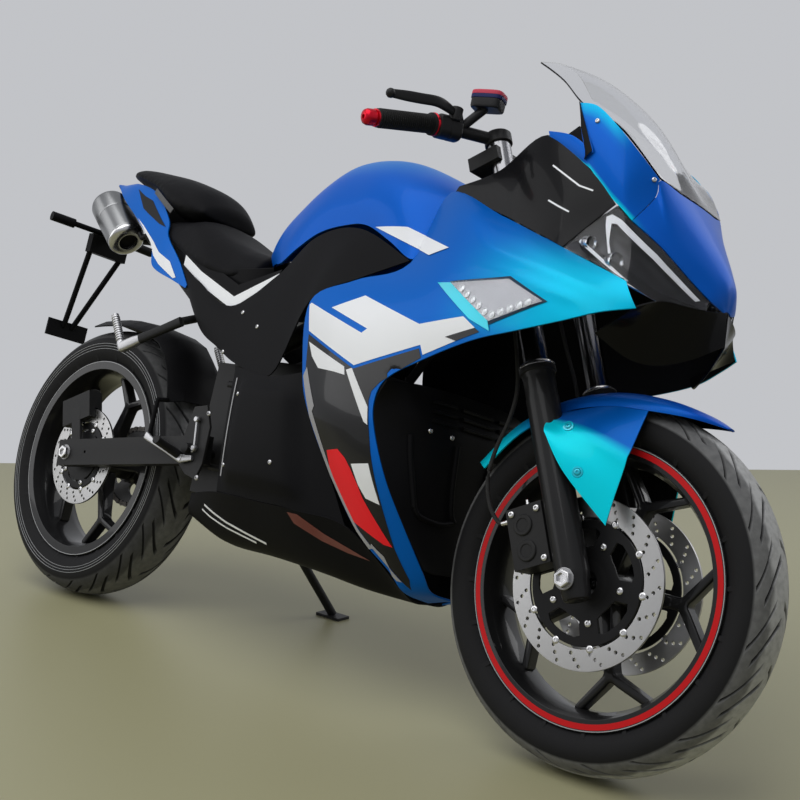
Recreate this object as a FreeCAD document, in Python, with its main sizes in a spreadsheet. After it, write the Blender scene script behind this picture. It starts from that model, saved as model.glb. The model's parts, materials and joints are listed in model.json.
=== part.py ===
import FreeCAD, Part
import math
import os
import re
import Sketcher
from FreeCAD import Placement, Rotation, Vector

# A sport bike, resting on its side stand.
# It is modelled upright: X forward from the rear contact point, Y to the left, Z up.
# One placement then leans every sub-part to the left, onto the stand.

doc = FreeCAD.newDocument("SportBike")

SIZES = {
    # stance
    "wheelbase": 1360.0,
    "rake": 25.0,
    "trail": 95.0,
    "lean": 15.0,
    "stance_lift": 3.37,
    # bodywork: the reach of the tables of shares in length, width and height
    "tank_height": 1000.0,
    "fairing_half_width": 232.0,
    "shell_wall": 3.0,
    "panel_gap": 0.8,
    # tyres and rims
    "front_tyre_radius": 292.0,
    "front_tyre_width": 110.0,
    "rear_tyre_radius": 306.0,
    "rear_tyre_width": 132.0,
    "bead_radius": 216.0,
    "tyre_wall": 9.0,
    "front_rim_width": 84.0,
    "rear_rim_width": 104.0,
    "rim_wall": 6.0,
    "rim_lip": 9.0,
    "rim_well_depth": 22.0,
    "spoke_width": 26.0,
    "spoke_depth": 30.0,
    "spoke_count": 5.0,
    "hub_radius": 34.0,
    "front_hub_width": 96.0,
    "rear_hub_width": 120.0,
    # axles
    "front_axle_radius": 8.5,
    "rear_axle_radius": 10.0,
    "bearing_gap": 0.4,
    "axle_nut_radius": 15.0,
    "axle_nut_height": 10.0,
    # brakes and drive
    "front_disc_radius": 135.0,
    "front_disc_inner": 88.0,
    "front_disc_offset": 62.6,
    "disc_thickness": 5.0,
    "carrier_thickness": 4.0,
    "carrier_arm_width": 22.0,
    "rear_disc_radius": 110.0,
    "rear_disc_inner": 68.0,
    "rear_disc_offset": 68.0,
    "caliper_width": 52.0,
    "disc_gap": 1.5,
    "sprocket_radius": 84.0,
    "sprocket_thickness": 6.0,
    "sprocket_offset": 78.0,
    "motor_sprocket_radius": 30.0,
    "motor_sprocket_reach": 575.0,
    "motor_sprocket_height": 388.0,
    "chain_height": 13.0,
    "chain_width": 14.0,
    "chain_gap": 1.0,
    # fork
    "fork_half_span": 98.0,
    "stanchion_radius": 20.5,
    "slider_radius": 27.0,
    "slider_top": 357.0,
    "seal_height": 14.0,
    "seal_rim": 3.0,
    "axle_lug_drop": 32.0,
    "axle_lug_radius": 24.0,
    "lower_clamp_height": 560.0,
    "lower_clamp_thickness": 38.0,
    "upper_clamp_height": 738.0,
    "upper_clamp_thickness": 26.0,
    "clamp_depth": 62.0,
    "clamp_overhang": 30.0,
    "stem_radius": 15.0,
    "head_tube_radius": 29.0,
    "head_gap": 5.0,
    "seat_gap": 0.3,
    # handlebars
    "bar_radius": 11.0,
    "grip_radius": 16.5,
    "grip_length": 118.0,
    "bar_end_length": 26.0,
    "bar_end_radius": 14.0,
    # frame
    "frame_tube_radius": 19.0,
    "seat_tube_radius": 11.0,
    "pivot_plate_half_span": 58.0,
    "pivot_plate_thickness": 12.0,
    "pivot_plate_length": 84.0,
    "spar_half_span": 92.0,
    "knee_height": 560.0,
    "cross_tube_radius": 12.0,
    "pivot_radius": 10.0,
    "pivot_reach": 430.0,
    "pivot_height": 370.0,
    "arm_width": 26.0,
    "arm_height": 58.0,
    "arm_half_span": 102.0,
    "spool_radius": 3.4,
    "spool_depth": 18.0,
    "spool_reach": 70.0,
    # heavy mass
    "power_length": 320.0,
    "power_width": 136.0,
    "power_height": 290.0,
    "power_rear": 545.0,
    "power_floor": 285.0,
    "mount_radius": 9.0,
    # side stand
    "stand_pivot_reach": 468.0,
    "stand_pivot_offset": 126.0,
    "stand_pivot_height": 264.0,
    "stand_angle": 47.6,
    "stand_cross_rise": 35.5,
    "stand_pin_radius": 6.0,
    "stand_leg_radius": 9.5,
    "stand_foot_length": 70.0,
    "stand_foot_width": 34.0,
    "stand_foot_thickness": 6.0,
    "stand_foot_reach": 512.0,
    "stand_foot_offset": 311.0,
    # small parts
    "cut_overrun": 1.0,
    "tank_gap": 4.0,
    "peg_radius": 9.0,
    "peg_length": 82.0,
    "hose_radius": 3.5,
    "silencer_radius": 44.0,
}

sheet = doc.addObject("Spreadsheet::Sheet", "Sizes")
for row, (name, value) in enumerate(SIZES.items(), 1):
    sheet.set("A%d" % row, name)
    sheet.set("B%d" % row, str(value))
    sheet.setAlias("B%d" % row, name)
doc.recompute()


def bound(text):
    """An expression on the sheet, from a text that names sizes."""
    return re.sub("[a-z_]+", lambda word: "Sizes." + word.group(0), text)


def worth(text):
    """The value of such a text."""
    return float(doc.getObject("Yardstick").evalExpression(bound(text)))


doc.addObject("App::FeaturePython", "Yardstick")


def size(name):
    return float(getattr(sheet, name))


LEAN = Placement(Vector(0, 0, size("stance_lift")), Rotation(Vector(1, 0, 0), -size("lean")))
SHARE_WHEELBASE = 1.36
SHARE_HALF_WIDTH = 0.232
UNIT_X = size("wheelbase") / SHARE_WHEELBASE
UNIT_Y = size("fairing_half_width") / SHARE_HALF_WIDTH
UNIT_Z = size("tank_height")
RIGHT = -1
LEFT = 1
SIDES = {"right": RIGHT, "left": LEFT}

finished = []


def keep(piece, label):
    """A finished sub-part: it gets its label and the lean."""
    piece.Label = label
    piece.Placement = LEAN.multiply(piece.Placement)
    finished.append(piece)
    return piece


def free_form(label, shape):
    """A sub-part whose form only free surfaces give."""
    piece = doc.addObject("Part::Feature", label)
    piece.Shape = shape
    return keep(piece, label)


def place(shares, side=LEFT):
    """A point from its shares of length, half width and height."""
    return Vector(shares[0] * UNIT_X, side * shares[1] * UNIT_Y, shares[2] * UNIT_Z)


# Solids from nets of points

def flat(points):
    return Part.Face(Part.makePolygon(points + [points[0]]))


def distinct(points):
    kept = []
    for point in points:
        if all((point - other).Length > 1e-6 for other in kept):
            kept.append(point)
    return kept


def quad(a, b, c, d):
    """Two triangles across four corners, or one where corners meet."""
    faces = []
    for corners in ([a, b, c], [a, c, d]):
        corners = distinct(corners)
        if len(corners) == 3:
            faces.append(flat(corners))
    return faces


def closed(faces):
    shape = Part.makeCompound(faces)
    shape.sewShape()
    solid = Part.Solid(shape.Shells[0])
    if solid.Volume < 0:
        solid.reverse()
    return solid


def shell_between(outer, inner):
    """The solid between two nets of the same size."""
    faces = []
    last_row = len(outer) - 1
    last_column = len(outer[0]) - 1
    for i in range(last_row):
        for j in range(last_column):
            faces += quad(outer[i][j], outer[i][j + 1], outer[i + 1][j + 1], outer[i + 1][j])
            faces += quad(inner[i][j], inner[i + 1][j], inner[i + 1][j + 1], inner[i][j + 1])
    for i in range(last_row):
        faces += quad(outer[i][0], outer[i + 1][0], inner[i + 1][0], inner[i][0])
        faces += quad(outer[i][last_column], inner[i][last_column],
                      inner[i + 1][last_column], outer[i + 1][last_column])
    for j in range(last_column):
        faces += quad(outer[0][j], inner[0][j], inner[0][j + 1], outer[0][j + 1])
        faces += quad(outer[last_row][j], outer[last_row][j + 1],
                      inner[last_row][j + 1], inner[last_row][j])
    return closed(faces)


def through(sections, steps):
    """More sections, on a curve through the given ones."""
    result = []
    for i in range(len(sections) - 1):
        before = sections[max(i - 1, 0)]
        after = sections[min(i + 2, len(sections) - 1)]
        for step in range(steps):
            t = step / steps
            row = []
            for p0, p1, p2, p3 in zip(before, sections[i], sections[i + 1], after):
                row.append((p1 * 2 + (p2 - p0) * t + (p0 * 2 - p1 * 5 + p2 * 4 - p3) * t ** 2
                            + (p1 * 3 - p0 - p2 * 3 + p3) * t ** 3) * 0.5)
            result.append(row)
    result.append(sections[-1])
    return result


# Every panel's wall runs from its outer face towards the core, a flat region in
# the middle plane, so walls that share a seam meet along it without crossing.
CORE_SHARES = [(0.27, 0.66), (0.50, 0.33), (0.62, 0.26), (0.94, 0.26), (1.05, 0.40),
               (1.27, 0.76), (1.17, 0.90), (0.80, 0.90), (0.45, 0.76)]
DUCT_CORE_SHARES = [(0.60, 0.24), (0.80, 0.24), (0.80, 0.56), (0.60, 0.56)]
TAIL_CORE_SHARES = [(-0.12, 0.90), (0.16, 0.74), (0.45, 0.70), (0.45, 0.80), (0.20, 0.86)]


def inward(point, core):
    """The direction from a point to the nearest place of a core region."""
    corners = [Vector(x * UNIT_X, 0, z * UNIT_Z) for x, z in core]
    flat_point = Vector(point.x, 0, point.z)
    inside = True
    nearest = None
    for i, start in enumerate(corners):
        end = corners[(i + 1) % len(corners)]
        edge = end - start
        offset = flat_point - start
        if edge.x * offset.z - edge.z * offset.x < 0:
            inside = False
        share = min(1.0, max(0.0, edge.dot(offset) / edge.dot(edge)))
        foot = start + edge * share
        if nearest is None or (foot - flat_point).Length < (nearest - flat_point).Length:
            nearest = foot
    target = flat_point if inside else nearest
    direction = target - point
    return direction.normalize()


def inset(net):
    """The net drawn in by half the gap between panels, along all four edges."""
    half_gap = size("panel_gap") / 2

    def nudge(point, neighbour):
        step = neighbour - point
        if step.Length < half_gap:
            return point
        return point + step.normalize() * half_gap

    net = [list(row) for row in net]
    for row in net:
        row[0] = nudge(row[0], row[1])
        row[-1] = nudge(row[-1], row[-2])
    net[0] = [nudge(point, other) for point, other in zip(net[0], net[1])]
    net[-1] = [nudge(point, other) for point, other in zip(net[-1], net[-2])]
    return net


def span_net(edge_a, edge_b, bulge_shares, rows, steps, side):
    """A net between two edges, its rows pushed out to the side by a bulge."""
    sections = []
    for a, b, bulge in zip(edge_a, edge_b, bulge_shares):
        row = []
        for i in range(rows + 1):
            v = i / rows
            point = [p + (q - p) * v for p, q in zip(a, b)]
            point[1] += bulge * 4 * v * (1 - v)
            row.append(place(point, side))
        sections.append(row)
    return through(sections, steps)


def thick(net, core, wall):
    outer = inset(net)
    inner = [[point + inward(point, core) * wall for point in row] for row in outer]
    return shell_between(outer, inner)


def panel(edge_a, edge_b, bulge_shares, rows, steps, side, core=CORE_SHARES):
    return thick(span_net(edge_a, edge_b, bulge_shares, rows, steps, side), core,
                 size("shell_wall"))


def mirrored_row(row):
    """A half row that starts on the middle plane, with its mirror image before it."""
    return [Vector(p.x, -p.y, p.z) for p in reversed(row[1:])] + row


def lump(sections, steps):
    """A closed body through rings of points, with flat ends."""
    rings = through(sections, steps)
    faces = []
    count = len(rings[0])
    for i in range(len(rings) - 1):
        for j in range(count):
            k = (j + 1) % count
            faces += quad(rings[i][j], rings[i][k], rings[i + 1][k], rings[i + 1][j])
    for ring in (rings[0], rings[-1]):
        middle = Vector(0, 0, 0)
        for point in ring:
            middle += point
        middle = middle / count
        for j in range(count):
            faces += quad(middle, ring[j], ring[(j + 1) % count], middle)
    return closed(faces)


def ring(x, half):
    """A ring across the bike from the half outline (width, height), top to bottom."""
    right = [place((x, w, z), RIGHT) for w, z in half]
    left = [place((x, w, z), LEFT) for w, z in reversed(half[1:-1])]
    return right + left


def clear_of(shape, others):
    """A shape less what its neighbours hold, as its largest solid."""
    for other in others:
        shape = shape.cut(other)
    return max(shape.Solids, key=lambda solid: solid.Volume)


# Turned and simple solids bound to the sheet

def origin_plane(body, role):
    return [plane for plane in body.Origin.OriginFeatures if plane.Role == role][0]


def outline_sketch(body, name, role, corners):
    """A closed outline whose corners are texts that name sizes."""
    sketch = body.newObject("Sketcher::SketchObject", name)
    sketch.AttachmentSupport = [(origin_plane(body, role), "")]
    sketch.MapMode = "FlatFace"
    places = [(worth(across), worth(up)) for across, up in corners]
    count = len(corners)
    for i in range(count):
        start = Vector(places[i][0], places[i][1], 0)
        end = Vector(places[(i + 1) % count][0], places[(i + 1) % count][1], 0)
        sketch.addGeometry(Part.LineSegment(start, end), False)
    for i in range(count):
        sketch.addConstraint(Sketcher.Constraint("Coincident", i, 2, (i + 1) % count, 1))
    for i, (across, up) in enumerate(corners):
        index = sketch.addConstraint(
            Sketcher.Constraint("DistanceX", -1, 1, i, 1, places[i][0]))
        sketch.setExpression("Constraints[%d]" % index, bound(across))
        index = sketch.addConstraint(
            Sketcher.Constraint("DistanceY", -1, 1, i, 1, places[i][1]))
        sketch.setExpression("Constraints[%d]" % index, bound(up))
    return sketch


def turned(label, corners):
    """A body turned about the Y axis; corners are (along the axis, radius)."""
    body = doc.addObject("PartDesign::Body", label)
    sketch = outline_sketch(body, label + "_outline", "YZ_Plane", corners)
    turn = body.newObject("PartDesign::Revolution", label + "_turn")
    turn.Profile = sketch
    turn.ReferenceAxis = (sketch, ["H_Axis"])
    turn.Angle = 360
    return body


def rod(radius, start, end):
    """A bound cylinder between two points."""
    piece = doc.addObject("Part::Cylinder", "Rod")
    piece.setExpression("Radius", bound(radius))
    piece.Height = (end - start).Length
    piece.Placement = Placement(start, Rotation(Vector(0, 0, 1), end - start))
    return piece


def block(length, width, height, centre, rotation=Rotation()):
    """A bound box about its centre."""
    piece = doc.addObject("Part::Box", "Block")
    piece.setExpression("Length", bound(length))
    piece.setExpression("Width", bound(width))
    piece.setExpression("Height", bound(height))
    corner = Vector(-worth(length) / 2, -worth(width) / 2, -worth(height) / 2)
    piece.Placement = Placement(centre, rotation).multiply(Placement(corner, Rotation()))
    return piece


def fused(pieces):
    joined = doc.addObject("Part::MultiFuse", "Joined")
    joined.Shapes = pieces
    return joined


def cut(base, tool):
    result = doc.addObject("Part::Cut", "Cut")
    result.Base = base
    result.Tool = tool
    return result


# The steering axis and the fork's own directions
rake = math.radians(size("rake"))
FORK_UP = Vector(-math.sin(rake), 0, math.cos(rake))
FORK_FORWARD = Vector(math.cos(rake), 0, math.sin(rake))
SIDEWAYS = Vector(0, 1, 0)
fork_offset = (size("front_tyre_radius") * math.sin(rake) - size("trail") * math.cos(rake))
front_axle = Vector(size("wheelbase"), 0, size("front_tyre_radius"))
rear_axle = Vector(0, 0, size("rear_tyre_radius"))
fork_turn = Rotation(Vector(0, 1, 0), -size("rake"))


def on_fork(up, forward, sideways):
    """A point in the fork's frame, measured from the front axle's centre."""
    return front_axle + FORK_UP * up + FORK_FORWARD * forward + SIDEWAYS * sideways


# Wheels

def tyre(label, width, radius, rim_width, centre):
    """A tyre as a hollow ring: tread, sidewalls and beads."""
    half = "%s / 2" % width
    high = "(%s - bead_radius)" % radius
    corners = [
        ("-(%s / 2 - seat_gap)" % rim_width, "bead_radius"),
        ("-(%s / 2 - seat_gap)" % rim_width, "bead_radius + rim_lip + seat_gap"),
        ("-(%s) * 0.95" % half, "bead_radius + %s * 0.30" % high),
        ("-(%s)" % half, "bead_radius + %s * 0.52" % high),
        ("-(%s) * 0.90" % half, "bead_radius + %s * 0.72" % high),
        ("-(%s) * 0.66" % half, "bead_radius + %s * 0.88" % high),
        ("-(%s) * 0.34" % half, "bead_radius + %s * 0.972" % high),
        ("-(%s) * 0.08" % half, radius),
        ("%s * 0.08" % half, radius),
        ("%s * 0.34" % half, "bead_radius + %s * 0.972" % high),
        ("%s * 0.66" % half, "bead_radius + %s * 0.88" % high),
        ("%s * 0.90" % half, "bead_radius + %s * 0.72" % high),
        (half, "bead_radius + %s * 0.52" % high),
        ("%s * 0.95" % half, "bead_radius + %s * 0.30" % high),
        ("%s / 2 - seat_gap" % rim_width, "bead_radius + rim_lip + seat_gap"),
        ("%s / 2 - seat_gap" % rim_width, "bead_radius"),
        ("%s / 2 - tyre_wall" % rim_width, "bead_radius"),
        ("%s - tyre_wall" % half, "bead_radius + %s * 0.5" % high),
        ("%s * 0.5" % half, "%s - tyre_wall * 1.6" % radius),
        ("-(%s) * 0.5" % half, "%s - tyre_wall * 1.6" % radius),
        ("-(%s) + tyre_wall" % half, "bead_radius + %s * 0.5" % high),
        ("-(%s / 2) + tyre_wall" % rim_width, "bead_radius"),
    ]
    body = turned(label, corners)
    body.Placement = Placement(centre, Rotation())
    return keep(body, label)


def rim(label, rim_width, hub_width, axle_radius, centre):
    """A cast rim: barrel with lips and well, hub, and forked spokes."""
    half = "%s / 2" % rim_width
    barrel = turned(label + "_barrel", [
        ("-(%s)" % half, "bead_radius + rim_lip"),
        ("-(%s) - rim_wall" % half, "bead_radius + rim_lip"),
        ("-(%s) - rim_wall" % half, "bead_radius - rim_wall * 2"),
        ("-(%s) * 0.5" % half, "bead_radius - rim_well_depth"),
        ("%s * 0.5" % half, "bead_radius - rim_well_depth"),
        ("%s + rim_wall" % half, "bead_radius - rim_wall * 2"),
        ("%s + rim_wall" % half, "bead_radius + rim_lip"),
        ("%s" % half, "bead_radius + rim_lip"),
        ("%s" % half, "bead_radius - seat_gap"),
        ("%s * 0.62" % half, "bead_radius - seat_gap"),
        ("%s * 0.42" % half, "bead_radius - rim_well_depth + rim_wall"),
        ("-(%s) * 0.42" % half, "bead_radius - rim_well_depth + rim_wall"),
        ("-(%s) * 0.62" % half, "bead_radius - seat_gap"),
        ("-(%s)" % half, "bead_radius - seat_gap"),
    ])
    hub = turned(label + "_hub", [
        ("-(%s) / 2" % hub_width, "%s + bearing_gap" % axle_radius),
        ("-(%s) / 2" % hub_width, "hub_radius"),
        ("%s / 2" % hub_width, "hub_radius"),
        ("%s / 2" % hub_width, "%s + bearing_gap" % axle_radius),
    ])
    spokes = doc.addObject("Part::Feature", label + "_spokes")
    spokes.Shape = spoke_star(size(rim_width))
    wheel = fused([barrel, hub, spokes])
    wheel.Placement = Placement(centre, Rotation())
    return keep(wheel, label)


def spoke_star(rim_width):
    """The spokes as one solid: each leaves the hub single and forks to the rim."""
    root = size("hub_radius") * 0.9
    tip = size("bead_radius") - size("rim_well_depth") + size("rim_wall") * 0.5
    fork_at = root + (tip - root) * 0.45
    half = size("spoke_width") / 2
    depth = size("spoke_depth")
    spread = math.radians(17)
    star = None
    for index in range(int(size("spoke_count"))):
        angle = 2 * math.pi * index / size("spoke_count")
        for turn in (-spread, spread):
            end_angle = angle + turn
            along = Vector(math.cos(angle), 0, math.sin(angle))
            across = Vector(-math.sin(angle), 0, math.cos(angle))
            end = Vector(math.cos(end_angle) * tip, 0, math.sin(end_angle) * tip)
            end_across = Vector(-math.sin(end_angle), 0, math.cos(end_angle))
            knee = along * fork_at
            points = [
                along * root - across * half * 1.15,
                knee - across * half * 0.85,
                end - end_across * half * 0.62,
                end + end_across * half * 0.62,
                knee + across * half * 0.85,
                along * root + across * half * 1.15,
            ]
            arm = flat(points).extrude(Vector(0, depth, 0))
            arm.translate(Vector(0, -depth / 2, 0))
            star = arm if star is None else star.fuse(arm)
    return star.removeSplitter()


def disc(radius, inner, offset, carrier_reach):
    """A brake disc with its carrier: a ring, a hub ring and arms."""
    thickness = size("disc_thickness")
    plate = size("carrier_thickness")
    axis = Vector(0, 1, 0)
    start = Vector(0, offset - thickness / 2, 0)
    band = Part.makeCylinder(radius, thickness, start, axis)
    band = band.cut(Part.makeCylinder(inner, thickness, start, axis))
    plate_start = Vector(0, offset - plate / 2, 0)
    hole = size("hub_radius") + size("seat_gap")
    carrier = Part.makeCylinder(carrier_reach, plate, plate_start, axis)
    arm_half = size("carrier_arm_width") / 2
    for index in range(5):
        arm = Part.makeBox(inner + thickness, plate, arm_half * 2,
                           Vector(0, offset - plate / 2, -arm_half))
        arm.rotate(Vector(0, 0, 0), axis, 360 / 5 * index)
        carrier = carrier.fuse(arm)
    carrier = carrier.cut(Part.makeCylinder(hole, plate, plate_start, axis))
    return band.fuse(carrier)


tyre("front_tyre", "front_tyre_width", "front_tyre_radius", "front_rim_width", front_axle)
tyre("rear_tyre", "rear_tyre_width", "rear_tyre_radius", "rear_rim_width", rear_axle)
rim("front_rim", "front_rim_width", "front_hub_width", "front_axle_radius", front_axle)
rim("rear_rim", "rear_rim_width", "rear_hub_width", "rear_axle_radius", rear_axle)

def hub_spacer(offset, hub_half, side, centre):
    """A collar from the hub's end out past the disc, so that the disc is carried."""
    reach = abs(offset) + size("disc_thickness") / 2 - hub_half
    start = centre + Vector(0, side * hub_half, 0)
    collar = Part.makeCylinder(size("hub_radius") + size("seat_gap") + size("rim_wall"), reach,
                               start, Vector(0, side, 0))
    bore = Part.makeCylinder(size("rear_axle_radius") * 1.6, reach, start, Vector(0, side, 0))
    return collar.cut(bore)


pair = []
for side in SIDES.values():
    plate = disc(size("front_disc_radius"), size("front_disc_inner"),
                 side * size("front_disc_offset"), size("hub_radius") + size("carrier_arm_width"))
    collar = hub_spacer(size("front_disc_offset"), size("front_hub_width") / 2, side, front_axle)
    pair.append(plate.translated(front_axle).fuse(collar))
free_form("front_discs", Part.makeCompound(pair))

rear_plate_ring = disc(size("rear_disc_radius"), size("rear_disc_inner"),
                       RIGHT * size("rear_disc_offset"), size("hub_radius") + size("rim_wall") * 2)
rear_spacer = hub_spacer(size("rear_disc_offset"), size("rear_hub_width") / 2, RIGHT, rear_axle)
free_form("rear_disc", rear_plate_ring.translated(rear_axle).fuse(rear_spacer))


def sprocket():
    """The rear sprocket, a ring with arms on the hub's left end."""
    thickness = size("sprocket_thickness")
    start = Vector(0, size("sprocket_offset") - thickness / 2, 0)
    axis = Vector(0, 1, 0)
    wheel = Part.makeCylinder(size("sprocket_radius"), thickness, start, axis)
    for index in range(5):
        window = Part.makeCylinder(size("sprocket_radius") * 0.17, thickness,
                                   start + Vector(size("sprocket_radius") * 0.66, 0, 0), axis)
        window.rotate(Vector(0, 0, 0), axis, 360 / 5 * index)
        wheel = wheel.cut(window)
    wheel = wheel.cut(Part.makeCylinder(size("rear_axle_radius") * 1.6, thickness, start, axis))
    return wheel


sprocket_collar = hub_spacer(size("sprocket_offset") - size("sprocket_thickness"),
                             size("rear_hub_width") / 2, LEFT, rear_axle)
free_form("rear_sprocket", sprocket().translated(rear_axle).fuse(sprocket_collar))

# Axles
rear_half = size("arm_half_span") + size("arm_width") / 2
axle_piece = fused([
    rod("rear_axle_radius", rear_axle - SIDEWAYS * rear_half, rear_axle + SIDEWAYS * rear_half),
    rod("axle_nut_radius", rear_axle - SIDEWAYS * rear_half,
        rear_axle - SIDEWAYS * (rear_half + size("axle_nut_height"))),
    rod("axle_nut_radius", rear_axle + SIDEWAYS * rear_half,
        rear_axle + SIDEWAYS * (rear_half + size("axle_nut_height"))),
])
keep(axle_piece, "rear_axle")
front_half = size("fork_half_span") + size("slider_radius") + size("seat_gap")
axle_piece = fused([
    rod("front_axle_radius", front_axle - SIDEWAYS * front_half,
        front_axle + SIDEWAYS * front_half),
    rod("axle_nut_radius", front_axle - SIDEWAYS * front_half,
        front_axle - SIDEWAYS * (front_half + size("axle_nut_height"))),
    rod("axle_nut_radius", front_axle + SIDEWAYS * front_half,
        front_axle + SIDEWAYS * (front_half + size("axle_nut_height"))),
])
keep(axle_piece, "front_axle")

# Fork: lug, slider with its seal, and the bright tube above it
fork_top = size("upper_clamp_height") + size("upper_clamp_thickness")


def fork_leg(name, side):
    across = side * size("fork_half_span")
    leg = fused([
        rod("slider_radius", on_fork(0, 0, across), on_fork(size("slider_top"), 0, across)),
        rod("slider_radius + seal_rim", on_fork(size("slider_top") - size("seal_height"), 0, across),
            on_fork(size("slider_top"), 0, across)),
        rod("stanchion_radius", on_fork(size("slider_top"), 0, across),
            on_fork(fork_top + size("seal_height"), 0, across)),
        rod("axle_lug_radius", on_fork(-size("axle_lug_drop"), 0, across),
            on_fork(0, 0, across)),
    ])
    hole = rod("front_axle_radius + bearing_gap / 2",
               front_axle + SIDEWAYS * (across - size("axle_lug_radius") * 2),
               front_axle + SIDEWAYS * (across + size("axle_lug_radius") * 2))
    keep(cut(leg, hole), "fork_" + name)


for name, side in SIDES.items():
    fork_leg(name, side)


def clamp(height, thickness):
    """One fork bridge, from leg to leg, bored for both tubes."""
    width = "(fork_half_span + clamp_overhang) * 2"
    middle = on_fork(height + worth(thickness) / 2, -fork_offset / 2, 0)
    plate = block("clamp_depth", width, thickness, middle, fork_turn)
    bores = []
    for side in SIDES.values():
        across = side * size("fork_half_span")
        bores.append(rod("stanchion_radius + bearing_gap / 2",
                         on_fork(height - size("cut_overrun"), 0, across),
                         on_fork(height + worth(thickness) + size("cut_overrun"), 0, across)))
    return cut(plate, fused(bores))


stem = rod("stem_radius", on_fork(size("lower_clamp_height"), -fork_offset, 0),
           on_fork(fork_top, -fork_offset, 0))
keep(fused([
    clamp(size("lower_clamp_height"), "lower_clamp_thickness"),
    clamp(size("upper_clamp_height"), "upper_clamp_thickness"),
    stem,
]), "fork_clamps")

# Handlebars: riser from the upper bridge, bar, grip and bar end
BAR_INNER_SHARES = (0.972, 0.215, 0.995)
BAR_OUTER_SHARES = (0.945, 0.345, 0.958)


def bar_root(side):
    """The foot of a handlebar, on the fork tube's end."""
    return on_fork(fork_top + size("seal_height") + size("seat_gap"), 0,
                   side * size("fork_half_span"))


def handlebar(name, side):
    inner = place(BAR_INNER_SHARES, side)
    outer = place(BAR_OUTER_SHARES, side)
    along = (outer - inner).normalize()
    root = bar_root(side)
    top = root + FORK_UP * size("bar_radius") * 2
    grip_end = inner + along * size("grip_length")
    keep(fused([
        rod("stanchion_radius", root, top),
        rod("bar_radius", top - FORK_UP * size("bar_radius"), inner),
        rod("grip_radius", inner, grip_end),
        rod("bar_end_radius", grip_end, grip_end + along * size("bar_end_length")),
    ]), "handlebar_" + name)


for name, side in SIDES.items():
    handlebar(name, side)


# Free-form bodywork. Shares are (length, half width, height).

FAIRING_INNER_SHARES = [
    (1.068, 0.004, 0.205), (1.068, 0.062, 0.213), (1.066, 0.095, 0.244), (1.042, 0.140, 0.311),
    (1.010, 0.178, 0.385), (0.979, 0.198, 0.463), (0.973, 0.206, 0.509), (0.996, 0.214, 0.548),
    (1.068, 0.222, 0.583), (1.168, 0.230, 0.622), (1.252, 0.232, 0.644), (1.324, 0.224, 0.666),
    (1.376, 0.202, 0.689), (1.418, 0.172, 0.705)]
FAIRING_OUTER_SHARES = [
    (1.030, 0.020, 0.192), (1.024, 0.085, 0.204), (1.003, 0.112, 0.235), (0.940, 0.140, 0.286),
    (0.866, 0.160, 0.373), (0.793, 0.172, 0.469), (0.754, 0.176, 0.548), (0.735, 0.178, 0.679),
    (0.837, 0.178, 0.723), (0.955, 0.174, 0.760), (0.973, 0.130, 0.903), (1.108, 0.150, 0.856),
    (1.212, 0.168, 0.816), (1.392, 0.174, 0.746)]
FAIRING_BULGE_SHARES = [0, 0.004, 0.006, 0.006, 0.008, 0.008, 0.008, 0.010,
                        0.014, 0.020, 0.030, 0.030, 0.024, 0.004]

INNER_PANEL_TOP_SHARES = [
    (0.990, 0.132, 0.913), (1.081, 0.142, 0.937), (1.176, 0.158, 0.990), (1.275, 0.160, 0.928),
    (1.330, 0.150, 0.874)]
INNER_PANEL_LOW_SHARES = [
    (0.982, 0.131, 0.901), (1.108, 0.150, 0.857), (1.150, 0.158, 0.841), (1.212, 0.168, 0.817),
    (1.262, 0.172, 0.796)]

LAMP_TOP_SHARES = [
    (1.332, 0.149, 0.872), (1.357, 0.138, 0.850), (1.400, 0.110, 0.818), (1.440, 0.068, 0.776),
    (1.464, 0.042, 0.753)]
LAMP_LOW_SHARES = [
    (1.264, 0.172, 0.795), (1.345, 0.174, 0.765), (1.392, 0.168, 0.744), (1.425, 0.125, 0.728),
    (1.462, 0.046, 0.736)]

LAMP_BULGE_SHARES = [0.004, 0.008, 0.008, 0.006, 0]

COWL_HALF_ROWS_SHARES = [
    [(1.392, 0.000, 0.918), (1.386, 0.060, 0.920), (1.372, 0.105, 0.928), (1.372, 0.108, 0.900),
     (1.357, 0.138, 0.851)],
    [(1.425, 0.000, 0.870), (1.420, 0.050, 0.866), (1.410, 0.085, 0.850), (1.405, 0.100, 0.830),
     (1.400, 0.1105, 0.8185)],
    [(1.462, 0.000, 0.815), (1.458, 0.025, 0.812), (1.452, 0.048, 0.800), (1.446, 0.060, 0.785),
     (1.4405, 0.0685, 0.7765)],
    [(1.474, 0.000, 0.785), (1.474, 0.014, 0.782), (1.471, 0.026, 0.772), (1.468, 0.035, 0.762),
     (1.4645, 0.0425, 0.7535)],
    [(1.474, 0.000, 0.748), (1.474, 0.005, 0.747), (1.474, 0.008, 0.746), (1.474, 0.010, 0.745),
     (1.473, 0.013, 0.744)],
]
WING_TOP_SHARES = [
    (1.178, 0.160, 0.996), (1.230, 0.164, 0.985), (1.277, 0.165, 0.956), (1.230, 0.164, 1.040),
    (1.265, 0.160, 1.034), (1.308, 0.150, 0.999), (1.348, 0.130, 0.958), (1.371, 0.106, 0.929)]
WING_LOW_SHARES = [
    (1.182, 0.159, 0.986), (1.225, 0.160, 0.960), (1.262, 0.160, 0.937), (1.276, 0.160, 0.928),
    (1.300, 0.156, 0.903), (1.320, 0.152, 0.883), (1.338, 0.146, 0.868), (1.354, 0.140, 0.854)]

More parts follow.
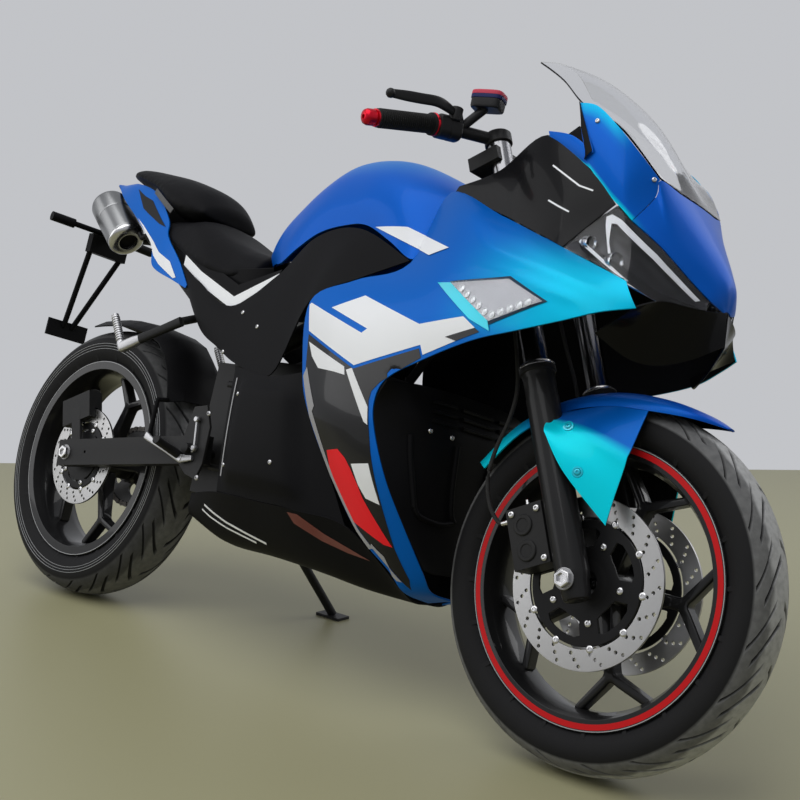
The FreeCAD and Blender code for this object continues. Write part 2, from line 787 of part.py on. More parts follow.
cowl = thick(through([mirrored_row([place(point, LEFT) for point in row])
                      for row in COWL_HALF_ROWS_SHARES], 2),
             CORE_SHARES, size("shell_wall"))
SCREEN_HALF_ROWS_SHARES = [
    [(1.085, 0.000, 1.178), (1.080, 0.040, 1.172), (1.074, 0.088, 1.155)],
    [(1.175, 0.000, 1.140), (1.168, 0.060, 1.130), (1.154, 0.118, 1.104)],
    [(1.265, 0.000, 1.075), (1.255, 0.075, 1.063), (1.232, 0.150, 1.042)],
    [(1.335, 0.000, 0.995), (1.325, 0.072, 0.990), (1.309, 0.149, 1.001)],
    [(1.390, 0.000, 0.921), (1.385, 0.060, 0.923), (1.372, 0.105, 0.931)],
]
screen = thick(through([mirrored_row([place(point, LEFT) for point in row])
                        for row in SCREEN_HALF_ROWS_SHARES], 2),
               CORE_SHARES, size("shell_wall"))
free_form("windscreen", screen)

CHIN_TOP_SHARES = [
    (1.414, 0.171, 0.706), (1.428, 0.124, 0.730), (1.450, 0.085, 0.734), (1.465, 0.046, 0.738),
    (1.474, 0.002, 0.747)]
CHIN_LOW_SHARES = [
    (1.345, 0.160, 0.665), (1.380, 0.110, 0.640), (1.410, 0.070, 0.640), (1.445, 0.035, 0.660),
    (1.480, 0.002, 0.692)]
SIDE_TOP_SHARES = [
    (0.250, 0.115, 0.755), (0.330, 0.124, 0.718), (0.459, 0.130, 0.668), (0.575, 0.128, 0.737),
    (0.665, 0.133, 0.815), (0.791, 0.146, 0.829), (0.952, 0.173, 0.764)]
SIDE_LOW_SHARES = [
    (0.287, 0.112, 0.695), (0.369, 0.120, 0.615), (0.452, 0.135, 0.580), (0.541, 0.150, 0.548),
    (0.664, 0.168, 0.535), (0.733, 0.178, 0.678), (0.836, 0.178, 0.724)]
SIDE_BULGE_SHARES = [0, 0.004, 0.006, 0.008, 0.010, 0.006, 0]
COVER_TOP_SHARES = [
    (0.541, 0.150, 0.545), (0.600, 0.160, 0.538), (0.664, 0.168, 0.532), (0.752, 0.175, 0.546)]
COVER_LOW_SHARES = [
    (0.557, 0.140, 0.299), (0.668, 0.152, 0.300), (0.785, 0.157, 0.299), (0.910, 0.140, 0.290)]

COVER_BULGE_SHARES = [0.004, 0.010, 0.010, 0.002]

# A turn lamp is set flush in each fairing, in a four-sided hole
TURN_LAMP_SHARES = [(1.100, 0.715), (1.219, 0.725), (1.289, 0.693), (1.199, 0.655)]


def lamp_tool(side, margin):
    """The prism across a fairing that holds its turn lamp, drawn in by a margin."""
    corners = [place((x, 0, z), side) for x, z in TURN_LAMP_SHARES]
    middle = (corners[0] + corners[1] + corners[2] + corners[3]) / 4
    near = [corner + (middle - corner).normalize() * margin for corner in corners]
    return flat(near).extrude(SIDEWAYS * side * size("fork_half_span") * 4)


# The panels of each side, each cleared of the one that it meets
inner_panels = []
headlamps = []
wings = []
chins = []
covers = []
turn_lamps = []
side_panels = {}
fairings = []
for name, side in SIDES.items():
    side_panel = panel(SIDE_TOP_SHARES, SIDE_LOW_SHARES, SIDE_BULGE_SHARES, 2, 2, side)
    fairing = panel(FAIRING_INNER_SHARES, FAIRING_OUTER_SHARES, FAIRING_BULGE_SHARES, 3, 2, side)
    fairing = clear_of(fairing, [side_panel])
    lens = lamp_tool(side, size("panel_gap"))
    turn_lamps.append(max(fairing.common(lens).Solids, key=lambda solid: solid.Volume))
    fairing = clear_of(fairing, [lamp_tool(side, 0)])
    fairings.append(fairing)
    wing = panel(WING_TOP_SHARES, WING_LOW_SHARES, [0] * 8, 2, 1, side)
    inner = panel(INNER_PANEL_TOP_SHARES, INNER_PANEL_LOW_SHARES, [0] * 5, 2, 2, side)
    lamp = panel(LAMP_TOP_SHARES, LAMP_LOW_SHARES, LAMP_BULGE_SHARES, 2, 1, side)
    cover = panel(COVER_TOP_SHARES, COVER_LOW_SHARES, COVER_BULGE_SHARES, 3, 2, side)
    inner_panels.append(clear_of(inner, [fairing, wing]))
    headlamps.append(clear_of(lamp, [fairing]))
    wings.append(wing)
    chin = panel(CHIN_TOP_SHARES, CHIN_LOW_SHARES, [0] * 5, 2, 1, side)
    chins.append(clear_of(chin, [fairing, headlamps[-1], cowl]))
    covers.append(clear_of(cover, [side_panel]))
    side_panels[side] = side_panel
    free_form("side_panel_" + name, side_panel)
    free_form("side_fairing_" + name, fairing)
free_form("inner_panels", Part.makeCompound(inner_panels))
free_form("headlamps", Part.makeCompound(headlamps))
free_form("nose_cowl", Part.makeCompound([clear_of(cowl, headlamps)] + wings))
free_form("chin_panels", Part.makeCompound(chins))
free_form("lower_covers", Part.makeCompound(covers))
free_form("turn_lamps", Part.makeCompound(turn_lamps))

DUCT_ROWS_SHARES = [
    [(1.020, 0.000, 0.560), (1.022, 0.080, 0.558), (1.010, 0.150, 0.555), (0.998, 0.214, 0.545)],
    [(1.040, 0.000, 0.500), (1.040, 0.080, 0.500), (1.020, 0.150, 0.503), (0.975, 0.206, 0.508)],
    [(1.045, 0.000, 0.455), (1.043, 0.080, 0.455), (1.022, 0.140, 0.458), (0.981, 0.198, 0.463)],
    [(1.045, 0.000, 0.380), (1.045, 0.070, 0.380), (1.035, 0.125, 0.382), (1.011, 0.178, 0.386)],
    [(1.048, 0.000, 0.310), (1.048, 0.050, 0.310), (1.048, 0.095, 0.311), (1.043, 0.140, 0.312)],
    [(1.055, 0.000, 0.245), (1.056, 0.030, 0.245), (1.060, 0.060, 0.245), (1.066, 0.095, 0.250)],
]
duct = thick([mirrored_row([place(point, LEFT) for point in row]) for row in DUCT_ROWS_SHARES],
             DUCT_CORE_SHARES, size("shell_wall"))
free_form("duct_panel", clear_of(duct, fairings))

BELLY_HALF_ROWS_SHARES = [
    [(0.430, 0.000, 0.232), (0.420, 0.076, 0.240), (0.424, 0.088, 0.284)],
    [(0.540, 0.000, 0.205), (0.540, 0.085, 0.212), (0.558, 0.140, 0.298)],
    [(0.680, 0.000, 0.203), (0.680, 0.090, 0.211), (0.700, 0.153, 0.299)],
    [(0.800, 0.000, 0.200), (0.800, 0.086, 0.206), (0.800, 0.157, 0.299)],
    [(0.905, 0.000, 0.193), (0.911, 0.070, 0.197), (0.915, 0.140, 0.290)],
    [(1.014, 0.000, 0.187), (1.016, 0.040, 0.188), (1.018, 0.082, 0.205)],
]
belly = thick(through([mirrored_row([place(point, LEFT) for point in row])
                       for row in BELLY_HALF_ROWS_SHARES], 2),
              CORE_SHARES, size("shell_wall"))
free_form("belly_pan", clear_of(belly, covers + fairings))

TANK_STATIONS_SHARES = [
    (0.478, [(0.0, 0.830), (0.035, 0.825), (0.062, 0.805), (0.070, 0.790), (0.060, 0.770),
             (0.0, 0.770)]),
    (0.520, [(0.0, 0.890), (0.045, 0.882), (0.085, 0.845), (0.100, 0.800), (0.092, 0.768),
             (0.0, 0.768)]),
    (0.565, [(0.0, 0.935), (0.050, 0.925), (0.094, 0.880), (0.115, 0.815), (0.118, 0.765),
             (0.0, 0.765)]),
    (0.610, [(0.0, 0.966), (0.055, 0.957), (0.100, 0.912), (0.123, 0.850), (0.126, 0.793),
             (0.0, 0.780)]),
    (0.665, [(0.0, 0.992), (0.058, 0.984), (0.105, 0.940), (0.130, 0.880), (0.131, 0.823),
             (0.0, 0.790)]),
    (0.730, [(0.0, 1.000), (0.060, 0.992), (0.112, 0.950), (0.138, 0.890), (0.138, 0.836),
             (0.0, 0.800)]),
    (0.800, [(0.0, 0.995), (0.065, 0.984), (0.120, 0.945), (0.147, 0.890), (0.146, 0.836),
             (0.0, 0.800)]),
    (0.880, [(0.0, 0.968), (0.070, 0.957), (0.122, 0.925), (0.152, 0.872), (0.160, 0.803),
             (0.0, 0.790)]),
    (0.950, [(0.0, 0.935), (0.070, 0.926), (0.112, 0.904), (0.140, 0.850), (0.170, 0.768),
             (0.0, 0.770)]),
    (0.963, [(0.0, 0.922), (0.070, 0.914), (0.108, 0.896), (0.132, 0.850), (0.145, 0.790),
             (0.0, 0.780)]),
]
tank = lump([ring(x, half) for x, half in TANK_STATIONS_SHARES], 1)

SEAT_STATIONS_SHARES = [
    (0.120, [(0.0, 0.868), (0.060, 0.864), (0.090, 0.845), (0.092, 0.818), (0.0, 0.815)]),
    (0.200, [(0.0, 0.866), (0.068, 0.860), (0.098, 0.838), (0.102, 0.788), (0.0, 0.785)]),
    (0.260, [(0.0, 0.868), (0.076, 0.858), (0.107, 0.828), (0.111, 0.764), (0.0, 0.760)]),
    (0.330, [(0.0, 0.836), (0.084, 0.828), (0.116, 0.800), (0.118, 0.740), (0.0, 0.740)]),
    (0.400, [(0.0, 0.808), (0.080, 0.802), (0.113, 0.775), (0.117, 0.728), (0.0, 0.728)]),
    (0.440, [(0.0, 0.798), (0.070, 0.793), (0.106, 0.768), (0.114, 0.732), (0.0, 0.732)]),
    (0.474, [(0.0, 0.795), (0.050, 0.790), (0.082, 0.775), (0.095, 0.745), (0.0, 0.745)]),
]
rider = lump([ring(x, half) for x, half in SEAT_STATIONS_SHARES], 2)
free_form("seat_rider", rider)

PILLION_STATIONS_SHARES = [
    (-0.118, [(0.0, 0.992), (0.020, 0.990), (0.034, 0.984), (0.020, 0.976), (0.0, 0.975)]),
    (-0.060, [(0.0, 0.999), (0.045, 0.993), (0.070, 0.978), (0.047, 0.966), (0.0, 0.956)]),
    (0.050, [(0.0, 0.983), (0.058, 0.976), (0.094, 0.950), (0.072, 0.930), (0.0, 0.905)]),
    (0.130, [(0.0, 0.968), (0.062, 0.960), (0.105, 0.925), (0.094, 0.892), (0.0, 0.872)]),
    (0.200, [(0.0, 0.944), (0.058, 0.935), (0.100, 0.900), (0.090, 0.872), (0.0, 0.868)]),
    (0.240, [(0.0, 0.910), (0.045, 0.904), (0.078, 0.885), (0.072, 0.873), (0.0, 0.870)]),
]
pillion = clear_of(lump([ring(x, half) for x, half in PILLION_STATIONS_SHARES], 2), [rider])
free_form("seat_pillion", pillion)

TAIL_ROWS_SHARES = [
    [(-0.160, 0.000, 0.968), (-0.158, 0.022, 0.966), (-0.151, 0.046, 0.960)],
    [(-0.060, 0.055, 0.958), (-0.070, 0.065, 0.945), (-0.080, 0.072, 0.916)],
    [(0.057, 0.080, 0.925), (0.045, 0.088, 0.890), (0.026, 0.093, 0.856)],
    [(0.149, 0.100, 0.857), (0.130, 0.104, 0.825), (0.114, 0.105, 0.797)],
    [(0.172, 0.108, 0.816), (0.158, 0.111, 0.780), (0.147, 0.112, 0.745)],
    [(0.239, 0.115, 0.761), (0.238, 0.117, 0.737), (0.237, 0.117, 0.715)],
    [(0.289, 0.118, 0.708), (0.288, 0.118, 0.704), (0.286, 0.118, 0.700)],
]
tails = []
for side in SIDES.values():
    net = through([[place(point, side) for point in row] for row in TAIL_ROWS_SHARES], 2)
    tail = thick(net, TAIL_CORE_SHARES, size("shell_wall"))
    tails.append(clear_of(tail, [side_panels[side]]))
free_form("tail_cowl", Part.makeCompound(tails))

# Silencer under the tail
silencer_front = place((-0.035, 0.062, 0.812), RIGHT)
silencer_back = place((-0.150, 0.062, 0.905), RIGHT)
keep(rod("silencer_radius", silencer_front, silencer_back), "silencer")

# Frame: head tube, two spars, pivot plates, seat rails and cross tubes
head_low = size("lower_clamp_height") + size("lower_clamp_thickness") + size("head_gap")
head_high = size("upper_clamp_height") - size("head_gap")
head_tube = cut(
    rod("head_tube_radius", on_fork(head_low, -fork_offset, 0), on_fork(head_high, -fork_offset, 0)),
    rod("stem_radius + bearing_gap", on_fork(head_low - size("cut_overrun"), -fork_offset, 0),
        on_fork(head_high + size("cut_overrun"), -fork_offset, 0)))
frame_pieces = [head_tube]
head_middle = on_fork((head_low + head_high) / 2, -fork_offset, 0)
plate_half = size("pivot_plate_half_span")
pivot = Vector(size("pivot_reach"), 0, size("pivot_height"))
knee_reach = size("pivot_reach") + size("pivot_plate_length") / 3


def ball(radius, centre):
    piece = doc.addObject("Part::Sphere", "Joint")
    piece.setExpression("Radius", bound(radius))
    piece.Placement = Placement(centre, Rotation())
    return piece


stay_roots = {}
RAIL_END_SHARES = (0.015, 0.046, 0.836)
STAY_END_SHARES = (0.300, 0.117, 0.628)
power_front = size("power_rear") + size("power_length")
power_top = size("power_floor") + size("power_height")
for side in SIDES.values():
    shoulder = Vector(head_middle.x - size("head_tube_radius") * 0.9,
                      side * size("head_tube_radius") * 0.5, head_middle.z)
    bend = Vector(head_middle.x - size("pivot_plate_length") * 2, side * size("spar_half_span"),
                  head_middle.z - size("frame_tube_radius") * 7)
    knee = Vector(knee_reach, side * plate_half, size("knee_height"))
    frame_pieces.append(rod("frame_tube_radius", shoulder, bend))
    frame_pieces.append(rod("frame_tube_radius", bend, knee))
    frame_pieces.append(ball("frame_tube_radius", bend))
    frame_pieces.append(ball("frame_tube_radius", knee))
    plate_low = size("pivot_height") - size("pivot_plate_length")
    frame_pieces.append(block("pivot_plate_length", "pivot_plate_thickness",
                              "knee_height - pivot_height + pivot_plate_length",
                              Vector(size("pivot_reach"), side * plate_half,
                                     (size("knee_height") + plate_low) / 2)))
    rail_end = place(RAIL_END_SHARES, side)
    frame_pieces.append(rod("seat_tube_radius", knee, rail_end))
    stay_root = knee + (rail_end - knee) * 0.35
    stay_roots[side] = stay_root
    frame_pieces.append(rod("seat_tube_radius * 0.8", stay_root, place(STAY_END_SHARES, side)))
    # mounts of the power unit: two behind it, one hanger in front
    for height in (power_top - size("arm_height"), size("power_floor") + size("arm_height")):
        frame_pieces.append(rod("mount_radius", Vector(size("pivot_reach"), side * plate_half, height),
                                Vector(size("power_rear") - size("seat_gap"), side * plate_half,
                                       height)))
    hanger = Vector(power_front - size("arm_height"), side * plate_half,
                    power_top + size("seat_gap"))
    frame_pieces.append(rod("mount_radius", bend, hanger + Vector(0, 0, size("mount_radius"))))
    frame_pieces.append(rod("mount_radius", hanger + Vector(0, 0, size("mount_radius") * 2), hanger))
frame_pieces.append(rod("cross_tube_radius", Vector(knee_reach, -plate_half, size("knee_height")),
                        Vector(knee_reach, plate_half, size("knee_height"))))
pin_half = size("arm_half_span") + size("arm_width") + size("pivot_radius")
frame_pieces.append(rod("pivot_radius", pivot - SIDEWAYS * pin_half, pivot + SIDEWAYS * pin_half))
frame_pieces.append(rod("pivot_radius * 1.8", pivot - SIDEWAYS * plate_half,
                        pivot + SIDEWAYS * plate_half))
frame_pieces.append(rod("seat_tube_radius", place(RAIL_END_SHARES, RIGHT),
                        place(RAIL_END_SHARES, LEFT)))
# Hanger that carries the silencer by its front end
barrel_line = (silencer_back - silencer_front).normalize()
rail_foot = place(RAIL_END_SHARES, RIGHT)
offset = rail_foot - silencer_front
radial = (offset - barrel_line * offset.dot(barrel_line)).normalize()
hanger_tip = silencer_front + radial * size("silencer_radius") * 0.78
hanger_knee = hanger_tip - barrel_line * size("hose_radius") * 5
frame_pieces.append(rod("hose_radius * 1.7", rail_foot, hanger_knee))
frame_pieces.append(ball("hose_radius * 1.7", hanger_knee))
frame_pieces.append(rod("hose_radius * 1.7", hanger_knee, hanger_tip - barrel_line * size("seat_gap")))
# The stay that carries the dash and, on its crossbar, the nose
stay_end = on_fork((head_low + head_high) / 2, size("head_tube_radius") * 5, 0)
frame_pieces.append(rod("cross_tube_radius", head_middle + FORK_FORWARD * size("stem_radius") * 1.3,
                        stay_end))
probe = Part.makeLine(stay_end, stay_end + SIDEWAYS * size("fairing_half_width"))
crossbar_half = probe.common(inner_panels[1]).BoundBox.YMin - size("bearing_gap") * 2
frame_pieces.append(rod("cross_tube_radius * 0.7", stay_end - SIDEWAYS * crossbar_half,
                        stay_end + SIDEWAYS * crossbar_half))

# The tank's underside has a tunnel over the spars
spar_top = size("frame_tube_radius") + size("tank_gap")
tunnel_half = size("spar_half_span") + spar_top
slope = (shoulder.z - bend.z) / (shoulder.x - bend.x)
roof_rise = (size("frame_tube_radius") + size("seat_gap")) / math.cos(math.atan(slope))
tunnel_low = bend + Vector(-spar_top * 2, 0, roof_rise - spar_top * 2 * slope)
tunnel_high = shoulder + Vector(0, 0, roof_rise)
profile = [Vector(tunnel_low.x, -tunnel_half, tunnel_low.z),
           Vector(tunnel_high.x, -tunnel_half, tunnel_high.z),
           Vector(tunnel_high.x, -tunnel_half, bend.z - spar_top),
           Vector(tunnel_low.x, -tunnel_half, bend.z - spar_top)]
tunnel = flat(profile).extrude(SIDEWAYS * tunnel_half * 2)
free_form("tank", clear_of(tank, [tunnel]))

# Battery and motor, one plain block between the spars
power_centre = Vector((size("power_rear") + power_front) / 2, 0,
                      size("power_floor") + size("power_height") / 2)
power_pieces = [block("power_length", "power_width", "power_height", power_centre)]
motor_axis = Vector(size("motor_sprocket_reach"), 0, size("motor_sprocket_height"))
sprocket_inner = size("sprocket_offset") - size("sprocket_thickness") / 2
power_pieces.append(rod("stem_radius", motor_axis, motor_axis + SIDEWAYS * sprocket_inner))
power_pieces.append(rod("motor_sprocket_radius", motor_axis + SIDEWAYS * sprocket_inner,
                        motor_axis + SIDEWAYS * (sprocket_inner + size("sprocket_thickness"))))
keep(fused(power_pieces), "power_block")

# Swingarm
arm_pieces = []
for side in SIDES.values():
    across = side * size("arm_half_span")
    start = Vector(0, across, size("rear_tyre_radius"))
    end = Vector(size("pivot_reach"), across, size("pivot_height"))
    middle = (start + end) / 2
    slope = math.degrees(math.atan2(end.z - start.z, end.x - start.x))
    arm = doc.addObject("Part::Box", "Arm")
    arm.Length = (end - start).Length + size("arm_height")
    arm.setExpression("Width", bound("arm_width"))
    arm.setExpression("Height", bound("arm_height"))
    turn = Rotation(Vector(0, 1, 0), -slope)
    corner = Vector(-((end - start).Length + size("arm_height")) / 2, -size("arm_width") / 2,
                    -size("arm_height") / 2)
    arm.Placement = Placement(middle, turn).multiply(Placement(corner, Rotation()))
    arm_pieces.append(arm)
arm_brace = block("arm_height", "arm_half_span * 2", "arm_height * 0.7",
                  Vector(size("rear_tyre_radius") + size("arm_height") * 0.75, 0,
                         size("pivot_height") - size("arm_height") * 0.25))
arms = fused(arm_pieces + [arm_brace])
axle_hole = rod("rear_axle_radius + bearing_gap / 2", rear_axle - SIDEWAYS * rear_half * 1.2,
                rear_axle + SIDEWAYS * rear_half * 1.2)
pivot_hole = rod("pivot_radius + bearing_gap / 2", pivot - SIDEWAYS * rear_half * 1.2,
                 pivot + SIDEWAYS * rear_half * 1.2)
# A threaded hole in each arm's outer face takes the spool that a paddock stand lifts
spool_height = rear_axle.z + (pivot.z - rear_axle.z) / pivot.x * size("spool_reach")
spool_holes = []
for side in SIDES.values():
    mouth = Vector(size("spool_reach"), side * rear_half, spool_height)
    spool_holes.append(rod("spool_radius", mouth - SIDEWAYS * side * size("spool_depth"),
                           mouth + SIDEWAYS * side * size("cut_overrun")))
keep(cut(arms, fused([axle_hole, pivot_hole] + spool_holes)), "swingarm")

# Chain: one closed loop round both sprockets


def loop_face(rear_radius, front_radius, offset):
    """The flat figure inside a belt round both sprockets."""
    start = Vector(rear_axle.x, offset, rear_axle.z)
    end = Vector(motor_axis.x, offset, motor_axis.z)
    along = end - start
    base = math.atan2(along.z, along.x)
    swing = math.acos((rear_radius - front_radius) / along.Length)
    upper = base + swing
    lower = base - swing

    def rim_point(centre, radius, angle):
        return centre + Vector(math.cos(angle), 0, math.sin(angle)) * radius

    rear_arc = Part.Arc(rim_point(start, rear_radius, upper),
                        rim_point(start, rear_radius, base + math.pi),
                        rim_point(start, rear_radius, lower))
    front_arc = Part.Arc(rim_point(end, front_radius, lower),
                         rim_point(end, front_radius, base),
                         rim_point(end, front_radius, upper))
    edges = [rear_arc.toShape(),
             Part.LineSegment(rim_point(start, rear_radius, lower),
                              rim_point(end, front_radius, lower)).toShape(),
             front_arc.toShape(),
             Part.LineSegment(rim_point(end, front_radius, upper),
                              rim_point(start, rear_radius, upper)).toShape()]
    return Part.Face(Part.Wire(edges))


chain_inner = size("chain_gap")
chain_outer = chain_inner + size("chain_height")
chain_start = size("sprocket_offset") - size("chain_width") / 2
chain = loop_face(size("sprocket_radius") + chain_outer,
                  size("motor_sprocket_radius") + chain_outer, chain_start)
hollow = loop_face(size("sprocket_radius") + chain_inner,
                   size("motor_sprocket_radius") + chain_inner, chain_start)
across_chain = Vector(0, size("chain_width"), 0)
free_form("drive_chain", chain.extrude(across_chain).cut(hollow.extrude(across_chain)))

# Shock absorber between the swingarm's brace and the frame
brace_top = size("pivot_height") - size("arm_height") * 0.25 + size("arm_height") * 0.35
shock_low = Vector(size("rear_tyre_radius") + size("arm_height") * 0.75, 0,
                   brace_top + size("seat_gap"))
shock_high = Vector(knee_reach, 0, size("knee_height") - size("cross_tube_radius") * 1.25)
shock_tilt = (shock_high - shock_low).normalize().x
shock_low = shock_low + Vector(0, 0, size("cross_tube_radius") * shock_tilt)
shock_line = shock_high - shock_low
keep(fused([
    rod("cross_tube_radius", shock_low, shock_high),
    rod("cross_tube_radius * 2.3", shock_low + shock_line * 0.22, shock_low + shock_line * 0.85),
]), "rear_shock")

# Side stand: leg, foot and hinge eye; its lug and pin belong to the frame
stand_pivot = Vector(size("stand_pivot_reach"), size("stand_pivot_offset"),
                     size("stand_pivot_height"))
stand_angle = math.radians(size("stand_angle"))
stand_axis = Vector(0, math.cos(stand_angle), math.sin(stand_angle))
lean_turn = Rotation(Vector(1, 0, 0), size("lean"))
floor_normal = lean_turn.multVec(Vector(0, 0, 1))
floor_level = LEAN.inverse().multVec(Vector(0, 0, 0)).dot(floor_normal)
foot_flat = Vector(size("stand_foot_reach"), size("stand_foot_offset"), 0)
foot_bottom = foot_flat + Vector(0, 0, (floor_level - foot_flat.dot(floor_normal))
                                 / floor_normal.z)
foot_centre = foot_bottom + floor_normal * size("stand_foot_thickness") / 2
foot_top = foot_bottom + floor_normal * size("stand_foot_thickness")
eye_half = size("stand_leg_radius")
eye = rod("stand_leg_radius * 1.5", stand_pivot - stand_axis * eye_half,
          stand_pivot + stand_axis * eye_half)
eye_hole = rod("stand_pin_radius + bearing_gap / 2", stand_pivot - stand_axis * eye_half * 3,
               stand_pivot + stand_axis * eye_half * 3)
keep(cut(fused([
    rod("stand_leg_radius", stand_pivot, foot_top),
    block("stand_foot_length", "stand_foot_width", "stand_foot_thickness", foot_centre, lean_turn),
    eye,
]), eye_hole), "side_stand")
lug_low = stand_pivot + stand_axis * (eye_half + size("bearing_gap"))
lug_high = lug_low + stand_axis * size("stand_leg_radius") * 2
lug_middle = (lug_low + lug_high) / 2
frame_pieces.append(rod("stand_leg_radius * 1.5", lug_low, lug_high))
frame_pieces.append(rod("stand_pin_radius", stand_pivot - stand_axis * eye_half * 1.3, lug_high))
cross_end = Vector(size("stand_pivot_reach") - size("pivot_plate_length") / 4, lug_middle.y,
                   size("stand_pivot_height") + size("stand_cross_rise"))
frame_pieces.append(rod("stand_leg_radius * 0.85", Vector(cross_end.x, -plate_half, cross_end.z),
                        cross_end))
frame_pieces.append(ball("stand_leg_radius * 0.85", cross_end))
frame_pieces.append(rod("stand_leg_radius * 0.85", cross_end, lug_middle))
keep(fused(frame_pieces), "main_frame")

# Front mudguard: a hood over the tyre with a wing to each fork leg
HOOD_ANGLES = [148, 130, 112, 95, 80, 68, 60]
HOOD_RADIUS_SHARES = [1.055, 1.055, 1.055, 1.058, 1.065, 1.08, 1.09]
HOOD_WIDTH_SHARES = [0.62, 0.63, 0.635, 0.635, 0.60, 0.42, 0.10]
HOOD_DROP_SHARES = [0.10, 0.10, 0.10, 0.10, 0.09, 0.05, 0.01]
hood_rows = []
for angle, radius_share, width_share, drop_share in zip(
        HOOD_ANGLES, HOOD_RADIUS_SHARES, HOOD_WIDTH_SHARES, HOOD_DROP_SHARES):
    out = Vector(math.cos(math.radians(angle)), 0, math.sin(math.radians(angle)))
    reach = size("front_tyre_radius") * radius_share
    width = size("front_tyre_width") * width_share
    half = [front_axle + out * reach]
    for across_share, fall_share in ((0.55, 0.08), (0.92, 0.45), (1.0, 1.0)):
        half.append(front_axle + out * reach * (1 - drop_share * fall_share)
                    + SIDEWAYS * width * across_share)
    hood_rows.append(mirrored_row(half))
AXLE_CORE_SHARES = [(1.355, 0.287), (1.365, 0.287), (1.365, 0.297), (1.355, 0.297)]
hood = thick(through(hood_rows, 2), AXLE_CORE_SHARES, size("shell_wall"))
# Each wing hangs from the hood's edge, rows 2 to 4, outside the fork leg's front
WING_LOW_ROW_SHARES = [(1.272, 0.131, 0.508), (1.318, 0.126, 0.452), (1.396, 0.100, 0.383)]
WING_BULGES = [0.14, 0.12, 0.06]
sliders = [Part.makeCylinder(size("slider_radius") + size("seat_gap"),
                             size("slider_top") + size("seat_gap"),
                             on_fork(0, 0, side * size("fork_half_span")), FORK_UP)
           for side in SIDES.values()]
guard = [hood]
for side in SIDES.values():
    rows = []
    for hood_row, low_shares, bulge in zip(hood_rows[2:5], WING_LOW_ROW_SHARES, WING_BULGES):
        edge = hood_row[-1]
        start = Vector(edge.x, side * edge.y, edge.z)
        end = place(low_shares, side)
        row = []
        for i in range(4):
            v = i / 3
            swell = bulge * 4 * v * (1 - v) * size("front_tyre_width")
            row.append(start + (end - start) * v + SIDEWAYS * side * swell)
        rows.append(row)
    guard.append(clear_of(thick(through(rows, 2), AXLE_CORE_SHARES, size("shell_wall")), sliders))
free_form("front_mudguard", Part.makeCompound(guard))

# Calipers


def fork_box(up, forward, sideways):
    """A box in the fork's frame from pairs of limits."""
    sketch = [on_fork(up[0], forward[0], sideways[0]), on_fork(up[0], forward[1], sideways[0]),
              on_fork(up[1], forward[1], sideways[0]), on_fork(up[1], forward[0], sideways[0])]
    return flat(sketch).extrude(SIDEWAYS * (sideways[1] - sideways[0]))


calipers = []
for side in SIDES.values():
    touch = -(size("slider_radius") + size("seat_gap"))
    inner_face = size("front_disc_offset") - size("disc_thickness") * 3
    outer_face = size("fork_half_span") + size("slider_radius") / 2
    body = fork_box((size("slider_radius") * 1.3, size("front_disc_radius")),
                    (touch - size("caliper_width") * 1.3, touch),
                    (side * inner_face, side * outer_face))
    slot_half = size("disc_thickness") / 2 + size("disc_gap")
    slot = Part.makeCylinder(size("front_disc_radius") + size("disc_gap") * 2, slot_half * 2,
                             front_axle + SIDEWAYS * (side * size("front_disc_offset") - slot_half),
                             SIDEWAYS)
    calipers.append(body.cut(slot))
free_form("front_calipers", Part.makeCompound(calipers))

# Brake hoses, from each front caliper's back up behind the leg to the lower clamp
HOSE_ROUTE_SHARES = [
    (0.120, -0.0958, 0.096), (0.121, -0.116, 0.097), (0.158, -0.132, 0.100),
    (0.205, -0.126, 0.102), (0.246, -0.100, 0.102), (0.284, -0.066, 0.100),
    (0.330, -0.045, 0.096), (0.386, -0.038, 0.091), (0.448, -0.040, 0.082),
    (0.508, -0.036, 0.073), (0.5597, -0.038, 0.068)]
RUN_SHARE = 0.45


def hose(points, radius):
    """A tube along straight runs joined by tangent arcs."""
    edges = []
    start = points[0]
    for before, corner, after in zip(points, points[1:], points[2:]):
        back = before - corner
        ahead = after - corner
        reach = min(back.Length, ahead.Length) * RUN_SHARE
        half_turn = (math.pi - back.getAngle(ahead)) / 2
        bend_radius = reach / math.tan(half_turn)
        back.normalize()
        ahead.normalize()
        middle = corner + (back + ahead).normalize() * bend_radius * (1 / math.cos(half_turn) - 1)
        edges.append(Part.LineSegment(start, corner + back * reach).toShape())
        edges.append(Part.Arc(corner + back * reach, middle, corner + ahead * reach).toShape())
        start = corner + ahead * reach
        print("hose bend", round(bend_radius, 1))
    edges.append(Part.LineSegment(start, points[-1]).toShape())
    path = Part.Wire(edges)
    outline = Part.Wire(Part.Circle(points[0], points[1] - points[0], radius).toShape())
    tube = path.makePipeShell([outline], True, False)
    print("hose volume over section times length",
          round(tube.Volume / (math.pi * radius * radius * path.Length), 4))
    return tube


hoses = []
for side in SIDES.values():
    route = [on_fork(up * UNIT_Z, forward * UNIT_X, side * sideways * UNIT_Y)
             for up, forward, sideways in HOSE_ROUTE_SHARES]
    hoses.append(hose(route, size("hose_radius")))
free_form("brake_hoses", Part.makeCompound(hoses))

rear_caliper_angle = math.radians(112)
caliper_out = Vector(math.cos(rear_caliper_angle), 0, math.sin(rear_caliper_angle))
caliper_along = Vector(-caliper_out.z, 0, caliper_out.x)
arm_inner = size("arm_half_span") - size("arm_width") / 2
caliper_low = size("rear_disc_offset") - size("disc_thickness") * 3
caliper_high = arm_inner - size("seat_gap")
half_length = size("caliper_width") * 0.95


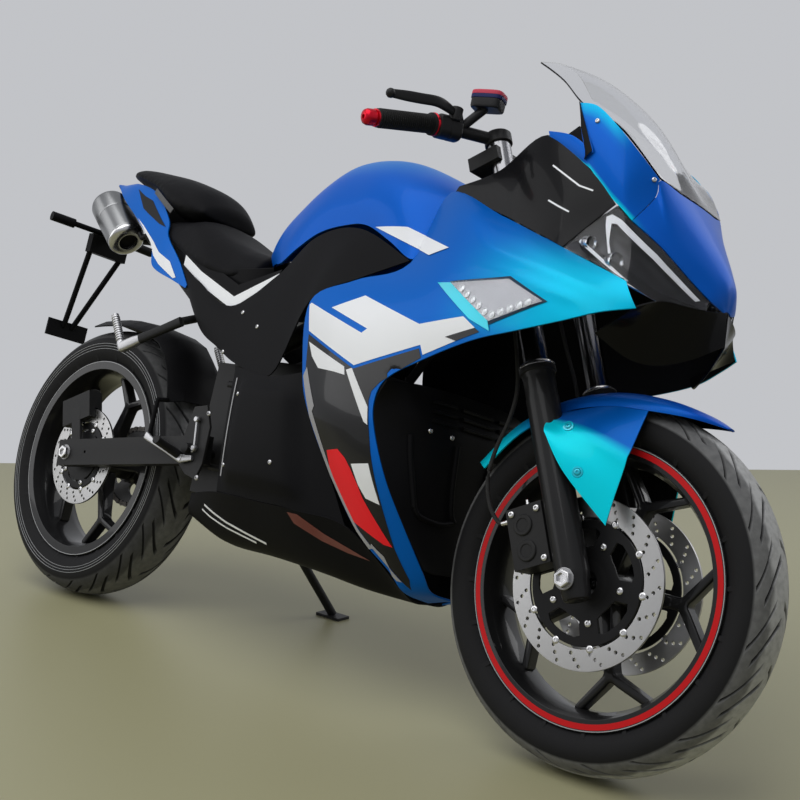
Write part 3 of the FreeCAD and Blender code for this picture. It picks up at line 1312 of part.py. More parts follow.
def rear_plate(reach_low, reach_high, half, low, high):
    corners = [rear_axle + caliper_out * reach_low - caliper_along * half,
               rear_axle + caliper_out * reach_high - caliper_along * half,
               rear_axle + caliper_out * reach_high + caliper_along * half,
               rear_axle + caliper_out * reach_low + caliper_along * half]
    corners = [corner - SIDEWAYS * low for corner in corners]
    return flat(corners).extrude(SIDEWAYS * -(high - low))


body = rear_plate(size("rear_disc_radius") * 0.72, size("rear_disc_radius") * 1.28, half_length,
                  caliper_low, caliper_high - size("seat_gap"))
slot = Part.makeCylinder(size("rear_disc_radius") + size("disc_gap") * 2, slot_half * 2,
                         rear_axle - SIDEWAYS * (size("rear_disc_offset") + slot_half), SIDEWAYS)
bracket = rear_plate(0, size("rear_disc_radius"), size("axle_nut_radius"),
                     caliper_high - size("rim_wall"), caliper_high)
ring_plate = Part.makeCylinder(size("axle_nut_radius") * 1.6, size("rim_wall"),
                               rear_axle - SIDEWAYS * caliper_high, SIDEWAYS)
axle_bore = Part.makeCylinder(size("rear_axle_radius") + size("bearing_gap") / 2,
                              size("rim_wall") * 3,
                              rear_axle - SIDEWAYS * (caliper_high + size("rim_wall")), SIDEWAYS)
free_form("rear_caliper", body.cut(slot).fuse(bracket).fuse(ring_plate).cut(axle_bore))

# Controls: switch housing, lever and, on the right, the fluid reservoir
LEVER_SHARES = [(0.998, 0.190, 1.022), (1.000, 0.240, 1.022), (0.968, 0.325, 1.006)]
RESERVOIR_SHARES = (1.030, 0.150, 1.058)
controls = []
for side in SIDES.values():
    bar_low = bar_root(side) + FORK_UP * size("bar_radius")
    bar_high = place(BAR_INNER_SHARES, side)
    inner = bar_low + (bar_high - bar_low) * 0.62
    outer = bar_high - (bar_high - bar_low).normalize() * size("hose_radius") * 2
    lever = [place(shares, side) for shares in LEVER_SHARES]
    pieces = [rod("grip_radius * 1.25", inner, outer),
              rod("grip_radius * 0.5", inner, lever[0]),
              rod("hose_radius * 1.7", lever[0], lever[1]),
              rod("hose_radius * 1.7", lever[1], lever[2]),
              ball("hose_radius * 1.7", lever[1]),
              ball("hose_radius * 1.7", lever[0])]
    if side == RIGHT:
        cup = place(RESERVOIR_SHARES, side)
        pieces.append(rod("grip_radius * 0.5", inner, cup))
        pieces.append(block("grip_radius * 3.6", "grip_radius * 2.6", "grip_radius * 1.9", cup,
                            Rotation(Vector(0, 0, 1), 15)))
    bore = rod("bar_radius + bearing_gap / 2", bar_low, bar_high)
    controls.append(cut(fused(pieces), bore))
control_pair = doc.addObject("Part::Compound", "Controls")
control_pair.Links = controls
keep(control_pair, "controls")

# Dash behind the screen
dash_turn = Rotation(Vector(0, 1, 0), -35)
dash_centre = stay_end + FORK_UP * size("head_tube_radius") * 1.2
dash = block("head_tube_radius", "fork_half_span * 1.7", "head_tube_radius * 3", dash_centre,
             dash_turn)
dash_sockets = fused([
    rod("cross_tube_radius + seat_gap", head_middle, stay_end + FORK_FORWARD * size("seat_gap")),
    rod("cross_tube_radius * 0.7 + seat_gap", stay_end - SIDEWAYS * crossbar_half,
        stay_end + SIDEWAYS * crossbar_half)])
keep(cut(dash, dash_sockets), "dash")

# Seat base: the tray under both seats
BASE_HALF_ROWS_SHARES = [
    [(-0.055, 0.000, 0.893), (-0.055, 0.045, 0.893), (-0.055, 0.054, 0.955)],
    [(0.060, 0.000, 0.8215), (0.060, 0.070, 0.8215), (0.060, 0.078, 0.890)],
    [(0.150, 0.000, 0.7655), (0.150, 0.080, 0.7655), (0.150, 0.093, 0.818)],
    [(0.250, 0.000, 0.7035), (0.250, 0.090, 0.7035), (0.250, 0.108, 0.774)],
    [(0.360, 0.000, 0.695), (0.360, 0.106, 0.698), (0.360, 0.119, 0.746)],
    [(0.460, 0.000, 0.690), (0.460, 0.106, 0.694), (0.460, 0.114, 0.750)],
    [(0.535, 0.000, 0.730), (0.535, 0.096, 0.735), (0.535, 0.108, 0.756)],
]
BASE_CORE_SHARES = [(0.0, 1.3), (0.5, 1.3), (0.5, 1.4), (0.0, 1.4)]
base = thick([mirrored_row([place(point, LEFT) for point in row]) for row in BASE_HALF_ROWS_SHARES],
             BASE_CORE_SHARES, size("shell_wall"))
free_form("seat_base", clear_of(base, [rider, pillion] + tails))

# Rear end: lamp, plate bracket with indicators
LAMP_CORNER_SHARES = (-0.150, -0.034, 0.944)
lamp_length = size("head_tube_radius") * 0.6
lamp_width = -LAMP_CORNER_SHARES[1] * 2 * UNIT_Y
lamp_height = size("head_tube_radius") * 0.6
tail_lamp = Part.makeBox(lamp_length, lamp_width, lamp_height,
                         Vector(LAMP_CORNER_SHARES[0] * UNIT_X, LAMP_CORNER_SHARES[1] * UNIT_Y,
                                LAMP_CORNER_SHARES[2] * UNIT_Z))
free_form("tail_lamp", clear_of(tail_lamp, tails + [pillion]))
bracket_top = place((RAIL_END_SHARES[0], 0.0, RAIL_END_SHARES[2])) - Vector(
    size("seat_tube_radius") + size("seat_gap"), 0, 0)
bracket_end = place((-0.205, 0.0, 0.844))
bracket_pieces = [
    rod("frame_tube_radius * 0.7", bracket_top, bracket_end),
    ball("frame_tube_radius * 0.7", bracket_end),
    block("frame_tube_radius", "frame_tube_radius * 5.6", "frame_tube_radius * 2.4",
          place((-0.205, 0.0, 0.812))),
    block("disc_thickness", "frame_tube_radius * 6", "frame_tube_radius * 2.2",
          place((-0.292, 0.0, 0.597))),
]
for side in SIDES.values():
    stalk_root = place((-0.207, 0.0, 0.844), side)
    stalk_end = place((-0.237, 0.150, 0.847), side)
    lens_root = stalk_root + (stalk_end - stalk_root) * 0.62
    bracket_pieces.append(rod("hose_radius * 1.9", stalk_root, stalk_end))
    bracket_pieces.append(rod("hose_radius * 3.2", lens_root, stalk_end))
    bracket_pieces.append(rod("hose_radius * 1.9", place((-0.205, 0.045, 0.800), side),
                              place((-0.291, 0.012, 0.605), side)))
keep(fused(bracket_pieces), "plate_bracket")

# Hugger over the rear tyre
HUGGER_ANGLES = [30, 42, 56, 72, 86, 102]
HUGGER_RADIUS_SHARES = [1.07, 1.14, 1.18, 1.12, 1.08, 1.07]
hugger_rows = []
for angle, radius_share in zip(HUGGER_ANGLES, HUGGER_RADIUS_SHARES):
    out = Vector(math.cos(math.radians(angle)), 0, math.sin(math.radians(angle)))
    reach = size("rear_tyre_radius") * radius_share
    width = size("rear_tyre_width") / 2
    hugger_rows.append(mirrored_row([
        rear_axle + out * reach,
        rear_axle + out * reach * 0.99 + SIDEWAYS * width * 0.7,
        rear_axle + out * reach * 0.93 + SIDEWAYS * width * 1.18]))
REAR_CORE_SHARES = [(-0.005, 0.301), (0.005, 0.301), (0.005, 0.311), (-0.005, 0.311)]
hugger = thick(through(hugger_rows, 2), REAR_CORE_SHARES, size("shell_wall"))
arm_slope = (pivot.z - rear_axle.z) / pivot.x
strut_radius = size("hose_radius") * 1.4
for side in SIDES.values():
    edge = hugger_rows[0][-1]
    strut_top = Vector(edge.x, side * size("arm_half_span"), edge.z)
    arm_top = (rear_axle.z + arm_slope * edge.x + size("arm_height") / 2 / math.cos(
        math.atan(arm_slope)) + strut_radius * arm_slope + size("seat_gap"))
    foot = Vector(edge.x, strut_top.y, arm_top)
    hugger = hugger.fuse(Part.makeCylinder(strut_radius, strut_top.z - foot.z, foot))
    reach = Vector(edge.x, side * edge.y * 0.97, edge.z + strut_radius)
    line = reach - strut_top
    hugger = hugger.fuse(Part.makeCylinder(strut_radius, line.Length, strut_top, line))
    hugger = hugger.fuse(Part.makeSphere(strut_radius, strut_top))
free_form("rear_hugger", hugger)

# Footrests: plates on the pivot pin, with the riders' pegs
plate_face = size("arm_half_span") + size("arm_width") / 2 + size("panel_gap") * 6
PLATE_SHARES = [(0.395, 0.345), (0.418, 0.455), (0.455, 0.462), (0.478, 0.420), (0.480, 0.345),
                (0.468, 0.312), (0.435, 0.318)]
footrests = []
pillion_pegs = []
for side in SIDES.values():
    corners = [Vector(x * UNIT_X, side * plate_face, z * UNIT_Z) for x, z in PLATE_SHARES]
    plate = flat(corners).extrude(SIDEWAYS * side * size("rim_wall"))
    bore = Part.makeCylinder(size("pivot_radius") + size("bearing_gap") / 2,
                             size("rim_wall") * 4,
                             pivot + SIDEWAYS * side * (plate_face - size("rim_wall")),
                             SIDEWAYS * side)
    peg_root = Vector(place((0.410, 0, 0)).x, side * (plate_face + size("rim_wall") / 2),
                      place((0, 0, 0.350)).z)
    peg_line = Vector(0.08, side * 0.95, 0.28).normalize()
    peg = Part.makeCylinder(size("peg_radius"), size("peg_length"), peg_root, peg_line)
    footrests.append(plate.cut(bore).fuse(peg))
    stay = place(STAY_END_SHARES, side)
    elbow = place((0.205, 0.140, 0.577), side)
    tip = place((0.162, 0.150, 0.553), side)
    peg_top = place((0.110, 0.150, 0.622), side)
    seat = rod("seat_tube_radius * 0.8 + seat_gap", stay_roots[side],
               stay + (stay - stay_roots[side]).normalize() * size("seat_gap"))
    pillion_pegs.append(cut(fused([
        rod("peg_radius", stay, elbow),
        rod("peg_radius", elbow, tip),
        ball("peg_radius", elbow),
        ball("peg_radius", tip),
        rod("peg_radius", tip, peg_top),
    ]), seat))
free_form("footrests", Part.makeCompound(footrests))
peg_pair = doc.addObject("Part::Compound", "PillionPegs")
peg_pair.Links = pillion_pegs
keep(peg_pair, "pillion_pegs")

doc.recompute()

failed = [piece.Label for piece in doc.Objects
          if "Invalid" in piece.State or "Error" in piece.State]
for piece in finished:
    shape = piece.Shape
    if shape.isNull() or not shape.isValid() or len(shape.Solids) == 0:
        failed.append(piece.Label)
if failed:
    raise RuntimeError("not sound: " + ", ".join(failed))

# The origin goes to the middle of the footprint, on the floor
extent = Part.makeCompound([piece.Shape for piece in finished]).optimalBoundingBox(True, False)
shift = Vector(-(extent.XMin + extent.XMax) / 2, -(extent.YMin + extent.YMax) / 2, -extent.ZMin)
for piece in finished:
    piece.Placement = Placement(shift, Rotation()).multiply(piece.Placement)
doc.recompute()
print("shift", shift)

os.makedirs("parts", exist_ok=True)
for piece in finished:
    piece.Shape.exportStep(os.path.join("parts", piece.Label + ".step"))
print(len(finished), "parts")
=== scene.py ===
import json
import math

import bmesh
import bpy
from mathutils import Matrix, Vector
from mathutils.bvhtree import BVHTree
from mathutils.geometry import delaunay_2d_cdt

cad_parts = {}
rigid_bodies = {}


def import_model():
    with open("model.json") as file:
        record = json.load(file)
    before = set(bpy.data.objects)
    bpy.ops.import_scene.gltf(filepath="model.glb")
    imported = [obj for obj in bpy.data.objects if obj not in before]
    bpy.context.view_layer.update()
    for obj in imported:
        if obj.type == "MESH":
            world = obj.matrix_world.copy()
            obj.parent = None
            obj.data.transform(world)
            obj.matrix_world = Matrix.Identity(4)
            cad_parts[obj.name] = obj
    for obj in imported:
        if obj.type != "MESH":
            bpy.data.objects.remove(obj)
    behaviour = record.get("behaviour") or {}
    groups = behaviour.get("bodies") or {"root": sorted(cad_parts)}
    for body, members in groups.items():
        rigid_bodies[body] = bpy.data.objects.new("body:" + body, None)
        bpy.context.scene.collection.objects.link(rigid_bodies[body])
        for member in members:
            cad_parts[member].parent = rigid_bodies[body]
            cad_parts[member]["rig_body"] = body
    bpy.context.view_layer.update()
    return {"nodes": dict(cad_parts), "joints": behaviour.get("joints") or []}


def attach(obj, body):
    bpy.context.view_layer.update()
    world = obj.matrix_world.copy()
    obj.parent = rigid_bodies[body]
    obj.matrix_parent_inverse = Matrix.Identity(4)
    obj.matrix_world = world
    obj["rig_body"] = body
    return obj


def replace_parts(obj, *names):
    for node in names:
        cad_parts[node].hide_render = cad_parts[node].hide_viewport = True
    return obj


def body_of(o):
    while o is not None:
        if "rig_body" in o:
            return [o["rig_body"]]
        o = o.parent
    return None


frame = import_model()

# Stance
# The bike leans to its left on the side stand. Every piece is drawn upright, in metres, with X forward
# from the rear contact point, Y to the left and Z up, and STANCE then leans it into the row frame.
RIGHT = -1
LEFT = 1
SIDES = {"right": RIGHT, "left": LEFT}
REAR_AXLE = Vector((0, 0, 0.306))
FRONT_AXLE = Vector((1.36, 0, 0.292))
LEAN_DEGREES = 15
lean_turn = Matrix.Rotation(math.radians(-LEAN_DEGREES), 4, "X")
rear_spin = [joint for joint in frame["joints"] if joint["name"] == "rear_wheel_spin"][0]
STANCE = Matrix.Translation(Vector(rear_spin["pos_m"]) - lean_turn @ REAR_AXLE) @ lean_turn
UPRIGHT = STANCE.inverted()

# Side fairings
# Two large moulded plastic shells, 3 mm thick, sprayed in blue under clear lacquer, with a painted cyan
# highlight towards the front and a crease along the flank. They clip to the frame and to the nose.
FAIRING_INNER = [
    (1.068, 0.004, 0.205), (1.068, 0.062, 0.213), (1.066, 0.095, 0.244), (1.042, 0.14, 0.311),
    (1.01, 0.178, 0.385), (0.979, 0.198, 0.463), (0.973, 0.206, 0.509), (0.996, 0.214, 0.548),
    (1.068, 0.222, 0.583), (1.168, 0.23, 0.622), (1.252, 0.232, 0.644), (1.324, 0.224, 0.666),
    (1.376, 0.202, 0.689), (1.418, 0.172, 0.705)]
FAIRING_OUTER = [
    (1.03, 0.02, 0.192), (1.024, 0.085, 0.204), (1.003, 0.112, 0.235), (0.94, 0.14, 0.286),
    (0.866, 0.16, 0.373), (0.793, 0.172, 0.469), (0.754, 0.176, 0.548), (0.735, 0.178, 0.679),
    (0.837, 0.178, 0.723), (0.955, 0.174, 0.76), (0.973, 0.13, 0.903), (1.108, 0.15, 0.856),
    (1.212, 0.168, 0.816), (1.392, 0.174, 0.746)]
FAIRING_BULGE = [0, 0.004, 0.006, 0.006, 0.008, 0.008, 0.008, 0.01, 0.014, 0.02, 0.03, 0.03, 0.024,
    0.004]
PANEL_WALL = 0.003
HALF_GAP = 0.0004
CORE = Vector((0.85, 0, 0.55))


def sums(tree, operation, *inputs):
    """The result of a math node fed by sockets or plain numbers."""
    node = tree.nodes.new("ShaderNodeMath")
    node.operation = operation
    for given, socket in zip(inputs, node.inputs):
        if isinstance(given, float):
            socket.default_value = given
        else:
            tree.links.new(given, socket)
    return node.outputs[0]


def mixed(tree, share, first, second):
    """A colour between two, each a socket or a plain colour, by a share from 0 to 1."""
    node = tree.nodes.new("ShaderNodeMix")
    node.data_type = "RGBA"
    tree.links.new(share, node.inputs[0])
    for given, socket in ((first, node.inputs[6]), (second, node.inputs[7])):
        if isinstance(given, tuple):
            socket.default_value = (*given, 1)
        else:
            tree.links.new(given, socket)
    return node.outputs[2]


def weathered_group():
    """Shader nodes for any surface: drifting colour, worn edges, uneven gloss and a fine grain."""
    group = bpy.data.node_groups.new("weathered_surface", "ShaderNodeTree")
    for label, kind in (("Colour", "Color"), ("Worn colour", "Color"), ("Edge wear", "Float"),
            ("Drift", "Float"), ("Roughness", "Float"), ("Roughness spread", "Float"),
            ("Grain scale", "Float"), ("Grain depth", "Float")):
        group.interface.new_socket(name=label, in_out="INPUT", socket_type="NodeSocket" + kind)
    for label, kind in (("Colour", "Color"), ("Roughness", "Float"), ("Normal", "Vector")):
        group.interface.new_socket(name=label, in_out="OUTPUT", socket_type="NodeSocket" + kind)
    nodes = group.nodes
    link = group.links.new
    given = nodes.new("NodeGroupInput").outputs
    result = nodes.new("NodeGroupOutput").inputs
    place = nodes.new("ShaderNodeTexCoord")
    cloud = nodes.new("ShaderNodeTexNoise")
    cloud.inputs["Scale"].default_value = 9
    cloud.inputs["Detail"].default_value = 6
    link(place.outputs["Object"], cloud.inputs["Vector"])
    grain = nodes.new("ShaderNodeTexNoise")
    grain.inputs["Detail"].default_value = 3
    link(place.outputs["Object"], grain.inputs["Vector"])
    link(given["Grain scale"], grain.inputs["Scale"])
    bump = nodes.new("ShaderNodeBump")
    bump.inputs["Distance"].default_value = 0.001
    link(given["Grain depth"], bump.inputs["Strength"])
    link(grain.outputs["Fac"], bump.inputs["Height"])
    edges = nodes.new("ShaderNodeNewGeometry")
    ramp = nodes.new("ShaderNodeMapRange")
    ramp.inputs["From Min"].default_value = 0.53
    ramp.inputs["From Max"].default_value = 0.62
    link(edges.outputs["Pointiness"], ramp.inputs["Value"])
    wear = sums(group, "MULTIPLY", ramp.outputs["Result"], given["Edge wear"])
    drift = sums(group, "MULTIPLY_ADD", cloud.outputs["Fac"], given["Drift"], wear)
    gloss = sums(group, "MULTIPLY_ADD", cloud.outputs["Fac"], given["Roughness spread"],
        given["Roughness"])
    gloss.node.use_clamp = True
    link(mixed(group, drift, given["Colour"], given["Worn colour"]), result["Colour"])
    link(gloss, result["Roughness"])
    link(bump.outputs["Normal"], result["Normal"])
    return group


WEATHERED = weathered_group()


def finish(label, colour, worn, roughness, metallic=0.0, coat=0.0, drift=0.3, wear=0.3, spread=0.12,
        grain=900, depth=0.08, specular=0.14):
    """A finish made from the weathered surface, with its own values."""
    material = bpy.data.materials.new(label)
    material.use_nodes = True
    nodes = material.node_tree.nodes
    link = material.node_tree.links.new
    shader = nodes["Principled BSDF"]
    shader.inputs["Metallic"].default_value = metallic
    shader.inputs["Coat Weight"].default_value = coat
    shader.inputs["Coat Roughness"].default_value = 0.04
    shader.inputs["Specular IOR Level"].default_value = specular
    surface = nodes.new("ShaderNodeGroup")
    surface.node_tree = WEATHERED
    for socket, value in (("Colour", (*colour, 1)), ("Worn colour", (*worn, 1)), ("Edge wear", wear),
            ("Drift", drift), ("Roughness", roughness), ("Roughness spread", spread),
            ("Grain scale", grain), ("Grain depth", depth)):
        surface.inputs[socket].default_value = value
    link(surface.outputs["Colour"], shader.inputs["Base Color"])
    link(surface.outputs["Roughness"], shader.inputs["Roughness"])
    link(surface.outputs["Normal"], shader.inputs["Normal"])
    return material


def highlighted_paint(label, deep, bright):
    """Metallic paint under lacquer, deep, going to a bright painted highlight with the panel's tone."""
    material = finish(label, deep, deep, 0.36, metallic=0.25, coat=0.06, drift=0.0, wear=0.0, spread=0.06,
        grain=2600, depth=0.03, specular=0.07)
    tree = material.node_tree
    tone = tree.nodes.new("ShaderNodeAttribute")
    tone.attribute_name = "tone"
    shade = mixed(tree, tone.outputs["Fac"], deep, bright)
    surface = [node for node in tree.nodes if node.type == "GROUP"][0]
    tree.links.new(shade, surface.inputs["Colour"])
    tree.links.new(shade, surface.inputs["Worn colour"])
    return material


def smooth_rows(rows, steps):
    """More rows, on a curve through the given ones."""
    result = []
    for i in range(len(rows) - 1):
        before = rows[max(i - 1, 0)]
        after = rows[min(i + 2, len(rows) - 1)]
        for step in range(steps):
            t = step / steps
            result.append([(p1 * 2 + (p2 - p0) * t + (p0 * 2 - p1 * 5 + p2 * 4 - p3) * t ** 2
                + (p1 * 3 - p0 - p2 * 3 + p3) * t ** 3) * 0.5
                for p0, p1, p2, p3 in zip(before, rows[i], rows[i + 1], after)])
    result.append(list(rows[-1]))
    return result


def turned_net(net):
    return [list(row) for row in zip(*net)]


def smooth_net(net, along, across):
    """A net refined on curves both ways."""
    return turned_net(smooth_rows(turned_net(smooth_rows(net, along)), across))


def on_side(point, side):
    return Vector((point[0], side * point[1], point[2]))


def inset(net):
    """The net drawn in by half the gap between panels, along all four edges."""
    net = [list(row) for row in net]

    def nudge(point, neighbour):
        step = neighbour - point
        return point if step.length < HALF_GAP else point + step.normalized() * HALF_GAP

    for row in net:
        row[0] = nudge(row[0], row[1])
        row[-1] = nudge(row[-1], row[-2])
    net[0] = [nudge(point, other) for point, other in zip(net[0], net[1])]
    net[-1] = [nudge(point, other) for point, other in zip(net[-1], net[-2])]
    return net


def span(edge_a, edge_b, bulges, rows, steps, side):
    """A net between two edges, its rows pushed out to the side by a bulge."""
    sections = []
    for a, b, bulge in zip(edge_a, edge_b, bulges):
        row = []
        for i in range(rows + 1):
            v = i / rows
            point = [p + (q - p) * v for p, q in zip(a, b)]
            point[1] += bulge * 4 * v * (1 - v)
            row.append(on_side(point, side))
        sections.append(row)
    return inset(smooth_rows(sections, steps))


def settle(piece):
    """The piece's modifiers become its mesh."""
    bpy.context.view_layer.update()
    evaluated = piece.evaluated_get(bpy.context.evaluated_depsgraph_get())
    mesh = bpy.data.meshes.new_from_object(evaluated)
    piece.modifiers.clear()
    piece.data = mesh
    return mesh


def dressed(piece, material, body, slot, sharp=38):
    """The piece gets its finish, smooth shading with sharp corners, and its body."""
    mesh = piece.data
    mesh.materials.clear()
    mesh.materials.append(material)
    for polygon in mesh.polygons:
        polygon.material_index = 0
        polygon.use_smooth = True
    mesh.set_sharp_from_angle(angle=math.radians(sharp))
    even = piece.modifiers.new("even", "WEIGHTED_NORMAL")
    even.keep_sharp = True
    settle(piece)
    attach(piece, body)
    return piece


def fitted(label, points, faces, material, body, slot, wall=0.0, tone=None, edge=0.0007, core=CORE,
        sharp=38):
    """A piece from points and faces in the upright frame, set in its place on its body."""
    mesh = bpy.data.meshes.new(label)
    mesh.from_pydata(points, [], faces)
    if tone:
        shares = mesh.attributes.new("tone", "FLOAT", "POINT")
        for index, point in enumerate(points):
            share = tone[index] if isinstance(tone, list) else tone(point)
            shares.data[index].value = min(1, max(0, share))
    form = bmesh.new()
    form.from_mesh(mesh)
    bmesh.ops.remove_doubles(form, verts=form.verts, dist=0.00005)
    bmesh.ops.dissolve_degenerate(form, dist=0.00004, edges=form.edges)
    bmesh.ops.recalc_face_normals(form, faces=form.faces)
    if wall:
        facing = sum(face.normal.dot(face.calc_center_median() - core) * face.calc_area()
            for face in form.faces)
        if facing < 0:
            bmesh.ops.reverse_faces(form, faces=form.faces)
    form.to_mesh(mesh)
    form.free()
    mesh.transform(STANCE)
    piece = bpy.data.objects.new(label, mesh)
    bpy.context.scene.collection.objects.link(piece)
    if wall:
        skin = piece.modifiers.new("wall", "SOLIDIFY")
        skin.thickness = wall
        skin.offset = -1
    if edge:
        round_over = piece.modifiers.new("edge", "BEVEL")
        round_over.width = edge
        round_over.segments = 2
        round_over.limit_method = "ANGLE"
        round_over.angle_limit = math.radians(55)
    settle(piece)
    return dressed(piece, material, body, slot, sharp)


def net_piece(label, net, material, body, slot, **more):
    """A piece from a net of points."""
    points = [point for row in net for point in row]
    width = len(net[0])
    faces = []
    for i in range(len(net) - 1):
        for j in range(width - 1):
            corner = i * width + j
            faces.append((corner, corner + 1, corner + width + 1, corner + width))
    return fitted(label, points, faces, material, body, slot, **more)


def lined(label, net, core=CORE, body="chassis"):
    """A black inner face just behind the wall of a painted shell."""
    outward = []
    for i, row in enumerate(net):
        for j in range(len(row)):
            along = net[min(i + 1, len(net) - 1)][j] - net[max(i - 1, 0)][j]
            across = row[min(j + 1, len(row) - 1)] - row[max(j - 1, 0)]
            outward.append(along.cross(across).normalized())
    points = [point for row in net for point in row]
    facing = sum(normal.dot(point - core) for normal, point in zip(outward, points))
    depth = math.copysign(PANEL_WALL + 0.0004, facing)
    width = len(net[0])
    moved = [point - normal * depth for point, normal in zip(points, outward)]
    rows = [moved[start:start + width] for start in range(0, len(moved), width)]
    return net_piece(label, rows, LINER, body, "plastic_black", wall=0.0004, core=core, edge=0)


def rise(low, high, value):
    """Zero below low, one above high, and a soft step between."""
    t = min(1, max(0, (value - low) / (high - low)))
    return t * t * (3 - 2 * t)


def crease(point, start, end, reach, height):
    """How far a pressed crease between two places, in length and height, lifts the skin."""
    a = Vector((start[0], start[1]))
    b = Vector((end[0], end[1]))
    here = Vector((point.x, point.z))
    along = b - a
    t = min(1, max(0, (here - a).dot(along) / along.length_squared))
    away = (here - (a + along * t)).length
    return height * math.exp(-(away / reach) ** 2) * rise(0, 0.25, t) * (1 - rise(0.9, 1, t) * 0.6)


LINER = finish("inner_black", (0.006, 0.006, 0.007), (0.016, 0.016, 0.016), 0.5, drift=0.4, wear=0.2,
    depth=0.2, specular=0.06)
# The blue paint's bright cyan is a painted highlight, set by each panel's tone.
PAINT = highlighted_paint("blue_paint", (0, 0.07, 0.52), (0, 0.76, 0.94))


# Painted highlight: cyan towards the front of the fairing, strongest in a low band there.
def fairing_highlight(point):
    front = rise(1.06, 1.36, point.x)
    low_front = rise(0.62, 0.66, point.z) * (1 - rise(0.74, 0.83, point.z))
    return 0.08 + 0.5 * front * low_front + 0.08 * front


fairings = {}
for name, side in SIDES.items():
    net = span(FAIRING_INNER, FAIRING_OUTER, FAIRING_BULGE, 26, 7, side)
    for row in net[1:-1]:
        for point in row[1:-1]:
            lift = crease(point, (1.08, 0.8), (1.38, 0.715), 0.011, 0.0032)
            lift += crease(point, (1.1, 0.76), (1.35, 0.7), 0.01, 0.0026)
            point.y += side * lift
    fairings[side] = net_piece("side_fairing_skin_" + name, net, PAINT, "chassis", "plastic_blue",
        wall=PANEL_WALL, tone=fairing_highlight)
    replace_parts(fairings[side], "side_fairing_" + name)
    lined("fairing_lining_" + name, net)

# Printed films on the fairings
# Cast vinyl films, cut to outline and laid on the fairings: gloss black, white and red, with a grey
# trim line along the rear edge.
FILM_STEP = 0.009
FILM_BLACK = finish("film_black", (0.006, 0.006, 0.007), (0.05, 0.05, 0.05), 0.16, coat=0.3, drift=0.05,
    wear=0.0, grain=500, depth=0.03)
FILM_WHITE = finish("film_white", (0.93, 0.95, 0.99), (0.7, 0.7, 0.72), 0.26, coat=0.15, drift=0.15,
    wear=0.0, grain=500, depth=0.03)
FILM_RED = finish("film_red", (0.96, 0.016, 0.026), (0.6, 0.008, 0.012), 0.26, coat=0.15, drift=0.15,
    wear=0.0, grain=500, depth=0.03)
FILM_GREY = finish("film_grey", (0.34, 0.34, 0.36), (0.55, 0.55, 0.57), 0.3, coat=0.4, drift=0.35,
    wear=0.0, grain=700, depth=0.05)


def inside(x, z, outline):
    """Whether a place is inside a closed outline."""
    found = False
    for (ax, az), (bx, bz) in zip(outline, outline[1:] + outline[:1]):
        if (az > z) != (bz > z) and x < (bx - ax) * (z - az) / (bz - az) + ax:
            found = not found
    return found


def surface_tree(base, turn=Matrix()):
    """A search tree of a piece's surface."""
    return BVHTree.FromPolygons([turn @ vertex.co for vertex in base.data.vertices],
        [polygon.vertices for polygon in base.data.polygons])


def struck(trees, x, z, side):
    """Where a panel is met from its side, and the direction out of it there."""
    toward = STANCE.to_3x3() @ Vector((0, -side, 0))
    start = STANCE @ Vector((x, side * 0.7, z))
    met = [hit for hit in (tree.ray_cast(start, toward) for tree in trees) if hit[0] is not None]
    if not met:
        guess = STANCE @ Vector((x, side * 0.17, z))
        met = [tree.find_nearest(guess) for tree in trees]
    spot, normal, _, _ = min(met, key=lambda hit: hit[3])
    return spot, -normal if normal.dot(toward) > 0 else normal


def film(label, bases, outline, material, side, slot, lift=0.0006, wall=0.0003, body="chassis",
        step=FILM_STEP):
    """A thin film: an outline in length and height, laid on panels from their side."""
    trees = [surface_tree(base) for base in bases]
    rim = []
    for (ax, az), (bx, bz) in zip(outline, outline[1:] + outline[:1]):
        count = max(1, round(math.hypot(bx - ax, bz - az) / step))
        rim += [Vector((ax + (bx - ax) * i / count, az + (bz - az) * i / count)) for i in range(count)]
    places = list(rim)
    x = min(point.x for point in rim) + step / 2
    while x < max(point.x for point in rim):
        z = min(point.y for point in rim) + step / 2
        while z < max(point.y for point in rim):
            clear = min((Vector((x, z)) - point).length for point in rim)
            if inside(x, z, outline) and clear > step * 0.55:
                places.append(Vector((x, z)))
            z += step
        x += step
    flat, _, faces, *_ = delaunay_2d_cdt(places, [], [list(range(len(rim)))], 1, 1e-7)
    points = []
    for place in flat:
        spot, normal = struck(trees, place.x, place.y, side)
        points.append(UPRIGHT @ (spot + normal * (lift + wall)))
    return fitted(label, points, faces, material, body, slot, wall=wall, edge=0)


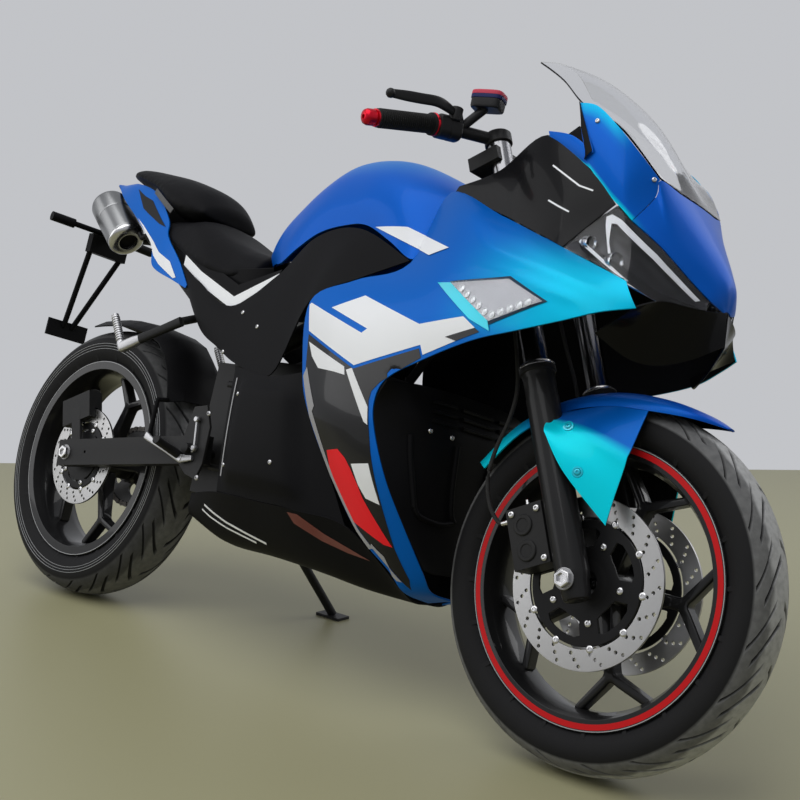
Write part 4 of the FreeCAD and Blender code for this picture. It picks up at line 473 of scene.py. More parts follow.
WHITE_BLOCK = [(0.738, 0.672), (0.757, 0.622), (0.911, 0.565), (1.064, 0.609), (1.072, 0.593),
    (1.139, 0.62), (1.116, 0.625), (1.174, 0.643), (1.146, 0.66), (1.053, 0.643),
    (0.891, 0.691), (0.812, 0.666), (0.927, 0.63), (0.915, 0.622), (0.744, 0.675)]
BLACK_FIELD = [(0.758, 0.616), (0.911, 0.559), (1.062, 0.603), (1.069, 0.588), (1.021, 0.563),
    (0.982, 0.541), (0.964, 0.525), (0.96, 0.509), (0.966, 0.468), (0.976, 0.423),
    (0.988, 0.383), (1.001, 0.341), (1.022, 0.275), (1.044, 0.228), (1.042, 0.212),
    (1.01, 0.24), (0.948, 0.29), (0.875, 0.375), (0.803, 0.47), (0.768, 0.545)]
FILMS = [
    ("white_block", WHITE_BLOCK, FILM_WHITE, 0.0004),
    ("black_field", BLACK_FIELD, FILM_BLACK, 0.0004),
    ("black_barb", [(1.116, 0.625), (1.174, 0.643), (1.184, 0.637), (1.139, 0.62)], FILM_BLACK, 0.0008),
    ("white_chip", [(0.765, 0.602), (0.887, 0.561), (0.891, 0.547), (0.86, 0.551), (0.81, 0.555),
    (0.784, 0.575)], FILM_WHITE, 0.001),
    ("white_strip", [(0.893, 0.556), (0.908, 0.56), (0.96, 0.498), (0.964, 0.468), (0.955, 0.472)],
    FILM_WHITE, 0.001),
    ("red_field", [(0.859, 0.415), (0.892, 0.42), (0.914, 0.407), (0.93, 0.39), (0.948, 0.366),
    (0.959, 0.347), (1.019, 0.276), (1.002, 0.277), (0.936, 0.303), (0.9, 0.336),
    (0.87, 0.379)], FILM_RED, 0.001),
    ("white_patch", [(0.931, 0.399), (0.973, 0.405), (0.998, 0.341), (0.967, 0.347), (0.95, 0.366)],
    FILM_WHITE, 0.001),
    ("grey_trim", [(0.772, 0.556), (0.812, 0.488), (0.806, 0.478), (0.843, 0.423), (0.878, 0.372),
    (0.944, 0.293), (0.99, 0.256), (1.03, 0.222), (1.02, 0.222), (0.982, 0.251),
    (0.94, 0.289), (0.867, 0.375), (0.797, 0.469), (0.763, 0.54)], FILM_GREY, 0.0012),
]
for name, side in SIDES.items():
    for label, outline, material, lift in FILMS:
        film(label + "_" + name, [fairings[side]], outline, material, side, "plastic_blue", lift=lift)

# Turn lamps
# A clear four-sided lens in each fairing, over a bright tray with two rows of small lights, in a
# dark rubber frame, with a bevel below it in cyan as a painted highlight.
TURN_LAMP = [(1.1, 0.715), (1.219, 0.725), (1.289, 0.693), (1.199, 0.655)]
TURN_BEVEL = [(1.066, 0.716), (1.098, 0.716), (1.197, 0.656), (1.204, 0.64), (1.16, 0.656)]
LIGHT_ROW = [(1.128, 0.7055), (1.143, 0.6965), (1.158, 0.6875), (1.173, 0.6785), (1.188, 0.6695),
    (1.203, 0.6655), (1.219, 0.6715), (1.235, 0.6775), (1.251, 0.6835), (1.265, 0.6895)]


def clear(label, colour, roughness, grain=300, depth=0.01):
    """Clear plastic with faint scuffs."""
    material = finish(label, colour, colour, roughness, drift=0.0, wear=0.0, spread=0.04, grain=grain,
        depth=depth)
    shader = material.node_tree.nodes["Principled BSDF"]
    shader.inputs["Transmission Weight"].default_value = 1.0
    shader.inputs["IOR"].default_value = 1.22
    return material


def spun(profile, origin, axis, count=24, closed=False):
    """A form turned about an axis, from (distance along it, radius) pairs."""
    axis = Vector(axis).normalized()
    aside = axis.orthogonal().normalized()
    across = axis.cross(aside)
    points = []
    for i in range(count):
        angle = 2 * math.pi * i / count
        out = aside * math.cos(angle) + across * math.sin(angle)
        points += [Vector(origin) + axis * along + out * radius for along, radius in profile]
    width = len(profile)
    faces = []
    for i in range(count):
        k = (i + 1) % count
        for j in range(width if closed else width - 1):
            m = (j + 1) % width
            faces.append((i * width + j, i * width + m, k * width + m, k * width + j))
    return points, faces


def merged(forms):
    """Several forms as one list of points and one of faces."""
    points = []
    faces = []
    for form_points, form_faces in forms:
        base = len(points)
        points += form_points
        faces += [tuple(base + index for index in face) for face in form_faces]
    return points, faces


def surface_at(bases, x, z, side):
    """The place and outward direction of a panel, seen from its side, in the upright frame."""
    spot, normal = struck([surface_tree(base) for base in bases], x, z, side)
    return UPRIGHT @ spot, (UPRIGHT.to_3x3() @ normal).normalized()


LENS = clear("lamp_lens", (0.93, 0.94, 0.95), 0)
TRAY = finish("lamp_tray", (0.42, 0.42, 0.44), (0.2, 0.2, 0.22), 0.28, metallic=0.8, drift=0.6,
    wear=0.2, grain=90, depth=0.5)
LAMP_SEAL = finish("lamp_seal", (0.02, 0.05, 0.09), (0.05, 0.06, 0.08), 0.5, drift=0.2, wear=0.1)
BEAD = finish("lamp_bead", (0.8, 0.81, 0.83), (0.6, 0.61, 0.63), 0.18, metallic=0.4, drift=0.2,
    wear=0.1)
# Cyan that stands for light caught by the blue paint: a painted highlight, on the lamp bevels and mudguard
# bolts.
CYAN_HIGHLIGHT = finish("cyan_painted_highlight", (0, 0.58, 0.74), (0, 0.48, 0.64), 0.32, metallic=0.35, coat=0.9,
    drift=0.2, wear=0.1, spread=0.06, grain=2600, depth=0.03)
for name, side in SIDES.items():
    wide = [(1.094, 0.7185), (1.22, 0.7295), (1.297, 0.6935), (1.2, 0.6495)]
    film("turn_seal_" + name, [fairings[side]], wide, LAMP_SEAL, side, "plastic_blue", lift=0.0008,
        wall=0.0006)
    film("turn_tray_" + name, [fairings[side]], TURN_LAMP, TRAY, side, "lamp_glass", lift=0.0016,
        wall=0.0004)
    film("turn_bevel_" + name, [fairings[side]], TURN_BEVEL, CYAN_HIGHLIGHT, side, "plastic_blue",
        lift=0.0012, wall=0.0008)
    lens = film("turn_lens_" + name, [fairings[side]], TURN_LAMP, LENS, side, "lamp_glass", lift=0.0055,
        wall=0.001)
    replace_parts(lens, "turn_lamps")
    beads = []
    for x, z in LIGHT_ROW:
        spot, normal = surface_at([fairings[side]], x, z, side)
        beads.append(spun([(0.0016, 0), (0.0016, 0.0052), (0.003, 0.0048), (0.0036, 0.003),
            (0.004, 0)], spot, normal, 10))
        beads.append(spun([(0.0018, 0.0052), (0.0018, 0.0066), (0.0034, 0.0062), (0.0034, 0.0052)],
            spot, normal, 10, closed=True))
    fitted("turn_beads_" + name, *merged(beads), BEAD, "chassis", "lamp_glass", edge=0)

# Black panels
# Unpainted black plastic: panels under the tank and round the motor, the inner panels beside the dash,
# the chin, the belly pan and the curved inner wall behind the front wheel.
PLASTIC = finish("black_plastic", (0.005, 0.005, 0.006), (0.014, 0.014, 0.015), 0.38, drift=0.4,
    wear=0.25, spread=0.16, grain=1500, depth=0.1, specular=0.05)
GLOSS_BLACK = finish("gloss_black_plastic", (0.005, 0.005, 0.006), (0.02, 0.02, 0.02), 0.18, coat=0.1,
    drift=0.1, wear=0.05, spread=0.08, grain=700, depth=0.03, specular=0.06)
SIDE_TOP = [
    (0.25, 0.115, 0.755), (0.33, 0.124, 0.718), (0.459, 0.13, 0.668), (0.575, 0.128, 0.737),
    (0.665, 0.133, 0.815), (0.791, 0.146, 0.829), (0.952, 0.173, 0.764)]
SIDE_LOW = [
    (0.287, 0.112, 0.695), (0.369, 0.12, 0.615), (0.452, 0.135, 0.58), (0.541, 0.15, 0.548),
    (0.664, 0.168, 0.535), (0.733, 0.178, 0.678), (0.836, 0.178, 0.724)]
SIDE_BULGE = [0, 0.004, 0.006, 0.008, 0.01, 0.006, 0]
COVER_TOP = [(0.541, 0.15, 0.545), (0.6, 0.16, 0.538), (0.664, 0.168, 0.532), (0.752, 0.175, 0.546)]
COVER_LOW = [(0.557, 0.14, 0.299), (0.668, 0.152, 0.3), (0.785, 0.157, 0.299), (0.91, 0.14, 0.29)]
COVER_BULGE = [0.004, 0.01, 0.01, 0.002]
INNER_TOP = [
    (0.99, 0.132, 0.913), (1.081, 0.142, 0.937), (1.176, 0.158, 0.99), (1.275, 0.16, 0.928),
    (1.33, 0.15, 0.874)]
INNER_LOW = [
    (0.982, 0.131, 0.901), (1.108, 0.15, 0.857), (1.15, 0.158, 0.841), (1.212, 0.168, 0.817),
    (1.262, 0.172, 0.796)]
CHIN_TOP = [
    (1.414, 0.171, 0.706), (1.428, 0.124, 0.73), (1.45, 0.085, 0.734), (1.465, 0.046, 0.738),
    (1.474, 0.002, 0.747)]
CHIN_LOW = [
    (1.345, 0.16, 0.665), (1.38, 0.11, 0.64), (1.41, 0.07, 0.64), (1.445, 0.035, 0.66),
    (1.48, 0.002, 0.692)]
side_panels = {}
covers = {}
inner_panels = {}
for name, side in SIDES.items():
    net = span(SIDE_TOP, SIDE_LOW, SIDE_BULGE, 12, 8, side)
    side_panels[side] = net_piece("side_panel_skin_" + name, net, PLASTIC, "chassis", "plastic_black",
        wall=PANEL_WALL)
    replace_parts(side_panels[side], "side_panel_" + name)
    net = span(COVER_TOP, COVER_LOW, COVER_BULGE, 20, 10, side)
    for row in net[1:-1]:
        for point in row[1:-1]:
            raised = rise(0.57, 0.592, point.x)
            raised *= 1 - rise(0.745, 0.79, point.x + (point.z - 0.42) * 0.3)
            raised *= rise(0.315, 0.34, point.z) * (1 - rise(0.5, 0.525, point.z))
            point.y += side * 0.009 * raised
    covers[side] = net_piece("lower_cover_skin_" + name, net, PLASTIC, "chassis", "plastic_black",
        wall=PANEL_WALL)
    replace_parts(covers[side], "lower_covers")
    net = span(INNER_TOP, INNER_LOW, [0, 0.003, 0.005, 0.004, 0], 8, 8, side)
    inner_panels[side] = net_piece("inner_panel_skin_" + name, net, GLOSS_BLACK, "chassis",
        "plastic_black", wall=PANEL_WALL)
    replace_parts(inner_panels[side], "inner_panels")
    net = span(CHIN_TOP, CHIN_LOW, [0, 0.004, 0.004, 0.003, 0], 8, 8, side)
    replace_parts(net_piece("chin_skin_" + name, net, GLOSS_BLACK, "chassis", "plastic_black",
        wall=PANEL_WALL), "chin_panels")

BELLY_HALF_ROWS = [
    [(0.43, 0, 0.232), (0.42, 0.076, 0.24), (0.424, 0.088, 0.284)],
    [(0.54, 0, 0.205), (0.54, 0.085, 0.212), (0.558, 0.14, 0.298)],
    [(0.68, 0, 0.203), (0.68, 0.09, 0.211), (0.7, 0.153, 0.299)],
    [(0.8, 0, 0.2), (0.8, 0.086, 0.206), (0.8, 0.157, 0.299)],
    [(0.905, 0, 0.193), (0.911, 0.07, 0.197), (0.915, 0.14, 0.29)],
    [(1.014, 0, 0.187), (1.016, 0.04, 0.188), (1.018, 0.082, 0.205)],
]
DUCT_HALF_ROWS = [
    [(1.02, 0, 0.56), (1.022, 0.08, 0.558), (1.01, 0.15, 0.555), (0.998, 0.214, 0.545)],
    [(1.04, 0, 0.5), (1.04, 0.08, 0.5), (1.02, 0.15, 0.503), (0.975, 0.206, 0.508)],
    [(1.045, 0, 0.455), (1.043, 0.08, 0.455), (1.022, 0.14, 0.458), (0.981, 0.198, 0.463)],
    [(1.045, 0, 0.38), (1.045, 0.07, 0.38), (1.035, 0.125, 0.382), (1.011, 0.178, 0.386)],
    [(1.048, 0, 0.31), (1.048, 0.05, 0.31), (1.048, 0.095, 0.311), (1.043, 0.14, 0.312)],
    [(1.055, 0, 0.245), (1.056, 0.03, 0.245), (1.06, 0.06, 0.245), (1.066, 0.095, 0.25)],
]


def mirrored(half_rows):
    """Full rows from half rows that start on the middle plane."""
    rows = []
    for half in half_rows:
        right = [on_side(point, RIGHT) for point in reversed(half[1:])]
        rows.append(right + [on_side(point, LEFT) for point in half])
    return rows


belly = net_piece("belly_pan_skin", inset(smooth_net(mirrored(BELLY_HALF_ROWS), 8, 6)), PLASTIC,
    "chassis", "plastic_black", wall=PANEL_WALL)
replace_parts(belly, "belly_pan")
duct = net_piece("duct_wall_skin", inset(smooth_net(mirrored(DUCT_HALF_ROWS), 6, 6)), PLASTIC, "chassis",
    "plastic_black", wall=PANEL_WALL, core=Vector((0.7, 0, 0.4)))
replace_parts(duct, "duct_panel")

# Nose
# One painted cowl over the headlamps, with a forked wing on each side that carries the screen. The
# wings are deep blue at their middle, with a painted cyan highlight along both edges; the cowl has one
# along its edges too.
COWL_HALF_ROWS = [
    [(1.392, 0, 0.918), (1.386, 0.06, 0.92), (1.372, 0.105, 0.928), (1.372, 0.108, 0.9),
    (1.357, 0.138, 0.851)],
    [(1.425, 0, 0.87), (1.42, 0.05, 0.866), (1.41, 0.085, 0.85), (1.405, 0.1, 0.83),
    (1.4, 0.1105, 0.8185)],
    [(1.462, 0, 0.815), (1.458, 0.025, 0.812), (1.452, 0.048, 0.8), (1.446, 0.06, 0.785),
    (1.4405, 0.0685, 0.7765)],
    [(1.474, 0, 0.785), (1.474, 0.014, 0.782), (1.471, 0.026, 0.772), (1.468, 0.035, 0.762),
    (1.4645, 0.0425, 0.7535)],
    [(1.474, 0, 0.748), (1.474, 0.005, 0.747), (1.474, 0.008, 0.746), (1.474, 0.01, 0.745),
    (1.473, 0.013, 0.744)],
]
WING_TOP = [
    (1.178, 0.16, 0.996), (1.23, 0.164, 0.985), (1.277, 0.165, 0.956), (1.23, 0.164, 1.04),
    (1.265, 0.16, 1.034), (1.308, 0.15, 0.999), (1.348, 0.13, 0.958), (1.371, 0.106, 0.929)]
WING_LOW = [
    (1.182, 0.159, 0.986), (1.225, 0.16, 0.96), (1.262, 0.16, 0.937), (1.276, 0.16, 0.928),
    (1.3, 0.156, 0.903), (1.32, 0.152, 0.883), (1.338, 0.146, 0.868), (1.354, 0.14, 0.854)]


# Painted highlight: cyan along both edges of the cowl.
def cowl_highlight(point):
    return 0.04 + 0.9 * rise(0.88, 1, abs(point.y) / max(0.02, (0.93 - (point.x - 1.39) * 3.2) * 0.145))


cowl_net = smooth_net(mirrored(COWL_HALF_ROWS), 8, 4)
cowl_edge = cowl_net[0][24:]
cowl = net_piece("nose_cowl_skin", inset(cowl_net), PAINT, "chassis", "plastic_blue", wall=PANEL_WALL,
    tone=cowl_highlight)
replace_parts(cowl, "nose_cowl")
wings = {}
for name, side in SIDES.items():
    rows = []
    for top, low, bulge in zip(WING_TOP, WING_LOW, (0, 0.002, 0.003, 0.004, 0.005, 0.005, 0.004, 0.001)):
        row = []
        for i in range(11):
            v = i / 10
            point = [p + (q - p) * v for p, q in zip(top, low)]
            point[1] += bulge * 4 * v * (1 - v)
            row.append(on_side(point, side))
        rows.append(row)
    rows[-1] = []
    for i in range(11):
        share = 0.8 * i
        start = min(int(share), 7)
        meeting = cowl_edge[start].lerp(cowl_edge[start + 1], share - start)
        rows[-1].append(on_side(meeting, side))
    net = inset(smooth_rows(rows[:3], 6) + smooth_rows(rows[3:], 8))
    width = len(net[0])
    # Painted highlight: the tone is cyan along the wing's lower edge and, over its middle rows, along its
    # upper edge.
    tones = {}
    for i, row in enumerate(net):
        for j, point in enumerate(row):
            v = j / (width - 1)
            edge_highlight = rise(0.9, 1, v) * 0.9
            facet = rise(0.25, 0, v) * rise(12, 16, i) * (1 - rise(26, 34, i)) * 0.5
            tones[tuple(round(value, 5) for value in point)] = 0.05 + edge_highlight + facet

    def wing_highlight(point, tones=tones):
        return tones.get(tuple(round(value, 5) for value in point), 0.3)

    wings[side] = net_piece("nose_wing_skin_" + name, net, PAINT, "chassis", "plastic_blue",
        wall=PANEL_WALL, tone=wing_highlight)
    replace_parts(wings[side], "nose_cowl")
    lined("wing_lining_" + name, net)

# Windscreen
# A clear screen of 3 mm moulded plastic, faintly smoky, bolted to the nose wings.
SCREEN_HALF_ROWS = [
    [(1.085, 0, 1.178), (1.08, 0.04, 1.172), (1.074, 0.088, 1.155)],
    [(1.175, 0, 1.14), (1.168, 0.06, 1.13), (1.154, 0.118, 1.104)],
    [(1.265, 0, 1.075), (1.255, 0.075, 1.063), (1.232, 0.15, 1.042)],
    [(1.335, 0, 0.995), (1.325, 0.072, 0.99), (1.309, 0.149, 1.001)],
    [(1.39, 0, 0.921), (1.385, 0.06, 0.923), (1.372, 0.105, 0.931)],
]
SCREEN = clear("clear_screen", (0.9, 0.905, 0.92), 0)
screen = net_piece("screen_sheet", inset(smooth_net(mirrored(SCREEN_HALF_ROWS), 10, 8)), SCREEN,
    "chassis", "screen_glass", wall=PANEL_WALL)
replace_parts(screen, "windscreen")

# Headlamps
# Each lamp is a clear lens over a black bowl with a white light bar folded like a V and two projectors
# in chrome rings. The lens takes the place of the plain lamp solid.
LAMP_TOP = [
    (1.332, 0.149, 0.872), (1.357, 0.138, 0.85), (1.4, 0.11, 0.818), (1.44, 0.068, 0.776),
    (1.464, 0.042, 0.753)]
LAMP_LOW = [
    (1.264, 0.172, 0.795), (1.345, 0.174, 0.765), (1.392, 0.168, 0.744), (1.425, 0.125, 0.728),
    (1.462, 0.046, 0.736)]
LAMP_BULGE = [0.004, 0.008, 0.008, 0.006, 0]
BOWL_DEPTH = 0.022
BOWL = finish("lamp_bowl", (0.014, 0.014, 0.016), (0.06, 0.06, 0.07), 0.16, metallic=0.4,
    wear=0.1, grain=160, depth=0.01)
CHROME = finish("bright_reflector", (0.72, 0.73, 0.75), (0.55, 0.56, 0.58), 0.1, metallic=1.0,
    wear=0.2, grain=200, depth=0.05)
LIGHT_BAR = finish("light_bar", (0.86, 0.87, 0.9), (0.75, 0.76, 0.8), 0.35, drift=0.1, wear=0.0)
LIGHT_BAR_EDGE = [(1.32, 0.853), (1.328, 0.858), (1.345, 0.851), (1.402, 0.806), (1.456, 0.752),
    (1.453, 0.748), (1.402, 0.7965), (1.341, 0.843), (1.332, 0.843), (1.34, 0.811),
    (1.355, 0.781), (1.35, 0.781), (1.324, 0.838)]
LAMP_TRIM = [(1.29, 0.812), (1.342, 0.779), (1.391, 0.749), (1.389, 0.745), (1.34, 0.774), (1.288, 0.807)]
PROJECTORS = [(1.372, 0.778, 0.014), (1.322, 0.806, 0.011)]
for name, side in SIDES.items():
    net = span(LAMP_TOP, LAMP_LOW, LAMP_BULGE, 14, 9, side)
    lens = net_piece("lamp_lens_" + name, net, LENS, "chassis", "lamp_glass", wall=0.0022)
    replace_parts(lens, "headlamps")
    film("light_bar_" + name, [lens], LIGHT_BAR_EDGE, LIGHT_BAR, side, "lamp_glass", lift=-0.005,
        wall=0.0008, step=0.006)
    film("lamp_trim_" + name, [lens], LAMP_TRIM, LIGHT_BAR, side, "lamp_glass", lift=-0.0046, wall=0.0006,
        step=0.006)
    for x, z, radius in PROJECTORS:
        spot, normal = surface_at([lens], x, z, side)
        face = Vector((0.9, side * 0.4, -0.05)).normalized()
        sunk = spot - face * 0.015
        ring = [(-0.012, radius), (0, radius), (0.002, radius * 0.94), (0, radius * 0.86),
            (-0.005, radius * 0.8), (-0.012, radius * 0.8)]
        eye = [(-0.006, radius * 0.8), (-0.004, radius * 0.74), (-0.001, radius * 0.5),
            (0.0005, radius * 0.25), (0.001, 0)]
        fitted("lamp_ring_%s_%d" % (name, round(x * 1000)), *spun(ring, sunk, face, 40, closed=True),
            CHROME, "chassis", "lamp_glass", edge=0)
        fitted("lamp_eye_%s_%d" % (name, round(x * 1000)), *spun(eye, sunk, face, 40), LENS, "chassis",
            "lamp_glass", edge=0)
    bowl = []
    last_row = len(net) - 1
    last_column = len(net[0]) - 1
    for i, row in enumerate(net):
        sunk = []
        for j, point in enumerate(row):
            depth = min(1, 6 * min(i / last_row, 1 - i / last_row, 0.5)) * min(1,
                4 * min(j / last_column, 1 - j / last_column))
            inward = (Vector((1.25, 0, 0.8)) - point).normalized()
            sunk.append(point + inward * (0.0032 + BOWL_DEPTH * depth))
        bowl.append(sunk)
    net_piece("lamp_bowl_" + name, bowl, BOWL, "chassis", "lamp_glass", wall=0.001, edge=0)

# Tank cover
# A painted shell over the battery space, crowned on top, with hollows for the rider's knees, and a
# white film stripe on each flank that runs on to the fairing.
TANK_STATIONS = [
    (0.478, [(0, 0.83), (0.035, 0.825), (0.062, 0.805), (0.07, 0.79), (0.06, 0.77)]),
    (0.52, [(0, 0.89), (0.045, 0.882), (0.085, 0.845), (0.1, 0.8), (0.092, 0.768)]),
    (0.565, [(0, 0.935), (0.05, 0.925), (0.094, 0.88), (0.115, 0.815), (0.118, 0.765)]),
    (0.61, [(0, 0.966), (0.055, 0.957), (0.1, 0.912), (0.123, 0.85), (0.126, 0.793)]),
    (0.665, [(0, 0.992), (0.058, 0.984), (0.105, 0.94), (0.13, 0.88), (0.131, 0.823)]),
    (0.73, [(0, 1), (0.06, 0.992), (0.112, 0.95), (0.138, 0.89), (0.138, 0.836)]),
    (0.8, [(0, 0.995), (0.065, 0.984), (0.12, 0.945), (0.147, 0.89), (0.146, 0.836)]),
    (0.88, [(0, 0.968), (0.07, 0.957), (0.122, 0.925), (0.152, 0.872), (0.16, 0.803)]),
    (0.95, [(0, 0.935), (0.07, 0.926), (0.112, 0.904), (0.14, 0.85), (0.17, 0.768)]),
    (0.963, [(0, 0.922), (0.07, 0.914), (0.108, 0.896), (0.132, 0.85), (0.145, 0.79)]),
]
TANK_SHELL = 0.004


def drawn_in(row, shares):
    """Rows that close in on the middle of a row."""
    middle = sum(row, Vector()) / len(row)
    return [[middle + (point - middle) * share for point in row] for share in shares]


tank_net = smooth_net(mirrored([[(x, w, z) for w, z in half] for x, half in TANK_STATIONS]), 8, 6)
tank_net = drawn_in(tank_net[0], (0, 0.5, 0.9)) + tank_net + drawn_in(tank_net[-1], (0.97, 0.6, 0.2, 0))
# The tone rises a little on the crown: a painted highlight on the top of the tank.
tank = net_piece("tank_shell", tank_net, PAINT, "chassis", "plastic_blue",
    wall=TANK_SHELL, tone=lambda point: 0.05 + 0.1 * rise(0.93, 0.99, point.z),
    core=Vector((0.72, 0, 0.8)))
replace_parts(tank, "tank")
for name, side in SIDES.items():
    film("tank_stripe_" + name, [tank, fairings[side]],
        [(0.833, 0.83), (0.916, 0.829), (1.058, 0.781), (1.008, 0.77)], FILM_WHITE, side,
        "plastic_blue", lift=0.0012)

# Tail
# Painted side covers of the tail, one per side, over the rear of the seat base.
TAIL_ROWS = [
    [(-0.16, 0, 0.968), (-0.158, 0.022, 0.966), (-0.151, 0.046, 0.96)],
    [(-0.06, 0.055, 0.958), (-0.07, 0.065, 0.945), (-0.08, 0.072, 0.916)],
    [(0.057, 0.08, 0.925), (0.045, 0.088, 0.89), (0.026, 0.093, 0.856)],
    [(0.149, 0.1, 0.857), (0.13, 0.104, 0.825), (0.114, 0.105, 0.797)],
    [(0.172, 0.108, 0.816), (0.158, 0.111, 0.78), (0.147, 0.112, 0.745)],
    [(0.239, 0.115, 0.761), (0.238, 0.117, 0.737), (0.237, 0.117, 0.715)],
    [(0.289, 0.118, 0.708), (0.288, 0.118, 0.704), (0.286, 0.118, 0.7)],
]
tails = {}
for name, side in SIDES.items():
    net = inset(smooth_net([[on_side(point, side) for point in row] for row in TAIL_ROWS], 8, 4))
    tails[side] = net_piece("tail_skin_" + name, net, PAINT, "chassis", "plastic_blue", wall=PANEL_WALL,
        tone=lambda point: 0.08, core=Vector((0.1, 0, 0.85)))
    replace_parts(tails[side], "tail_cowl")
    lined("tail_lining_" + name, net, Vector((0.1, 0, 0.85)))

# Seats
# Foam pads under black grained vinyl, stretched over and stapled beneath: a low pad for the rider and
# a narrow raised pad for the passenger, each on its own board.
SEAT_STATIONS = [
    (0.12, [(0, 0.868), (0.06, 0.864), (0.09, 0.845), (0.092, 0.818), (0, 0.815)]),
    (0.2, [(0, 0.866), (0.068, 0.86), (0.098, 0.838), (0.102, 0.788), (0, 0.785)]),
    (0.26, [(0, 0.868), (0.076, 0.858), (0.107, 0.828), (0.111, 0.764), (0, 0.76)]),
    (0.33, [(0, 0.836), (0.084, 0.828), (0.116, 0.8), (0.118, 0.74), (0, 0.74)]),
    (0.4, [(0, 0.808), (0.08, 0.802), (0.113, 0.775), (0.117, 0.728), (0, 0.728)]),
    (0.44, [(0, 0.798), (0.07, 0.793), (0.106, 0.768), (0.114, 0.732), (0, 0.732)]),
    (0.474, [(0, 0.795), (0.05, 0.79), (0.082, 0.775), (0.095, 0.745), (0, 0.745)]),
]
PILLION_STATIONS = [
    (-0.118, [(0, 0.992), (0.02, 0.99), (0.034, 0.984), (0.02, 0.976), (0, 0.975)]),
    (-0.06, [(0, 0.999), (0.045, 0.993), (0.07, 0.978), (0.047, 0.966), (0, 0.956)]),
    (0.05, [(0, 0.983), (0.058, 0.976), (0.094, 0.95), (0.072, 0.93), (0, 0.905)]),
    (0.13, [(0, 0.968), (0.062, 0.96), (0.105, 0.925), (0.094, 0.892), (0, 0.872)]),
    (0.2, [(0, 0.944), (0.058, 0.935), (0.1, 0.9), (0.09, 0.872), (0, 0.868)]),
    (0.24, [(0, 0.91), (0.045, 0.904), (0.078, 0.885), (0.072, 0.873), (0, 0.87)]),
]
PAD_FULLNESS = 0.985
VINYL = finish("seat_vinyl", (0.006, 0.006, 0.007), (0.014, 0.014, 0.016), 0.44, drift=0.4, wear=0.1,
    grain=1100, depth=0.35, specular=0.05)


def rounded_ring(ring, steps):
    """A closed ring with more points, on a curve through the given ones."""
    count = len(ring)
    rows = smooth_rows([[point] for point in ring[-2:] + ring + ring[:2]], steps)
    return [row[0] for row in rows[2 * steps:(2 + count) * steps]]


def pad(label, stations, body, node):
    """A stuffed pad: a closed form from rings, blown up a little by cloth simulation."""
    rings = []
    for x, half in stations:
        right = [Vector((x, -w, z)) for w, z in half]
        left = [Vector((x, w, z)) for w, z in reversed(half[1:-1])]
        rings.append(right + left)
    rings = [rounded_ring(ring, 3) for ring in smooth_rows(rings, 5)]
    shrunk = []
    for ring in rings:
        middle = sum(ring, Vector()) / len(ring)
        shrunk.append([middle + (point - middle) * PAD_FULLNESS for point in ring])
    points = [point for ring in shrunk for point in ring]
    width = len(shrunk[0])
    faces = []
    for i in range(len(shrunk) - 1):
        for j in range(width):
            k = (j + 1) % width
            faces.append((i * width + j, i * width + k, (i + 1) * width + k, (i + 1) * width + j))
    faces.append(tuple(range(width)))
    faces.append(tuple(reversed(range(len(points) - width, len(points)))))
    piece = fitted(label, points, faces, VINYL, body, "seat_vinyl", edge=0)
    grid = piece.modifiers.new("grid", "REMESH")
    grid.mode = "VOXEL"
    grid.voxel_size = 0.0055
    settle(piece)
    rest = [vertex.co.copy() for vertex in piece.data.vertices]
    cloth = piece.modifiers.new("cloth", "CLOTH")
    cloth.settings.use_pressure = True
    cloth.settings.uniform_pressure_force = 4
    cloth.settings.effector_weights.gravity = 0
    cloth.point_cache.frame_start = 1
    cloth.point_cache.frame_end = 20
    for moment in range(1, 21):
        bpy.context.scene.frame_set(moment)
    puffed = piece.evaluated_get(bpy.context.evaluated_depsgraph_get()).data
    moved = [vertex.co.copy() for vertex in puffed.vertices]
    piece.modifiers.clear()
    bpy.context.scene.frame_set(1)
    for vertex, start, end in zip(piece.data.vertices, rest, moved):
        step = end - start
        if step.length > 0.002:
            step = step.normalized() * 0.002
        vertex.co = start + step
    relax = piece.modifiers.new("relax", "SMOOTH")
    relax.iterations = 5
    finer = piece.modifiers.new("finer", "SUBSURF")
    finer.levels = 1
    finer.render_levels = 1
    settle(piece)
    dressed(piece, VINYL, body, "seat_vinyl", sharp=180)
    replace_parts(piece, node)


pad("rider_pad", SEAT_STATIONS, "chassis", "seat_rider")
pad("passenger_pad", PILLION_STATIONS, "chassis", "seat_pillion")

# Seat base
# The moulded black tray under both seats, with a sharp bend along its lower edge.
BASE_HALF_ROWS = [
    [(-0.055, 0, 0.893), (-0.055, 0.045, 0.893), (-0.055, 0.054, 0.955)],
    [(0.06, 0, 0.8215), (0.06, 0.07, 0.8215), (0.06, 0.078, 0.89)],
    [(0.15, 0, 0.7655), (0.15, 0.08, 0.7655), (0.15, 0.093, 0.818)],
    [(0.25, 0, 0.7035), (0.25, 0.09, 0.7035), (0.25, 0.108, 0.774)],
    [(0.36, 0, 0.695), (0.36, 0.106, 0.698), (0.36, 0.119, 0.746)],
    [(0.46, 0, 0.69), (0.46, 0.106, 0.694), (0.46, 0.114, 0.75)],
    [(0.535, 0, 0.73), (0.535, 0.096, 0.735), (0.535, 0.108, 0.756)],
]
base_net = [[Vector(point) for point in row] for row in mirrored(BASE_HALF_ROWS)]
base_net = smooth_rows(base_net, 6)
seat_tray = net_piece("seat_tray_skin", base_net, PLASTIC, "chassis", "plastic_black", wall=PANEL_WALL,
    core=Vector((0.25, 0, 1.35)), edge=0.0015)
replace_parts(seat_tray, "seat_base")

# Tyres
# Black rubber on a round section, with curved slanting grooves in the tread. The tread is scuffed
# grey, palest round its middle, and made paler as a painted highlight where it faces the light; the rear
# tyre carries three thin pale lines on its wall.
GROOVE_DEPTH = 0.0045


